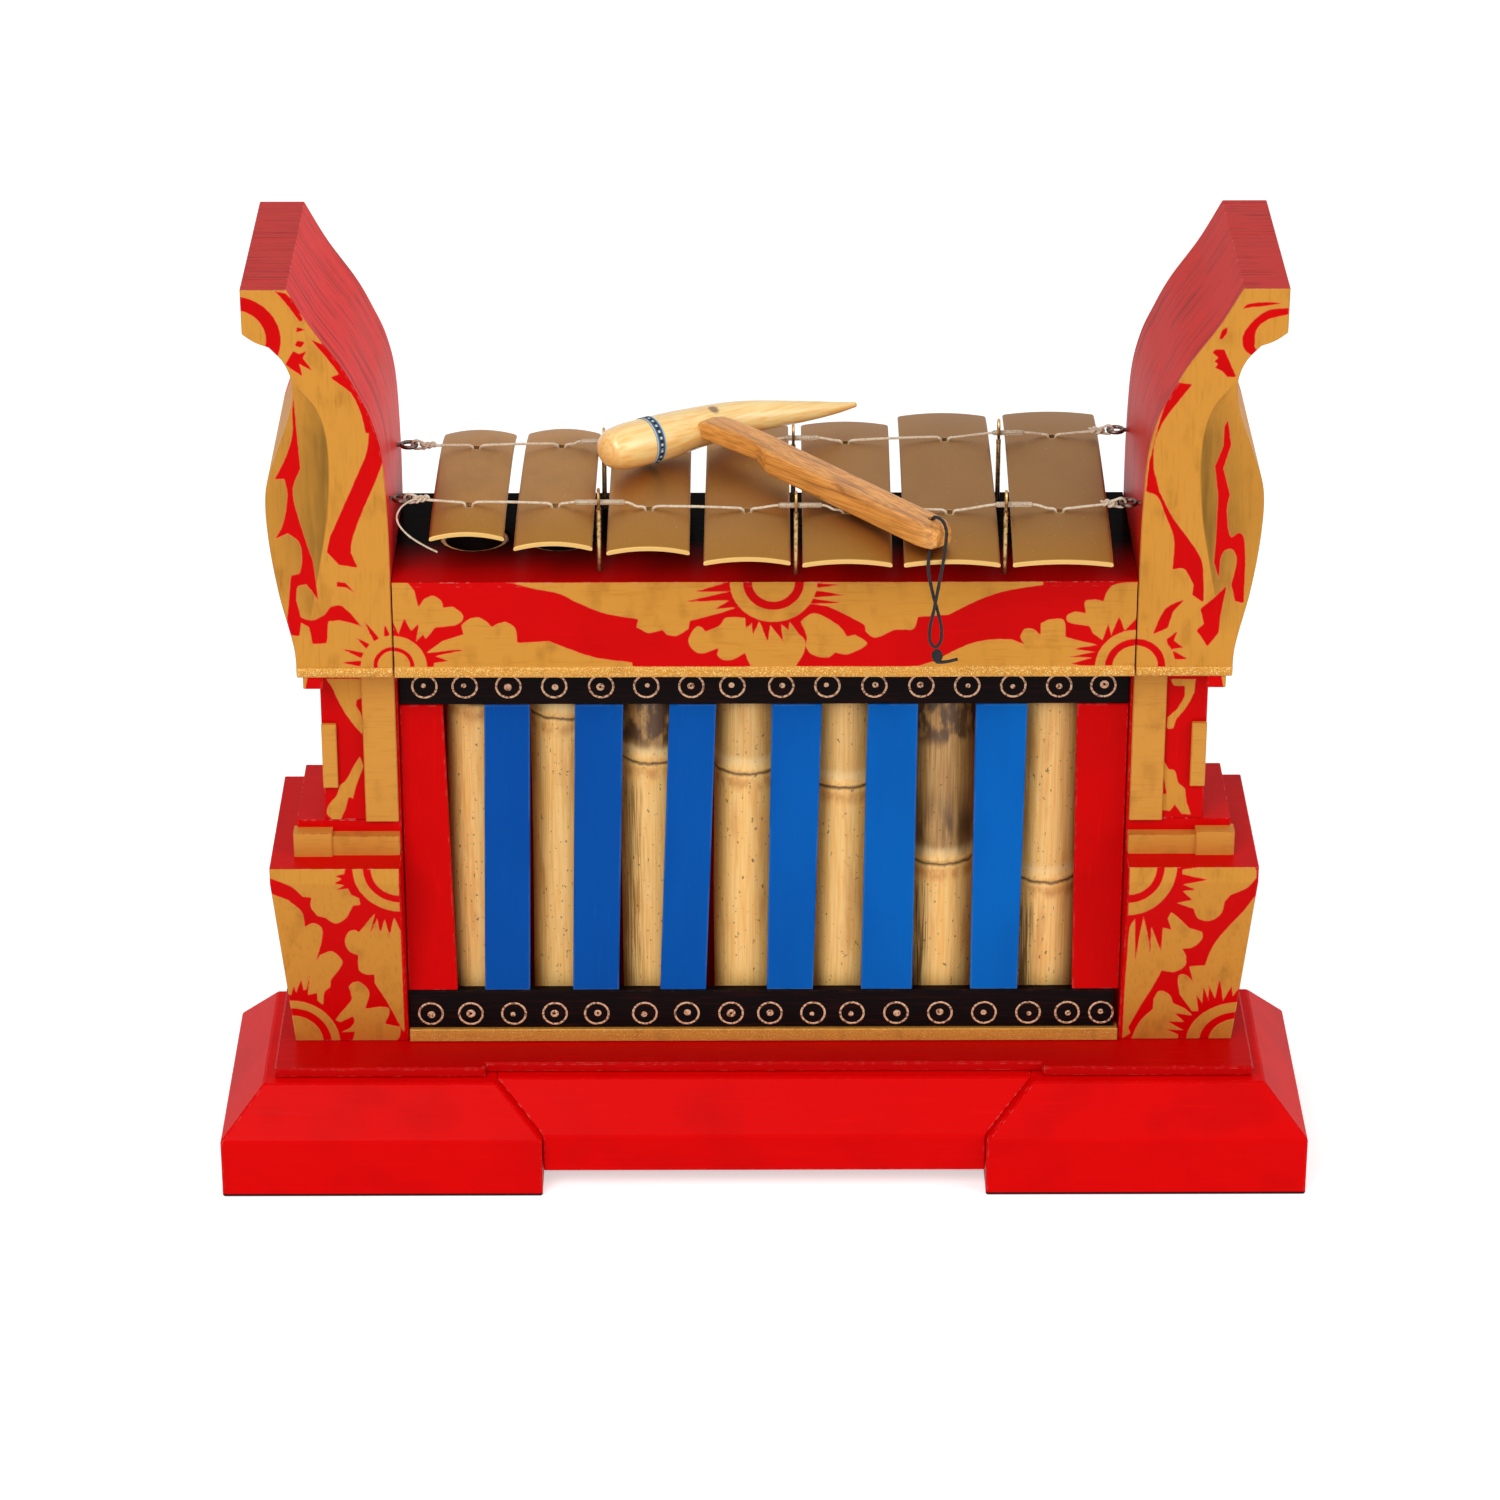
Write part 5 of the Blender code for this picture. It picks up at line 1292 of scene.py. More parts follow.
# %% Necks, lips and pedestals
def painted_block(name, side, size, layers, material, node, flare=None):
    """An upright block whose front carries paint; 'size' is its x, y and z, each as (low, high).

    A block without layers has one finish all over.
    """
    x, y, z = size
    levels = levels_between(*z)
    x0, x1, front, back = (np.full(len(levels), value, float) for value in (*x, *y))
    if flare is not None:
        x0, x1, front, back = flare(levels)
    columns = int((x1 - x0).max() / STEP) + 2
    points, corner = upright(levels, x0, x1, front, back, spread(columns))
    points[..., 0] *= side
    gold = front_paint(points, corner, layers, ALL_RED)
    points, values = plain_ends(points, gold=gold, bead=0 * gold)
    slot = "gold_paint" if material == GOLD_BAR else "red_paint"
    return add_piece(name, closed_grid(name, points, values), material, "root", [node])


PLATE_TOP = 57.65
PEDESTAL_FOOT_X = (171.6, 226.4)
PEDESTAL_HEAD_X = (171.6, 233.1)
PEDESTAL_FOOT_Y = 24.1
PEDESTAL_HEAD_Y = 49.4
FLARE_TOP = 156.2
PEDESTAL_TOP = 164.2
FLARE_BOTTOM = PLATE_TOP + 0.3
NECK = ((171.5, 207.5), (-29.6, 29.6), (180.5, 268.0))
LIP = ((204.5, 213.4), (-51.05, 51.05), (258.8, 267.1))
PEDESTAL = (PEDESTAL_HEAD_X, (0, 0), (FLARE_BOTTOM, PEDESTAL_TOP))
PEDESTAL_STEP = ((171.6, 220.8), (-29.6, 29.6), (163.8, 180.2))
PEDESTAL_BAR = ((172.3, 204.8), (-35.1, -28.8), (163.4, 174.2))
PEDESTAL_CORNER = ((204.0, 222.3), (-36.6, -28.0), (162.6, 176.4))


def pedestal_flare(z):
    """Straight walls that lean out from the foot's size to the head's at the flare's top."""
    share = ramp(z, FLARE_BOTTOM, FLARE_TOP)
    x0 = PEDESTAL_FOOT_X[0] + share * (PEDESTAL_HEAD_X[0] - PEDESTAL_FOOT_X[0])
    x1 = PEDESTAL_FOOT_X[1] + share * (PEDESTAL_HEAD_X[1] - PEDESTAL_FOOT_X[1])
    y = PEDESTAL_FOOT_Y + share * (PEDESTAL_HEAD_Y - PEDESTAL_FOOT_Y)
    return x0, x1, -y, y


for side, word, neck_layers, lip_layers, pedestal_layers in (
        (-1, "left", left_neck_layers, left_lip_layers, left_pedestal_layers),
        (1, "right", right_neck_layers, right_lip_layers, right_pedestal_layers)):
    post, pedestal = "post_" + word, "pedestal_" + word
    painted_block("post_neck_" + word, side, NECK, neck_layers, SCROLL_Z, post)
    painted_block("post_lip_" + word, side, LIP, lip_layers, SCROLL_Z, post)
    painted_block("pedestal_block_" + word, side, PEDESTAL, pedestal_layers, SCROLL_Z, pedestal,
                  pedestal_flare)
    painted_block("pedestal_step_" + word, side, PEDESTAL_STEP, [], SCROLL_Z, pedestal)
    painted_block("pedestal_bar_" + word, side, PEDESTAL_BAR, [], GOLD_BAR, pedestal)
    painted_block("pedestal_corner_" + word, side, PEDESTAL_CORNER, [], GOLD_BAR, pedestal)
print("posts and pedestals stand")

# %% [markdown]
# ## Stamped rings on the rails
#
# Both black rails have a row of rings, stamped by hand with a tube and a dot of gold, so none sits
# quite in the middle of the last. A ring of paint stands a tenth of a millimetre proud.

# %% Rings
RAIL_FRONT_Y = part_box("rail_upper")[0].y / MM
UPPER_RINGS = (247.2, [-159.1, -140.2, -119.8, -98.3, -76.3, -55.2, -34.1, -14.9, 8.0, 29.6, 51.6,
                       73.6, 95.1, 116.7, 138.2, 158.9])
LOWER_RINGS = (72.5, [-160.7, -141.4, -120.6, -100.8, -80.6, -57.4, -37.1, -15.8, 3.0, 23.8, 42.6,
                      63.9, 85.1, 106.4, 127.7, 146.5, 162.9])
RING_RADIUS = 5.7
RING_LINE = 0.5
RING_FLATNESS = 0.3
DOT_RADIUS = 1.5
RING_PALE = rgb(222, 176, 140)
RING_THIN = rgb(120, 76, 52)


def stamped_rings(name, level, places):
    """For each place a flattened ring and a low dot or a small ring inside it, both shifted and
    sized by sines of the place."""
    parts = []
    for x in places:
        shift = np.array([0.5 * math.sin(x), 0, 0.5 * math.cos(1.7 * x)])
        middle = np.array([x, RAIL_FRONT_Y, level])
        parts.append(ring_mesh("ring", middle, (1, 0, 0), (0, 0, 1), RING_RADIUS, RING_LINE, 40, 6))
        radius = DOT_RADIUS * (1 + 0.25 * math.sin(2.3 * x))
        if math.sin(3.1 * x) > 0.2:
            dot = ring_mesh("dot", middle + shift, (1, 0, 0), (0, 0, 1), 0.75 * radius,
                            0.4 * radius, 16, 6)
        else:
            path = middle + shift + np.array([[0, 0.2, 0], [0, -0.22, 0], [0, -0.3, 0]])
            dot = closed_grid("dot", tube(path, [radius, radius, 0.6 * radius], 16, (1, 0, 0)))
        parts.append(dot)
    mesh = join_meshes(name, parts)
    flat = np.empty(len(mesh.vertices) * 3)
    mesh.vertices.foreach_get("co", flat)
    flat = flat.reshape(-1, 3)
    front = RAIL_FRONT_Y * MM
    flat[:, 1] = front + RING_FLATNESS * (flat[:, 1] - front)
    mesh.vertices.foreach_set("co", flat.ravel())
    return add_piece(name, mesh, RING_GOLD, "root")


def ring_finish(name):
    finish = Finish(name, metallic=0.35)
    place = finish.place()
    thin = finish.noise(place, 1.2, (1, 1, 1), 4.0)
    color = finish.mix(thin.step(0.48, 0.62), RING_PALE, RING_THIN)
    return finish.show(base_color=color, roughness=0.42 + 0.2 * thin)


RING_GOLD = ring_finish("ring_gold")
stamped_rings("rings_upper", *UPPER_RINGS)
stamped_rings("rings_lower", *LOWER_RINGS)
print(len(UPPER_RINGS[1]) + len(LOWER_RINGS[1]), "rings")

# %% [markdown]
# ## Bars
#
# Each bar is a strip of bronze, bent down at both ends and arched across, on four smooth formulas:
# the middle line and the width run straight from front to back, the fall grows with the cube of the
# distance from the middle, and the arch with one minus the square of the place across. A bar cast
# as a plain block would miss the light that this double bend catches. The section is a flat
# rectangle with filed corners, and the two cord holes are cut through afterwards.

# %% Sizes of the bars
KEY_THICK = 2.3
KEY_BOW = 5.4
KEY_HOLE_RADIUS = 2.6
KEY_SPACING = 5.6
KEY_ROW_START = -152.75
CROWN_LEVEL = 343.5
KEYS = [
    dict(front_w=34.1, back_w=34.4, half=61.0, mid=3.0, shift=0.0, lean=1.4, arch=2.6,
         holes=(-35.5, 30.0), air=78.3),
    dict(front_w=35.7, back_w=34.5, half=67.0, mid=-2.0, shift=-0.9, lean=1.7, arch=2.6,
         holes=(-38.0, 32.0), air=86.3),
    dict(front_w=37.6, back_w=37.0, half=74.5, mid=0.5, shift=0.0, lean=0.6, arch=2.3,
         holes=(-41.0, 34.0), air=109.5),
    dict(front_w=39.2, back_w=38.4, half=80.0, mid=-5.5, shift=0.7, lean=1.1, arch=2.1,
         holes=(-43.5, 36.0), air=115.4),
    dict(front_w=40.5, back_w=41.7, half=81.5, mid=-6.3, shift=0.4, lean=2.0, arch=1.9,
         holes=(-45.0, 38.0), air=123.0),
    dict(front_w=43.4, back_w=42.3, half=87.0, mid=-1.0, shift=0.0, lean=1.7, arch=1.8,
         holes=(-45.0, 41.0), air=163.7),
    dict(front_w=45.2, back_w=43.9, half=88.0, mid=0.0, shift=0.0, lean=3.0, arch=1.6,
         holes=(-43.0, 45.5), air=173.5),
]


def key_front_x(key):
    """The bars lie side by side from the left: widths and gaps before this one, and its shift."""
    before = KEYS[:KEYS.index(key)]
    left = KEY_ROW_START + sum(other["front_w"] + KEY_SPACING for other in before)
    return left + key["front_w"] / 2 + key["shift"]


def key_top(key, along, across):
    """Top of a bar, along and across it from -1 to 1: x = middle + across width / 2, and
    z = crown - bow |along|^3 + arch (1 - across^2)."""
    share = (along + 1) / 2
    middle = key_front_x(key) + share * key["lean"]
    width = key["front_w"] + share * (key["back_w"] - key["front_w"])
    x = middle + across * width / 2
    y = key["mid"] + along * key["half"]
    z = CROWN_LEVEL - KEY_BOW * np.abs(along) ** 3 + key["arch"] * (1 - across**2)
    return np.stack(np.broadcast_arrays(x, y, z), axis=-1)


def hole_top(key, depth):
    return key_top(key, (depth - key["mid"]) / key["half"], 0.0)


print("bars are", [round(2 * key["half"]) for key in KEYS], "mm long")


# %% Shape of a bar
def cut(name, mesh, cutters):
    """Cuts closed meshes out of another with exact arithmetic, and keeps only the result."""
    piece = stand("blank", mesh)
    helpers = [stand(f"cutter_{number}", cutter) for number, cutter in enumerate(cutters)]
    for helper in helpers:
        step = piece.modifiers.new("cut", "BOOLEAN")
        step.operation = "DIFFERENCE"
        step.solver = "EXACT"
        step.object = helper
    graph = bpy.context.evaluated_depsgraph_get()
    result = bpy.data.meshes.new_from_object(piece.evaluated_get(graph), depsgraph=graph)
    result.name = name
    result.materials.clear()
    for used in [piece] + helpers:
        shape = used.data
        bpy.data.objects.remove(used)
        bpy.data.meshes.remove(shape)
    return result


def weld(mesh):
    """Joins points that lie on each other, so that a thinned end closes."""
    cage = bmesh.new()
    cage.from_mesh(mesh)
    bmesh.ops.remove_doubles(cage, verts=cage.verts, dist=1e-7)
    cage.to_mesh(mesh)
    cage.free()
    return mesh


def bar_section(width):
    """A flat rectangle with filed corners: place across from -1 to 1, and height from -1 to 1."""
    file_cut = 1.1 / width
    flat = np.linspace(-1 + 2.4 * file_cut, 1 - 2.4 * file_cut, 30)
    corner = np.array([(1 - file_cut, 0.9), (1 - 0.25 * file_cut, 0.62), (1, 0.25)])
    right = np.vstack([corner, corner[::-1] * (1, -1)])
    top = np.column_stack([flat, 1 + 0 * flat])
    return np.vstack([top, right, top[::-1] * (1, -1), right[::-1] * (-1, 1)])


def bar_mesh(name, key):
    length = key["half"]
    ends = np.array([0.0, 0.12, 0.5, 1.4]) / length
    inner = np.linspace(-1 + 3 / length, 1 - 3 / length, 84)
    along = np.concatenate([-1 + ends, inner, 1 - ends[::-1]])
    thin = np.concatenate([[0.66, 0.88, 1, 1], 1 + 0 * inner, [1, 1, 0.88, 0.66]])
    along = np.concatenate([along[:1], along, along[-1:]])[:, None]
    thin = np.concatenate([[0], thin, [0]])[:, None]
    across, height = bar_section(key["front_w"]).T
    points = key_top(key, along, across[None, :])
    points[..., 2] += KEY_THICK / 2 * (height * thin - 1)
    return weld(closed_grid(name, points, {"along": np.broadcast_to(along, points.shape[:2])},
                            ends=False))


def round_cutter(x, y, low, high, radius):
    return closed_grid("hole", tube([(x, y, low), (x, y, high)], radius, 32, (1, 0, 0)))


def bronze_finish(name):
    """Bronze bars, brushed along their length, brown and darker towards the right. Painted light: a
    sheen on the bent-down front end, a reflection on the front end face and highlights on the edges.
    """
    finish = Finish(name, metallic=1.0)
    place = finish.place()
    along = finish.attribute("along")
    brushed = finish.noise(place, 0.9, (1, 22, 1), 3.0)
    cloudy = finish.noise(place, 22.0, (1, 1.6, 1), 3.0, 4.0)
    grain = finish.noise(place, 0.45, (1, 1, 1), 2.0, 9.0)
    specks = finish.noise(place, 1.0, (1, 1, 1), 2.0, 13.0)
    color = finish.mix(finish.axis(place, "X").step(-135, 135), BRONZE, BRONZE_RIGHT)
    color = finish.mix(cloudy.step(0.35, 0.75) * 0.5, color, BRONZE_DARK)
    # painted sheen on the front end, which bends down towards the light
    color = finish.mix(along.step(-0.45, -1.0) * 0.7, color, BRONZE_SHEEN_AND_BRUSHED)
    color = finish.mix(brushed.step(0.5, 0.75) * 0.14, color, BRONZE_SHEEN_AND_BRUSHED)
    color = finish.mix(specks.step(0.7, 0.76) * 0.4, color, BRONZE_SPECKS_AND_HIGHLIGHT)
    # painted reflection on the front end face
    color = finish.mix(along.step(-0.992, -0.999), color, BRONZE_END_REFLECTION)
    # painted highlights along the edges
    color = finish.mix(finish.edge(0.7).step(0.05, 0.2) * 0.9, color, BRONZE_SPECKS_AND_HIGHLIGHT)
    return finish.show(base_color=color, roughness=0.4 + 0.14 * grain + 0.06 * brushed,
                       normal=finish.bump(brushed * 0.3 + grain, 0.03))


BRONZE = rgb(174, 124, 64)
BRONZE_RIGHT = rgb(148, 104, 52)
BRONZE_DARK = rgb(142, 100, 52)
BRONZE_SHEEN_AND_BRUSHED = rgb(168, 116, 44)
BRONZE_SPECKS_AND_HIGHLIGHT = rgb(244, 214, 156)
BRONZE_END_REFLECTION = rgb(212, 172, 104)
BAR_ANGLE = 30.0
bronze = bronze_finish("key_bronze")
for number, key in enumerate(KEYS, 1):
    name = f"bar_{number}"
    places = [hole_top(key, depth) for depth in key["holes"]]
    mesh = cut(name, bar_mesh("blank", key),
               [round_cutter(x, y, z - 8, z + 5, KEY_HOLE_RADIUS) for x, y, z in places])
    add_piece(name, mesh, bronze, f"key_{number}", [f"key_{number}"], BAR_ANGLE)
print(len(KEYS), "bars")

# %% [markdown]
# ## Bamboo tubes
#
# Under each bar stands a bamboo tube, closed inside by the node at the length that suits the note.
# It is a profile turned round an upright line, but the line bends a little, the section is a touch
# oval, and the node stands out as a double ridge with a groove, because it grew. Turning a plain
# cylinder on a lathe would lose all of that.

# %% Shape of a tube
TUBE_RADIUS = 16.0
TUBE_BORE = 13.4
TUBE_BOTTOM = 57.95
TUBE_TOP = 312.1
TUBE_SIDES = 56
NOWHERE = 400.0


def tube_profile(node):
    """Stations from the node's upper side, up the bore, over the rim, down the outside and in again:
    radius, height and how much of the outside's unevenness each takes."""
    inside = np.linspace(node + 1, TUBE_TOP - 0.6, 8)
    outside = np.linspace(TUBE_TOP - 0.6, TUBE_BOTTOM + 0.6, 190)
    ridge = 0.75 * np.exp(-((outside - node - 1.5) / 1.3) ** 2)
    ridge += 0.4 * np.exp(-((outside - node + 2.8) / 1.1) ** 2)
    ridge -= 0.35 * np.exp(-((outside - node + 0.7) / 0.6) ** 2)
    below = np.linspace(TUBE_BOTTOM, node - 1, 5)
    radius = np.concatenate([TUBE_BORE + 0 * inside, [TUBE_BORE + 0.6, TUBE_RADIUS - 0.6],
                             TUBE_RADIUS - 0.1 + ridge, [TUBE_RADIUS - 0.6], TUBE_BORE + 0 * below])
    z = np.concatenate([inside, [TUBE_TOP, TUBE_TOP], outside, [TUBE_BOTTOM], below])
    uneven = np.concatenate([0 * inside, [0, 0.5], 1 + 0 * outside, [0.5], 0 * below])
    return radius, z, uneven


def tube_mesh(name, number, key):
    node = BOARD_TOP - key["air"]
    radius, z, uneven = (values[:, None] for values in tube_profile(node))
    angle = turns(TUBE_SIDES)[None, :]
    oval = 0.16 * np.cos(2 * angle + number) + 0.08 * np.sin(5 * angle + z / 60 + number)
    r = radius + uneven * oval
    low = np.clip((296 - z) / 60, 0, 1)
    bend = 0.5 * low * np.sin(z / 48 + 2.1 * number)
    x = key_front_x(key) + key["lean"] / 2 + bend + r * np.cos(angle)
    points = np.stack([x, 0.4 * bend + r * np.sin(angle), z + 0 * angle], axis=-1)
    return closed_grid(name, points)


def bamboo_finish(name, axis_x, node, seed, smoked=0.0, split=0.0, dark_above=NOWHERE,
                  burnt=NOWHERE):
    """Dry bamboo: fine fibres, stains, specks and a dark line at the node, with painted shade on the
    sides, where the tube turns away, and inside the bore.

    'smoked' is how brown the skin is above the node, and 'split' how dark the left side is below.
    'dark_above' is the height over which the skin is mottled dark, and 'burnt' a dark patch's.
    """
    finish = Finish(name, coat_weight=0.08, coat_roughness=0.3)
    place = finish.place()
    fibres = finish.noise(place, 0.8, (1, 1, 34), 4.0, seed)
    stains = finish.noise(place, 9.0, (1, 1, 5), 4.0, seed + 3)
    specks = finish.noise(place, 1.5, (1, 1, 1.6), 2.0, seed + 5)
    cloud = finish.noise(place, 5.0, (1, 1, 2.2), 5.0, seed + 9)
    z = finish.axis(place, "Z")
    x, y = finish.axis(place, "X") - axis_x, finish.axis(place, "Y")
    side = abs(x)
    color = finish.mix(fibres.step(0.35, 0.7), CANE_LIGHT, CANE)
    color = finish.mix(stains.step(0.5, 0.75) * 0.55, color, CANE_STAIN_AND_SHADE)
    # painted shade on the tube's sides, where it turns away from the light
    color = finish.mix(side.step(11.0, 15.5) * (0.1 + 0.4 * cloud), color, CANE_STAIN_AND_SHADE)
    color = finish.mix(specks.step(0.66, 0.72) * 0.7, color, CANE_DARK)
    wavy = z + (cloud - 0.5) * 3.0
    smoke = wavy.step(node + 3, node + 9) * (0.45 + 0.75 * fibres) * smoked
    color = finish.mix(smoke, color, CANE_SMOKED)
    color = finish.mix(wavy.near(node - 6.0, 5.5) * cloud.step(0.35, 0.6) * 0.7, color, CANE_STAIN_AND_SHADE)
    left = (x + (stains - 0.5) * 8.0).step(-3, -9) * wavy.step(node - 8, node - 20)
    color = finish.mix(left * fibres.step(0.4, 0.6) * split, color, CANE_DARK)
    color = finish.mix(wavy.near(node + 5.5, 4.5) * 0.5, color, CANE_PALE)
    color = finish.mix(wavy.near(node - 0.7, 1.5) * 0.85, color, CANE_DARK)
    mottle = wavy.step(dark_above - 5, dark_above + 3) * cloud.step(0.36, 0.55)
    patch = wavy.near(burnt, 26.0) * stains.step(0.36, 0.56)
    color = finish.mix(mottle * 0.85 + patch * 0.8, color, CANE_DARK)
    # painted shade inside the bore
    bore = (x * x + y * y).step((TUBE_BORE + 1.0) ** 2, (TUBE_BORE + 0.3) ** 2)
    color = finish.mix(bore, color, CANE_BORE_SHADE)
    return finish.show(base_color=color, roughness=0.4 + 0.2 * fibres,
                       normal=finish.bump(fibres + specks * 0.4, 0.14))


CANE_LIGHT = rgb(255, 208, 130)
CANE = rgb(250, 184, 92)
CANE_STAIN_AND_SHADE = rgb(204, 130, 56)
CANE_DARK = rgb(58, 30, 12)
CANE_PALE = rgb(255, 222, 160)
CANE_SMOKED = rgb(136, 92, 46)
CANE_BORE_SHADE = rgb(26, 11, 6)
STAINS = [
    dict(split=0.1),
    dict(split=0.1, dark_above=246),
    dict(smoked=0.9, split=0.5, dark_above=214),
    dict(smoked=0.3),
    dict(smoked=0.25),
    dict(smoked=0.85, split=0.8, dark_above=214, burnt=168),
    dict(smoked=0.12, split=0.7),
]
for number, (key, stains) in enumerate(zip(KEYS, STAINS), 1):
    name = f"bamboo_tube_{number}"
    middle_x = key_front_x(key) + key["lean"] / 2
    finish = bamboo_finish(f"bamboo_{number}", middle_x, BOARD_TOP - key["air"], 11.0 * number,
                           **stains)
    add_piece(name, tube_mesh(name, number, key), finish, "root", [f"resonator_{number}"])
print(len(STAINS), "tubes")

# %% [markdown]
# ## Pins and screw eyes
#
# Six brass pins with a long eye carry the cords between the bars, and four steel eyes at the ends
# hold their knots. All are wire, so each is a tube along a line and a ring.

# %% Wire pieces
CORD_LEVEL = 347.3
PINS = {
    "front": [(-1.2, -39.0), (0.0, -43.0), (1.1, -42.5)],
    "back": [(-0.7, 33.0), (-0.8, 37.0), (0.6, 43.0)],
}
PIN_RADIUS = 1.15
PIN_EYE_RADIUS = 2.75
PIN_EYE_WIRE = 0.7
PIN_EYE_STRETCH = 1.75
PIN_FOOT = 305.4
PIN_MIDDLE = CORD_LEVEL + 1.6
EYE_DEPTHS = {"front": (-34.0, -40.5), "back": (29.5, 46.5)}
EYE_X = 166.35
EYE_RADIUS = 3.6
EYE_WIRE = 0.95
EYE_SHANK = 9.0
BRASS = rgb(200, 166, 112)
BRASS_DARK = rgb(126, 92, 52)
STEEL = rgb(118, 98, 88)
STEEL_DARK = rgb(62, 46, 40)


def rod(name, ends, radius, sides=16, across=(1, 0, 0)):
    path, radii = rounded_ends(ends, radius)
    return closed_grid(name, tube(path, radii, sides, across))


def pin_places(row):
    """In every second gap, the middle between the two bars' edges, plus a small shift."""
    places = []
    for number, (shift, depth) in enumerate(PINS[row], 1):
        left, right = KEYS[2 * number - 1], KEYS[2 * number]
        a = key_top(left, (depth - left["mid"]) / left["half"], 1.0)[0]
        b = key_top(right, (depth - right["mid"]) / right["half"], -1.0)[0]
        places.append(((a + b) / 2 + shift, depth))
    return places


def wire_finish(name, color, dark, rough):
    finish = Finish(name, metallic=1.0)
    place = finish.place()
    dull = finish.noise(place, 2.5, (1, 1, 1), 4.0)
    fine = finish.noise(place, 0.4, (1, 1, 4), 2.0)
    return finish.show(base_color=finish.mix(dull.step(0.45, 0.7), color, dark),
                       roughness=rough + 0.2 * dull, normal=finish.bump(fine, 0.02))


brass = wire_finish("pin_brass", BRASS, BRASS_DARK, 0.26)
steel = wire_finish("eye_steel", STEEL, STEEL_DARK, 0.22)
for row in ("front", "back"):
    for number, (x, y) in enumerate(pin_places(row), 1):
        top = PIN_MIDDLE - PIN_EYE_RADIUS * PIN_EYE_STRETCH
        shank = rod("shank", [(x, y, PIN_FOOT + 1), (x, y, top - 0.6)], PIN_RADIUS)
        eye = ring_mesh("eye", (x, y, PIN_MIDDLE), (0, 1, 0), (0, 0, 1), PIN_EYE_RADIUS,
                        PIN_EYE_WIRE, 40, 10, PIN_EYE_STRETCH)
        name = f"pin_{row}_{number}"
        add_piece(name, join_meshes(name, [shank, eye]), brass, "root",
                  [f"hanger_{row}_{number}"])
    for side, word, y in zip((-1, 1), ("left", "right"), EYE_DEPTHS[row]):
        x = side * EYE_X
        end_x = side * (HORN_INNER_X + EYE_SHANK - 1)
        eye = ring_mesh("eye", (x, y, CORD_LEVEL), (1, 0, 0), (0, 1, 0), EYE_RADIUS, EYE_WIRE, 40,
                        12)
        shank = rod("shank", [(x + side * 3.2, y, CORD_LEVEL), (end_x, y, CORD_LEVEL)], 1.0, 14,
                    (0, 1, 0))
        name = f"steel_eye_{row}_{word}"
        add_piece(name, join_meshes(name, [eye, shank]), steel, "root",
                  [f"screw_eye_{row}_{word}"])
print("six pins and four eyes")

# %% [markdown]
# ## Suspension cords
#
# Twisted nylon runs from a knot at one screw eye over the pins to the other, and dips into the
# holes of every bar, where it goes round a small toggle underneath. When a bar is struck it bobs.
# Each half span is a piece of its own, from its knot, pin or mid-point to the bar's hole. The twist
# is in the section: a circle with two lobes that turn as it goes along.

# %% Cord pieces
CORD_RADIUS = 0.62
CORD_SIDES = 12
TWIST_PITCH = 4.2
SLEEVE_RADIUS = 1.25
SLEEVES = {"front": [(11.0, 12.0), (8.0, 12.0), (5.0, 12.0)],
           "back": [(11.0, 3.0), (4.0, 12.0), (3.0, 12.0)]}
TOGGLE_RADIUS = 0.95
TOGGLE_HALF = 5.0
TOGGLE_DROP = 2.2
KNOT_X = EYE_X - EYE_RADIUS - 4.3
KNOT_Z = CORD_LEVEL - 0.5
OVER_KEY = [(-6.0, 1.3), (-3.0, 0.95), (-1.8, 0.0)]
UNDER_KEY = [(-1.7, -0.6), (-1.1, -2.9), (0.0, -3.35)]
PRESSED_KEY = 5
PRESSED_AT = (6.6, 12.6, 17.6)
LOOSE_TAIL = [(-158.5, -34.5, 347), (-161.5, -38.5, 348.2), (-166, -42.5, 346.5), (-168, -45, 342.8),
              (-166.6, -46.2, 338.6), (-162.4, -46.5, 333.8), (-156, -46.8, 329.4),
              (-150, -47, 326.2)]
NYLON = rgb(240, 224, 200)
NYLON_DULL = rgb(216, 194, 162)


def cord_mesh(points, radius=CORD_RADIUS, steps=5, across=(0, 1, 0)):
    """Radius r (1 + 0.05 cos(2 angle - 2 pi distance / pitch)) round a smooth line."""
    line = smooth(points, steps)
    path, radii = rounded_ends(line, radius, 3)
    gone = np.concatenate([[0], np.cumsum(np.linalg.norm(np.diff(path, axis=0), axis=1))])
    twist = 2 * turns(CORD_SIDES)[None, :] - 2 * np.pi * gone[:, None] / TWIST_PITCH
    lobes = 1 + 0.05 * np.cos(twist)
    return closed_grid("cord", tube(path, radii[:, None] * lobes, CORD_SIDES, across))


def knot_mesh(centre, size, turn):
    """Once round a trefoil, (sin t + 2 sin 2t, cos t - 2 cos 2t, -sin 3t), scaled; 'turn' shifts t."""
    t = turns(72) + turn
    line = np.column_stack([(np.sin(t) + 2 * np.sin(2 * t)) * 1.15, (np.cos(t) - 2 * np.cos(2 * t)),
                            -1.1 * np.sin(3 * t)]) * size / 3
    wound = tube(centre + line, CORD_RADIUS, 10, (0.3, 0.4, 0.87), joined=True)
    return closed_grid("knot", wound, joined=True)


def eye_loop(side, y):
    """From the knot round the wire of the screw eye and back to the knot."""
    wire_x = EYE_X - EYE_RADIUS
    turn = EYE_WIRE + CORD_RADIUS + 0.6
    a = np.radians([-110, -65, -25, 15, 60, 105])
    around = np.column_stack([wire_x + turn * np.cos(a), y + 0 * a, CORD_LEVEL + turn * np.sin(a)])
    low = (KNOT_X, y, KNOT_Z - 1)
    high = (KNOT_X, y, KNOT_Z + 1)
    return np.vstack([low, around, high]) * (side, 1, 1)


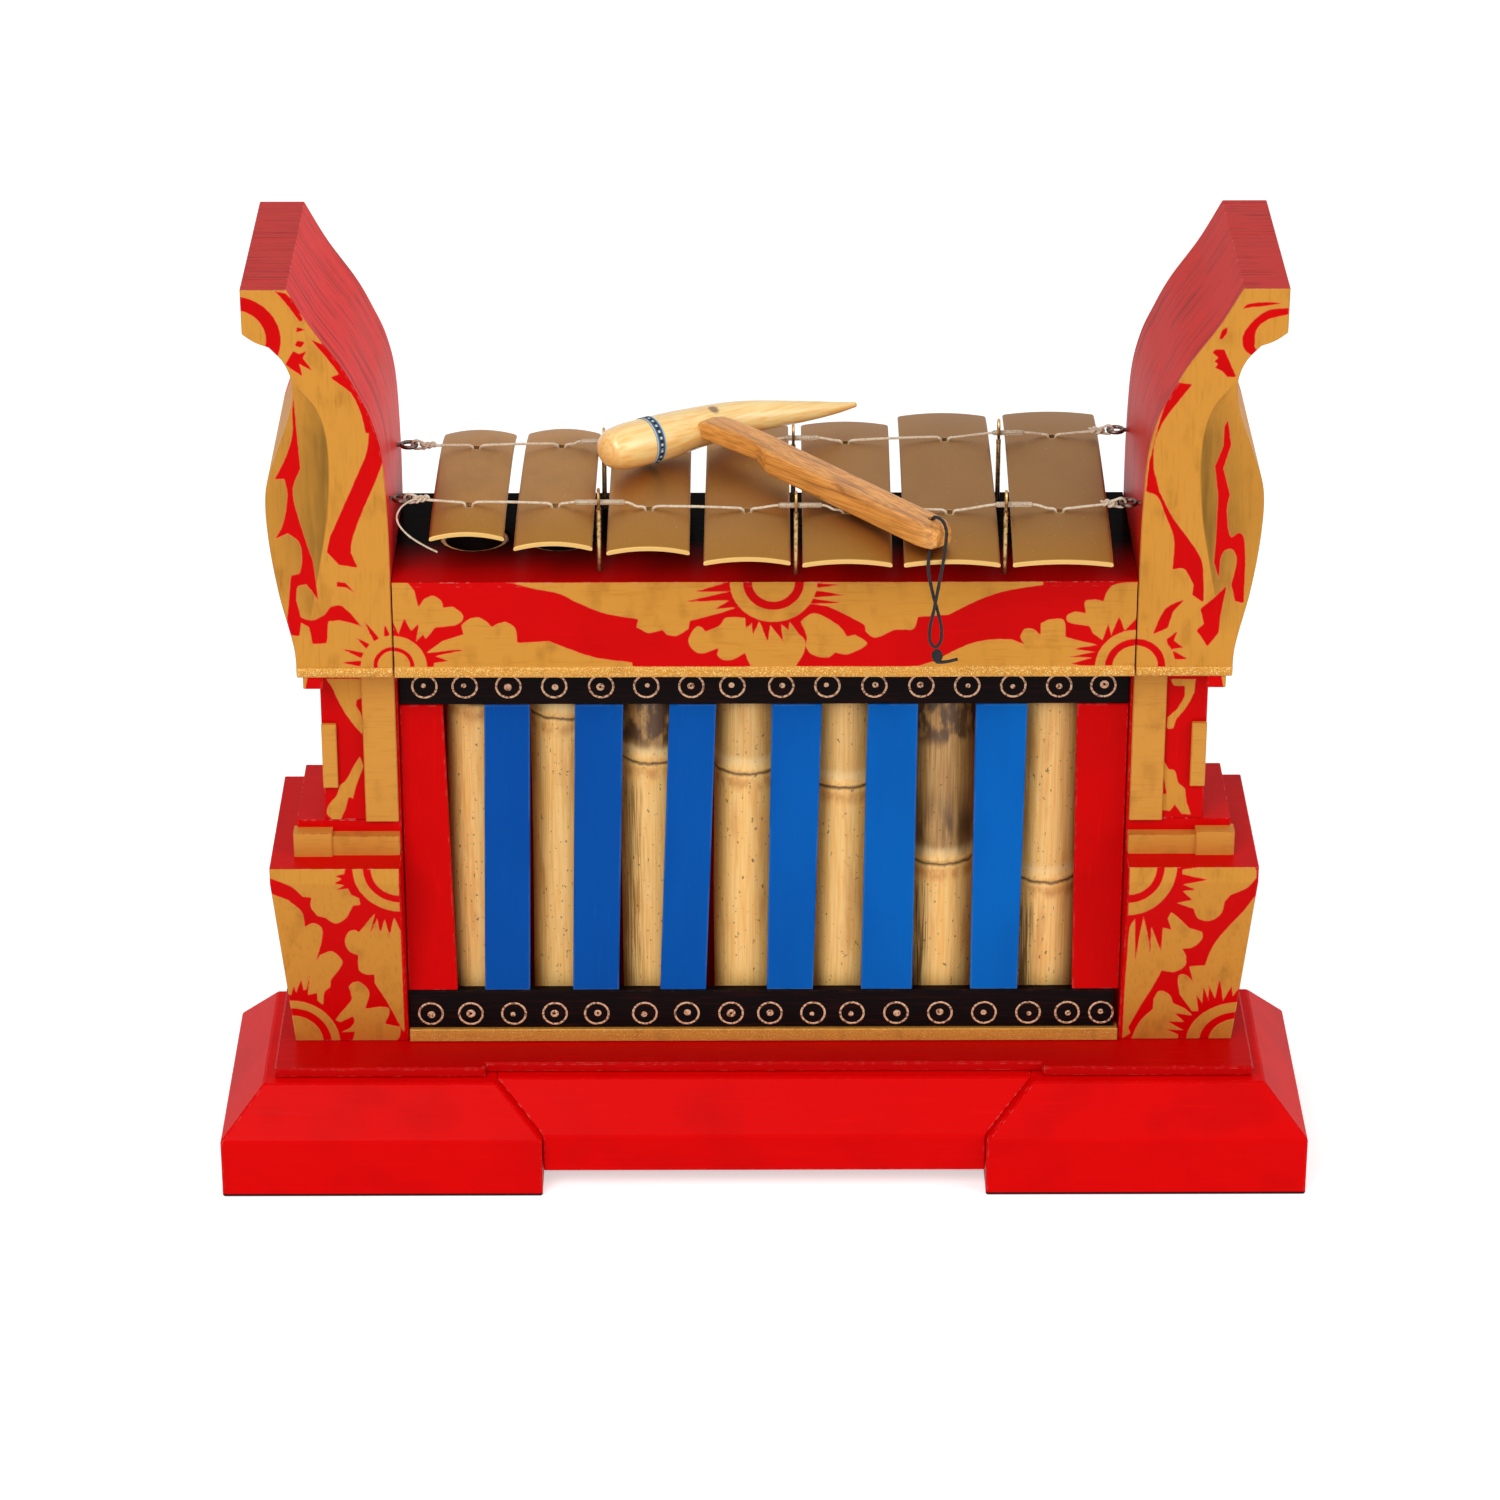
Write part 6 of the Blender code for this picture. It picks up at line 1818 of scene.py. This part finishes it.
def nylon_finish(name, clear, rough):
    finish = Finish(name, transmission_weight=clear, ior=1.5, specular_ior_level=0.5)
    place = finish.place()
    cloudy = finish.noise(place, 1.4, (1, 1, 1), 3.0)
    return finish.show(base_color=finish.mix(cloudy.step(0.4, 0.7), NYLON, NYLON_DULL),
                       roughness=rough + 0.2 * cloudy, normal=finish.bump(cloudy, 0.05))


def blend_piece(name, mesh, start, end, row):
    """A piece of cord in place of its row's cord; 'start' and 'end' are not used."""
    made = add_piece(name, mesh, nylon, None, ["cord_" + row], ROUND_ANGLE)
    [value * MM for value in start]
    [value * MM for value in end]
    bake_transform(made)


def half_span(row, number, side, anchor):
    """From an anchor on the case to a bar's hole, down and half round its toggle."""
    key = KEYS[number - 1]
    x, y, z = hole_top(key, key["holes"][0 if row == "front" else 1])
    over = [(x - side * dx, y, z + dz) for dx, dz in OVER_KEY]
    under = [(x - side * dx, y, z - KEY_THICK + dz) for dx, dz in UNDER_KEY]
    way = [anchor[0]] + list(anchor[1:])
    if row == "front" and number == PRESSED_KEY and side > 0:
        along = (key["holes"][0] - key["mid"]) / key["half"]
        half_width = key_top(key, along, 1.0)[0] - x
        pressed = [key_top(key, along, reach / half_width) + (0, 0, CORD_RADIUS + 0.3)
                   for reach in PRESSED_AT]
        way += [tuple(point) for point in pressed[::-1]] + over[1:]
    else:
        way += over
    meshes = [cord_mesh(way + under)]
    if side < 0:
        level = z - KEY_THICK - TOGGLE_DROP
        meshes.append(rod("toggle", [(x, y - TOGGLE_HALF, level), (x, y + TOGGLE_HALF, level)],
                          TOGGLE_RADIUS, 12))
    side_word = "left" if side < 0 else "right"
    blend_piece(f"cord_{row}_{number}_{side_word}", join_meshes("span", meshes), anchor[-1],
                over[0], row)


def supports(row):
    """For each bar, the anchors of its cord on its left and right: knots, pins or mid-points."""
    left_y, right_y = EYE_DEPTHS[row]
    pins = pin_places(row)
    hole = 0 if row == "front" else 1
    anchors = [[(-KNOT_X, left_y, KNOT_Z)]]
    for number in range(1, len(KEYS)):
        if number % 2 == 0:
            px, py = pins[number // 2 - 1]
            anchors.append([(px, py, CORD_LEVEL), SLEEVES[row][number // 2 - 1]])
        else:
            a = hole_top(KEYS[number - 1], KEYS[number - 1]["holes"][hole])
            b = hole_top(KEYS[number], KEYS[number]["holes"][hole])
            anchors.append([tuple((a + b) / 2 + (0, 0, 1.5))])
    anchors.append([(KNOT_X, right_y, KNOT_Z)])
    return anchors


nylon = nylon_finish("nylon_cord", 0.25, 0.25)
sleeve_nylon = nylon_finish("nylon_sleeve", 0.6, 0.2)
for row in ("front", "back"):
    anchors = supports(row)
    for number in range(1, len(KEYS) + 1):
        for side, anchor in ((-1, anchors[number - 1]), (1, anchors[number])):
            place = anchor[0]
            stations = [place]
            if len(anchor) > 1:
                reach = anchor[1][0 if side > 0 else 1] + 0.3
                stations.append((place[0] - side * reach, place[1], place[2]))
            half_span(row, number, side, stations)
    ties = [cord_mesh(eye_loop(side, y)) for side, y in zip((-1, 1), EYE_DEPTHS[row])]
    for side, y in zip((-1, 1), EYE_DEPTHS[row]):
        ties.append(knot_mesh(np.array([side * KNOT_X, y, KNOT_Z]), 2.3, 0.0))
        ties.append(knot_mesh(np.array([side * (KNOT_X - 2.6), y + 0.4, KNOT_Z + 0.3]), 1.9, 0.4))
    if row == "front":
        ties.append(cord_mesh(LOOSE_TAIL, 0.45, 6, (1, 0, 0)))
    add_piece("cord_ties_" + row, join_meshes("ties", ties), nylon, "root",
              ["cord_" + row], ROUND_ANGLE)
    sleeves = [rod("sleeve", [(x - left + 1, y, CORD_LEVEL), (x + right - 1, y, CORD_LEVEL)],
                   SLEEVE_RADIUS, 16, (0, 1, 0))
               for (x, y), (left, right) in zip(pin_places(row), SLEEVES[row])]
    add_piece("cord_sleeves_" + row, join_meshes("sleeves", sleeves), sleeve_nylon, "root",
              ["cord_" + row], ROUND_ANGLE)
print("two cords over", sum(len(row) for row in PINS.values()), "pins")

# %% [markdown]
# ## Mallet
#
# The head is a horn-shaped piece of light wood under varnish: a tube whose middle line bends and
# whose radius falls from a blunt nose to a long tip. The stick is split bamboo, thick and square,
# with broken corners, coped to the head's side and thinned there on its under side.

# %% Mallet head and band
HEAD = [(-74.0, -6.5, 15.1, 5.0), (-72.6, -5.4, 15.1, 7.6), (-69.5, -3.2, 15.1, 9.6),
        (-64.0, 0.7, 14.9, 10.7), (-57.0, 5.6, 14.7, 10.9), (-50.2, 10.5, 14.5, 10.9),
        (-46.0, 13.8, 14.4, 10.8), (-35.6, 22.0, 14.2, 10.0), (-20.0, 33.4, 13.8, 8.7),
        (-8.0, 39.5, 13.5, 7.7), (4.2, 44.0, 13.0, 6.6), (21.3, 50.6, 12.0, 4.7),
        (34.0, 55.5, 11.5, 2.9), (43.8, 60.0, 11.3, 1.2)]
BAND_FROM = (-57.0, 5.6, 14.7)
BAND_TO = (-50.2, 10.5, 14.5)
BAND_RADIUS = 10.75
BAND_THICK = 0.5
BAND_WIDTH = 5.0
HEAD_KNOT = (-23.5, 27.3)
HEAD_SIDES = 40


def head_stations():
    """The head's middle line and radii, each end closed by one small station further out."""
    line = smooth([(x, y, CROWN_LEVEL + rise, radius) for x, y, rise, radius in HEAD], 8)
    path = line[:, :3]
    nose = path[0] - 0.9 * unit(path[1] - path[0])
    tip = path[-1] + 0.3 * unit(path[-1] - path[-2])
    return np.vstack([nose, path, tip]), np.concatenate([[2.6], line[:, 3], [0.8]])


def head_finish(name):
    """Light wood under gloss varnish: long grain along the head, and one small knot."""
    finish = Finish(name, coat_weight=0.6, coat_roughness=0.12)
    place = finish.place()
    turned = finish.turned(place, math.radians(-34))
    grain = finish.noise(turned, 1.4, (24, 1, 1), 3.0)
    slow = finish.noise(turned, 9.0, (3, 1, 1), 2.0, 4.0)
    color = finish.mix(grain.step(0.38, 0.72), HEAD_LIGHT, HEAD_GRAIN)
    color = finish.mix(slow.step(0.45, 0.7) * 0.6, color, HEAD_WARM)
    knot = finish.vector("DISTANCE", finish.vector("MULTIPLY", place, (1, 1, 0)), (*HEAD_KNOT, 0),
                         output="Value")
    color = finish.mix(knot.step(3.4, 1.4) * 0.8, color, HEAD_DARK)
    return finish.show(base_color=color, roughness=0.3 + 0.15 * grain,
                       normal=finish.bump(grain, 0.05))


HEAD_LIGHT = rgb(255, 224, 150)
HEAD_GRAIN = rgb(250, 194, 108)
HEAD_WARM = rgb(246, 182, 98)
HEAD_DARK = rgb(92, 52, 24)
head_line, head_radii = head_stations()
head_mesh = closed_grid("mallet_horn", tube(head_line, head_radii, HEAD_SIDES, (0, 0, 1)))
add_piece("mallet_horn", head_mesh, head_finish("varnished_wood"), "mallet",
          ["mallet_head"], ROUND_ANGLE)
print("head is", round(float(np.linalg.norm(np.diff(head_line, axis=0), axis=1).sum())), "mm long")


# %% Band with its pattern
BAND_CLOTH = rgb(10, 14, 26)
BAND_BLUE = rgb(46, 110, 160)
BAND_HEM = rgb(196, 214, 222)
BAND_DOT = rgb(226, 232, 232)
BAND_DOTS = 22.0


def band_mesh(name):
    """A ring with a rectangular section; 'turn' goes once round and 'breadth' from edge to edge."""
    a = np.array(BAND_FROM) + (0, 0, CROWN_LEVEL)
    b = np.array(BAND_TO) + (0, 0, CROWN_LEVEL)
    way = unit(b - a)
    middle = (a + b) / 2
    side = unit(np.cross(way, (0, 0, 1)))
    up = np.cross(side, way)
    t = turns(96)
    outward = np.cos(t)[:, None] * side + np.sin(t)[:, None] * up
    edge = np.array([(-0.5, 0), (-0.5, 0.7), (-0.46, 1), (-0.2, 1), (0.2, 1), (0.46, 1), (0.5, 0.7),
                     (0.5, 0)])
    points = (middle + outward[:, None] * (BAND_RADIUS + BAND_THICK * edge[None, :, 1:])
              + way * BAND_WIDTH * edge[None, :, :1])
    turn = np.broadcast_to((t / (2 * np.pi))[:, None], points.shape[:2])
    breadth = np.broadcast_to(edge[None, :, 0] + 0.5, points.shape[:2])
    return closed_grid(name, points, {"turn": turn, "breadth": breadth}, joined=True)


def band_finish(name):
    """Dark cloth with a row of white dots between two blue stripes and pale hems."""
    finish = Finish(name, roughness=0.7)
    place = finish.place()
    turn = finish.attribute("turn")
    breadth = finish.attribute("breadth")
    along = turn.math("PINGPONG", turn * (2 * BAND_DOTS), 1.0)
    dots = along.step(0.5, 0.75) * breadth.near(0.5, 0.2)
    stripes = breadth.near(0.24, 0.1).larger(breadth.near(0.76, 0.1))
    hems = breadth.near(0.08, 0.12).larger(breadth.near(0.92, 0.12))
    color = finish.mix(stripes, BAND_CLOTH, BAND_BLUE)
    color = finish.mix(hems, color, BAND_HEM)
    color = finish.mix(dots, color, BAND_DOT)
    weave = finish.noise(place, 0.4, (1, 1, 1), 2.0)
    return finish.show(base_color=color, normal=finish.bump(weave, 0.08))


add_piece("mallet_ribbon", band_mesh("mallet_ribbon"), band_finish("patterned_band"), "mallet",
          ["mallet_band"])
print("band is", BAND_WIDTH, "mm wide")

# %% Stick
STICK_ROOT = (-28.7, 24.1)
STICK_WAY = (0.72, -0.694)
STICK_LENGTH = 152.8
STICK_FAR = 6.1
STICK_NEAR = 8.9
STICK_HEIGHT = 12.0
STICK_HEAD_RISE = 12.0
STICK_SLOPE = 0.088
STICK_HOLE_INSET = 8.8
STICK_HOLE_RADIUS = 1.7
STICK_CUTS = [(0, 2.2, 1.4, 5.6, 6.0), (4, 1.6, 1.0, 3.4, 3.0), (10, 1.4, 1.4, 1.2, 1.2),
              (22, 1.8, 2.0, 0.2, 0.3), (40, 2.6, 2.8, 0, 0), (46, 1.0, 1.0, 0, 0), (50, 0, 0, 0, 0),
              (96, 0, 0, 0, 0), (142, 0, 0, 0, 0), (147.5, 0.8, 0.2, 0.2, 0.2),
              (150.5, 1.3, 0.8, 0.8, 0.8), (STICK_LENGTH, 2.8, 2.6, 2.6, 2.6)]


def stick_mesh(name):
    """Sections at distances from the head end: a rectangle whose corners are rounded by a power,
    |w|^p + |h|^p = 1, less what the maker took off each side there."""
    table = np.array(STICK_CUTS, float)
    s = np.concatenate([np.linspace(0, 138, 90), np.linspace(139, STICK_LENGTH, 20)])
    low, near, drop, far = (np.interp(s, table[:, 0], table[:, k])[:, None] for k in range(1, 5))
    way = unit(np.array(STICK_WAY))
    across = np.array([way[1], -way[0]])
    middle = np.array(STICK_ROOT) + s[:, None] * way
    level = (CROWN_LEVEL + STICK_HEAD_RISE - STICK_SLOPE * s)[:, None]
    t = (turns(40) + np.pi / 40)[None, :]
    power = 2 / 7.0
    w = np.sign(np.cos(t)) * np.abs(np.cos(t)) ** power
    h = np.sign(np.sin(t)) * np.abs(np.sin(t)) ** power
    left = far - STICK_FAR
    right = STICK_NEAR - near
    bottom = level + low
    top = level + STICK_HEIGHT - drop
    wide = (left + right) / 2 + w * (right - left) / 2
    high = (bottom + top) / 2 + h * (top - bottom) / 2
    uneven = 0.12 * np.sin(s[:, None] / 7.0 + 2 * t) * np.sin(s[:, None] / 19.0)
    flat = middle[:, None] + (wide + uneven)[..., None] * across
    return closed_grid(name, np.concatenate([flat, high[..., None]], axis=-1))


def stick_finish(name):
    """Oiled brown bamboo: fibres along the stick, paler and darker strips, dark pores at the end."""
    finish = Finish(name, coat_weight=0.25, coat_roughness=0.25)
    place = finish.place()
    turned = finish.turned(place, -math.atan2(STICK_WAY[1], STICK_WAY[0]))
    fibres = finish.noise(turned, 0.55, (40, 1, 1), 4.0)
    strips = finish.noise(turned, 3.0, (16, 1, 1), 3.0, 6.0)
    spots = finish.noise(turned, 4.0, (2, 1, 1), 4.0, 9.0)
    color = finish.mix(fibres.step(0.38, 0.68), STICK_LIGHT, STICK_BROWN)
    color = finish.mix(strips.step(0.45, 0.7) * 0.55, color, STICK_DEEP)
    color = finish.mix(spots.step(0.6, 0.76) * 0.5, color, STICK_DEEP)
    return finish.show(base_color=color, roughness=0.36 + 0.2 * fibres,
                       normal=finish.bump(fibres, 0.09))


STICK_LIGHT = rgb(236, 164, 76)
STICK_BROWN = rgb(198, 124, 48)
STICK_DEEP = rgb(122, 66, 22)
STICK_ANGLE = 40.0
COPE_GAP = 0.3
hole_way = (STICK_LENGTH - STICK_HOLE_INSET) * unit(np.array(STICK_WAY))
hole_x, hole_y = np.array(STICK_ROOT) + hole_way
stick = cut("mallet_stick", stick_mesh("blank"), [
    closed_grid("cope", tube(head_line, head_radii + COPE_GAP, HEAD_SIDES, (0, 0, 1))),
    round_cutter(hole_x, hole_y, CROWN_LEVEL - 12, CROWN_LEVEL + 24, STICK_HOLE_RADIUS)])
add_piece("mallet_stick", stick, stick_finish("bamboo_stick"), "mallet",
          ["mallet_handle"], STICK_ANGLE)
print("stick is", STICK_LENGTH, "mm long")

# %% [markdown]
# ## Lanyard
#
# A loop of thin black cord hangs from the hole in the stick, over the front of the case, and ends
# in a small knot with a tail. It is limp, so it hangs plumb, and its route is a short list of
# given points.

# %% Lanyard and its knot
LANYARD_RADIUS = 0.75
LANYARD_SIDES = 10
LANYARD_PITCH = 3.4
BLACK_CORD = rgb(9, 7, 8)
BLACK_FUZZ = rgb(34, 28, 30)
LANYARD = [(75.0, -75.8, 349), (75.1, -76.3, 354.4), (76.7, -77.9, 356.5), (79.7, -81.2, 355.9),
           (81.3, -84.6, 352.4), (80.9, -87.8, 347.4), (80.1, -90.3, 341.5), (79.0, -91.0, 335),
           (77.4, -91.2, 325), (75.6, -91.3, 314.5), (74.3, -91.0, 307), (74.6, -90.4, 300.5),
           (77.0, -90.0, 297.6), (79.4, -89.6, 300.5), (79.6, -89.5, 307), (77.8, -89.4, 315),
           (75.4, -89.5, 324), (73.6, -89.7, 333), (73.2, -89.6, 338), (73.4, -88.4, 341.1),
           (73.9, -84.5, 342.1), (74.4, -80.3, 342.4), (74.85, -77.3, 343.1), (75.0, -76.0, 345.1),
           (75.0, -75.8, 347.0)]
LANYARD_KNOT = [(77.2, -90.0, 296.2, 0.9), (77.5, -90.0, 295.2, 2.0), (77.8, -90.0, 293.4, 2.4),
                (78.2, -90.0, 291.4, 2.0), (79.4, -90.0, 290.2, 0.9), (82.6, -90.0, 290.4, 0.75),
                (87.2, -90.0, 291.6, 0.75)]


def black_cord_finish(name):
    finish = Finish(name, sheen_weight=0.05)
    place = finish.place()
    fuzz = finish.noise(place, 0.5, (1, 1, 1), 3.0)
    return finish.show(base_color=finish.mix(fuzz.step(0.45, 0.7), BLACK_CORD, BLACK_FUZZ),
                       roughness=0.75 + 0.15 * fuzz, normal=finish.bump(fuzz, 0.12))


black_cord = black_cord_finish("black_cord")
lanyard_path = smooth(LANYARD, 4)
lanyard_length = float(np.linalg.norm(np.diff(lanyard_path, axis=0), axis=1).sum())
gone = np.linspace(0, lanyard_length, len(lanyard_path))
twist = 2 * turns(LANYARD_SIDES)[None, :] - gone[:, None] * 2 * np.pi / LANYARD_PITCH
strands = LANYARD_RADIUS * (1 + 0.12 * np.cos(twist))
loop_mesh = closed_grid("lanyard_loop", tube(lanyard_path, strands, LANYARD_SIDES, (0.7, 0.7, 0)))
lanyard = add_piece("lanyard_loop", loop_mesh, black_cord, "mallet", ["lanyard"],
                    ROUND_ANGLE)
knot_line = smooth([point[:3] for point in LANYARD_KNOT], 5)
knot_radii = smooth([(point[3], 0) for point in LANYARD_KNOT], 5)[:, 0]
wound = 1 + 0.16 * np.sin(np.arange(len(knot_line)) * 1.9)[:, None] * (knot_radii > 1.2)[:, None]
tie_radii = knot_radii[:, None] * wound * np.ones(CORD_SIDES)
tie_mesh = closed_grid("lanyard_tie", tube(knot_line, tie_radii, CORD_SIDES, (0, 1, 0)))
lanyard_tie = add_piece("lanyard_tie", tie_mesh, black_cord, "mallet",
                        ["lanyard_knot"], ROUND_ANGLE)
print("lanyard is", round(lanyard_length, 1), "mm long")
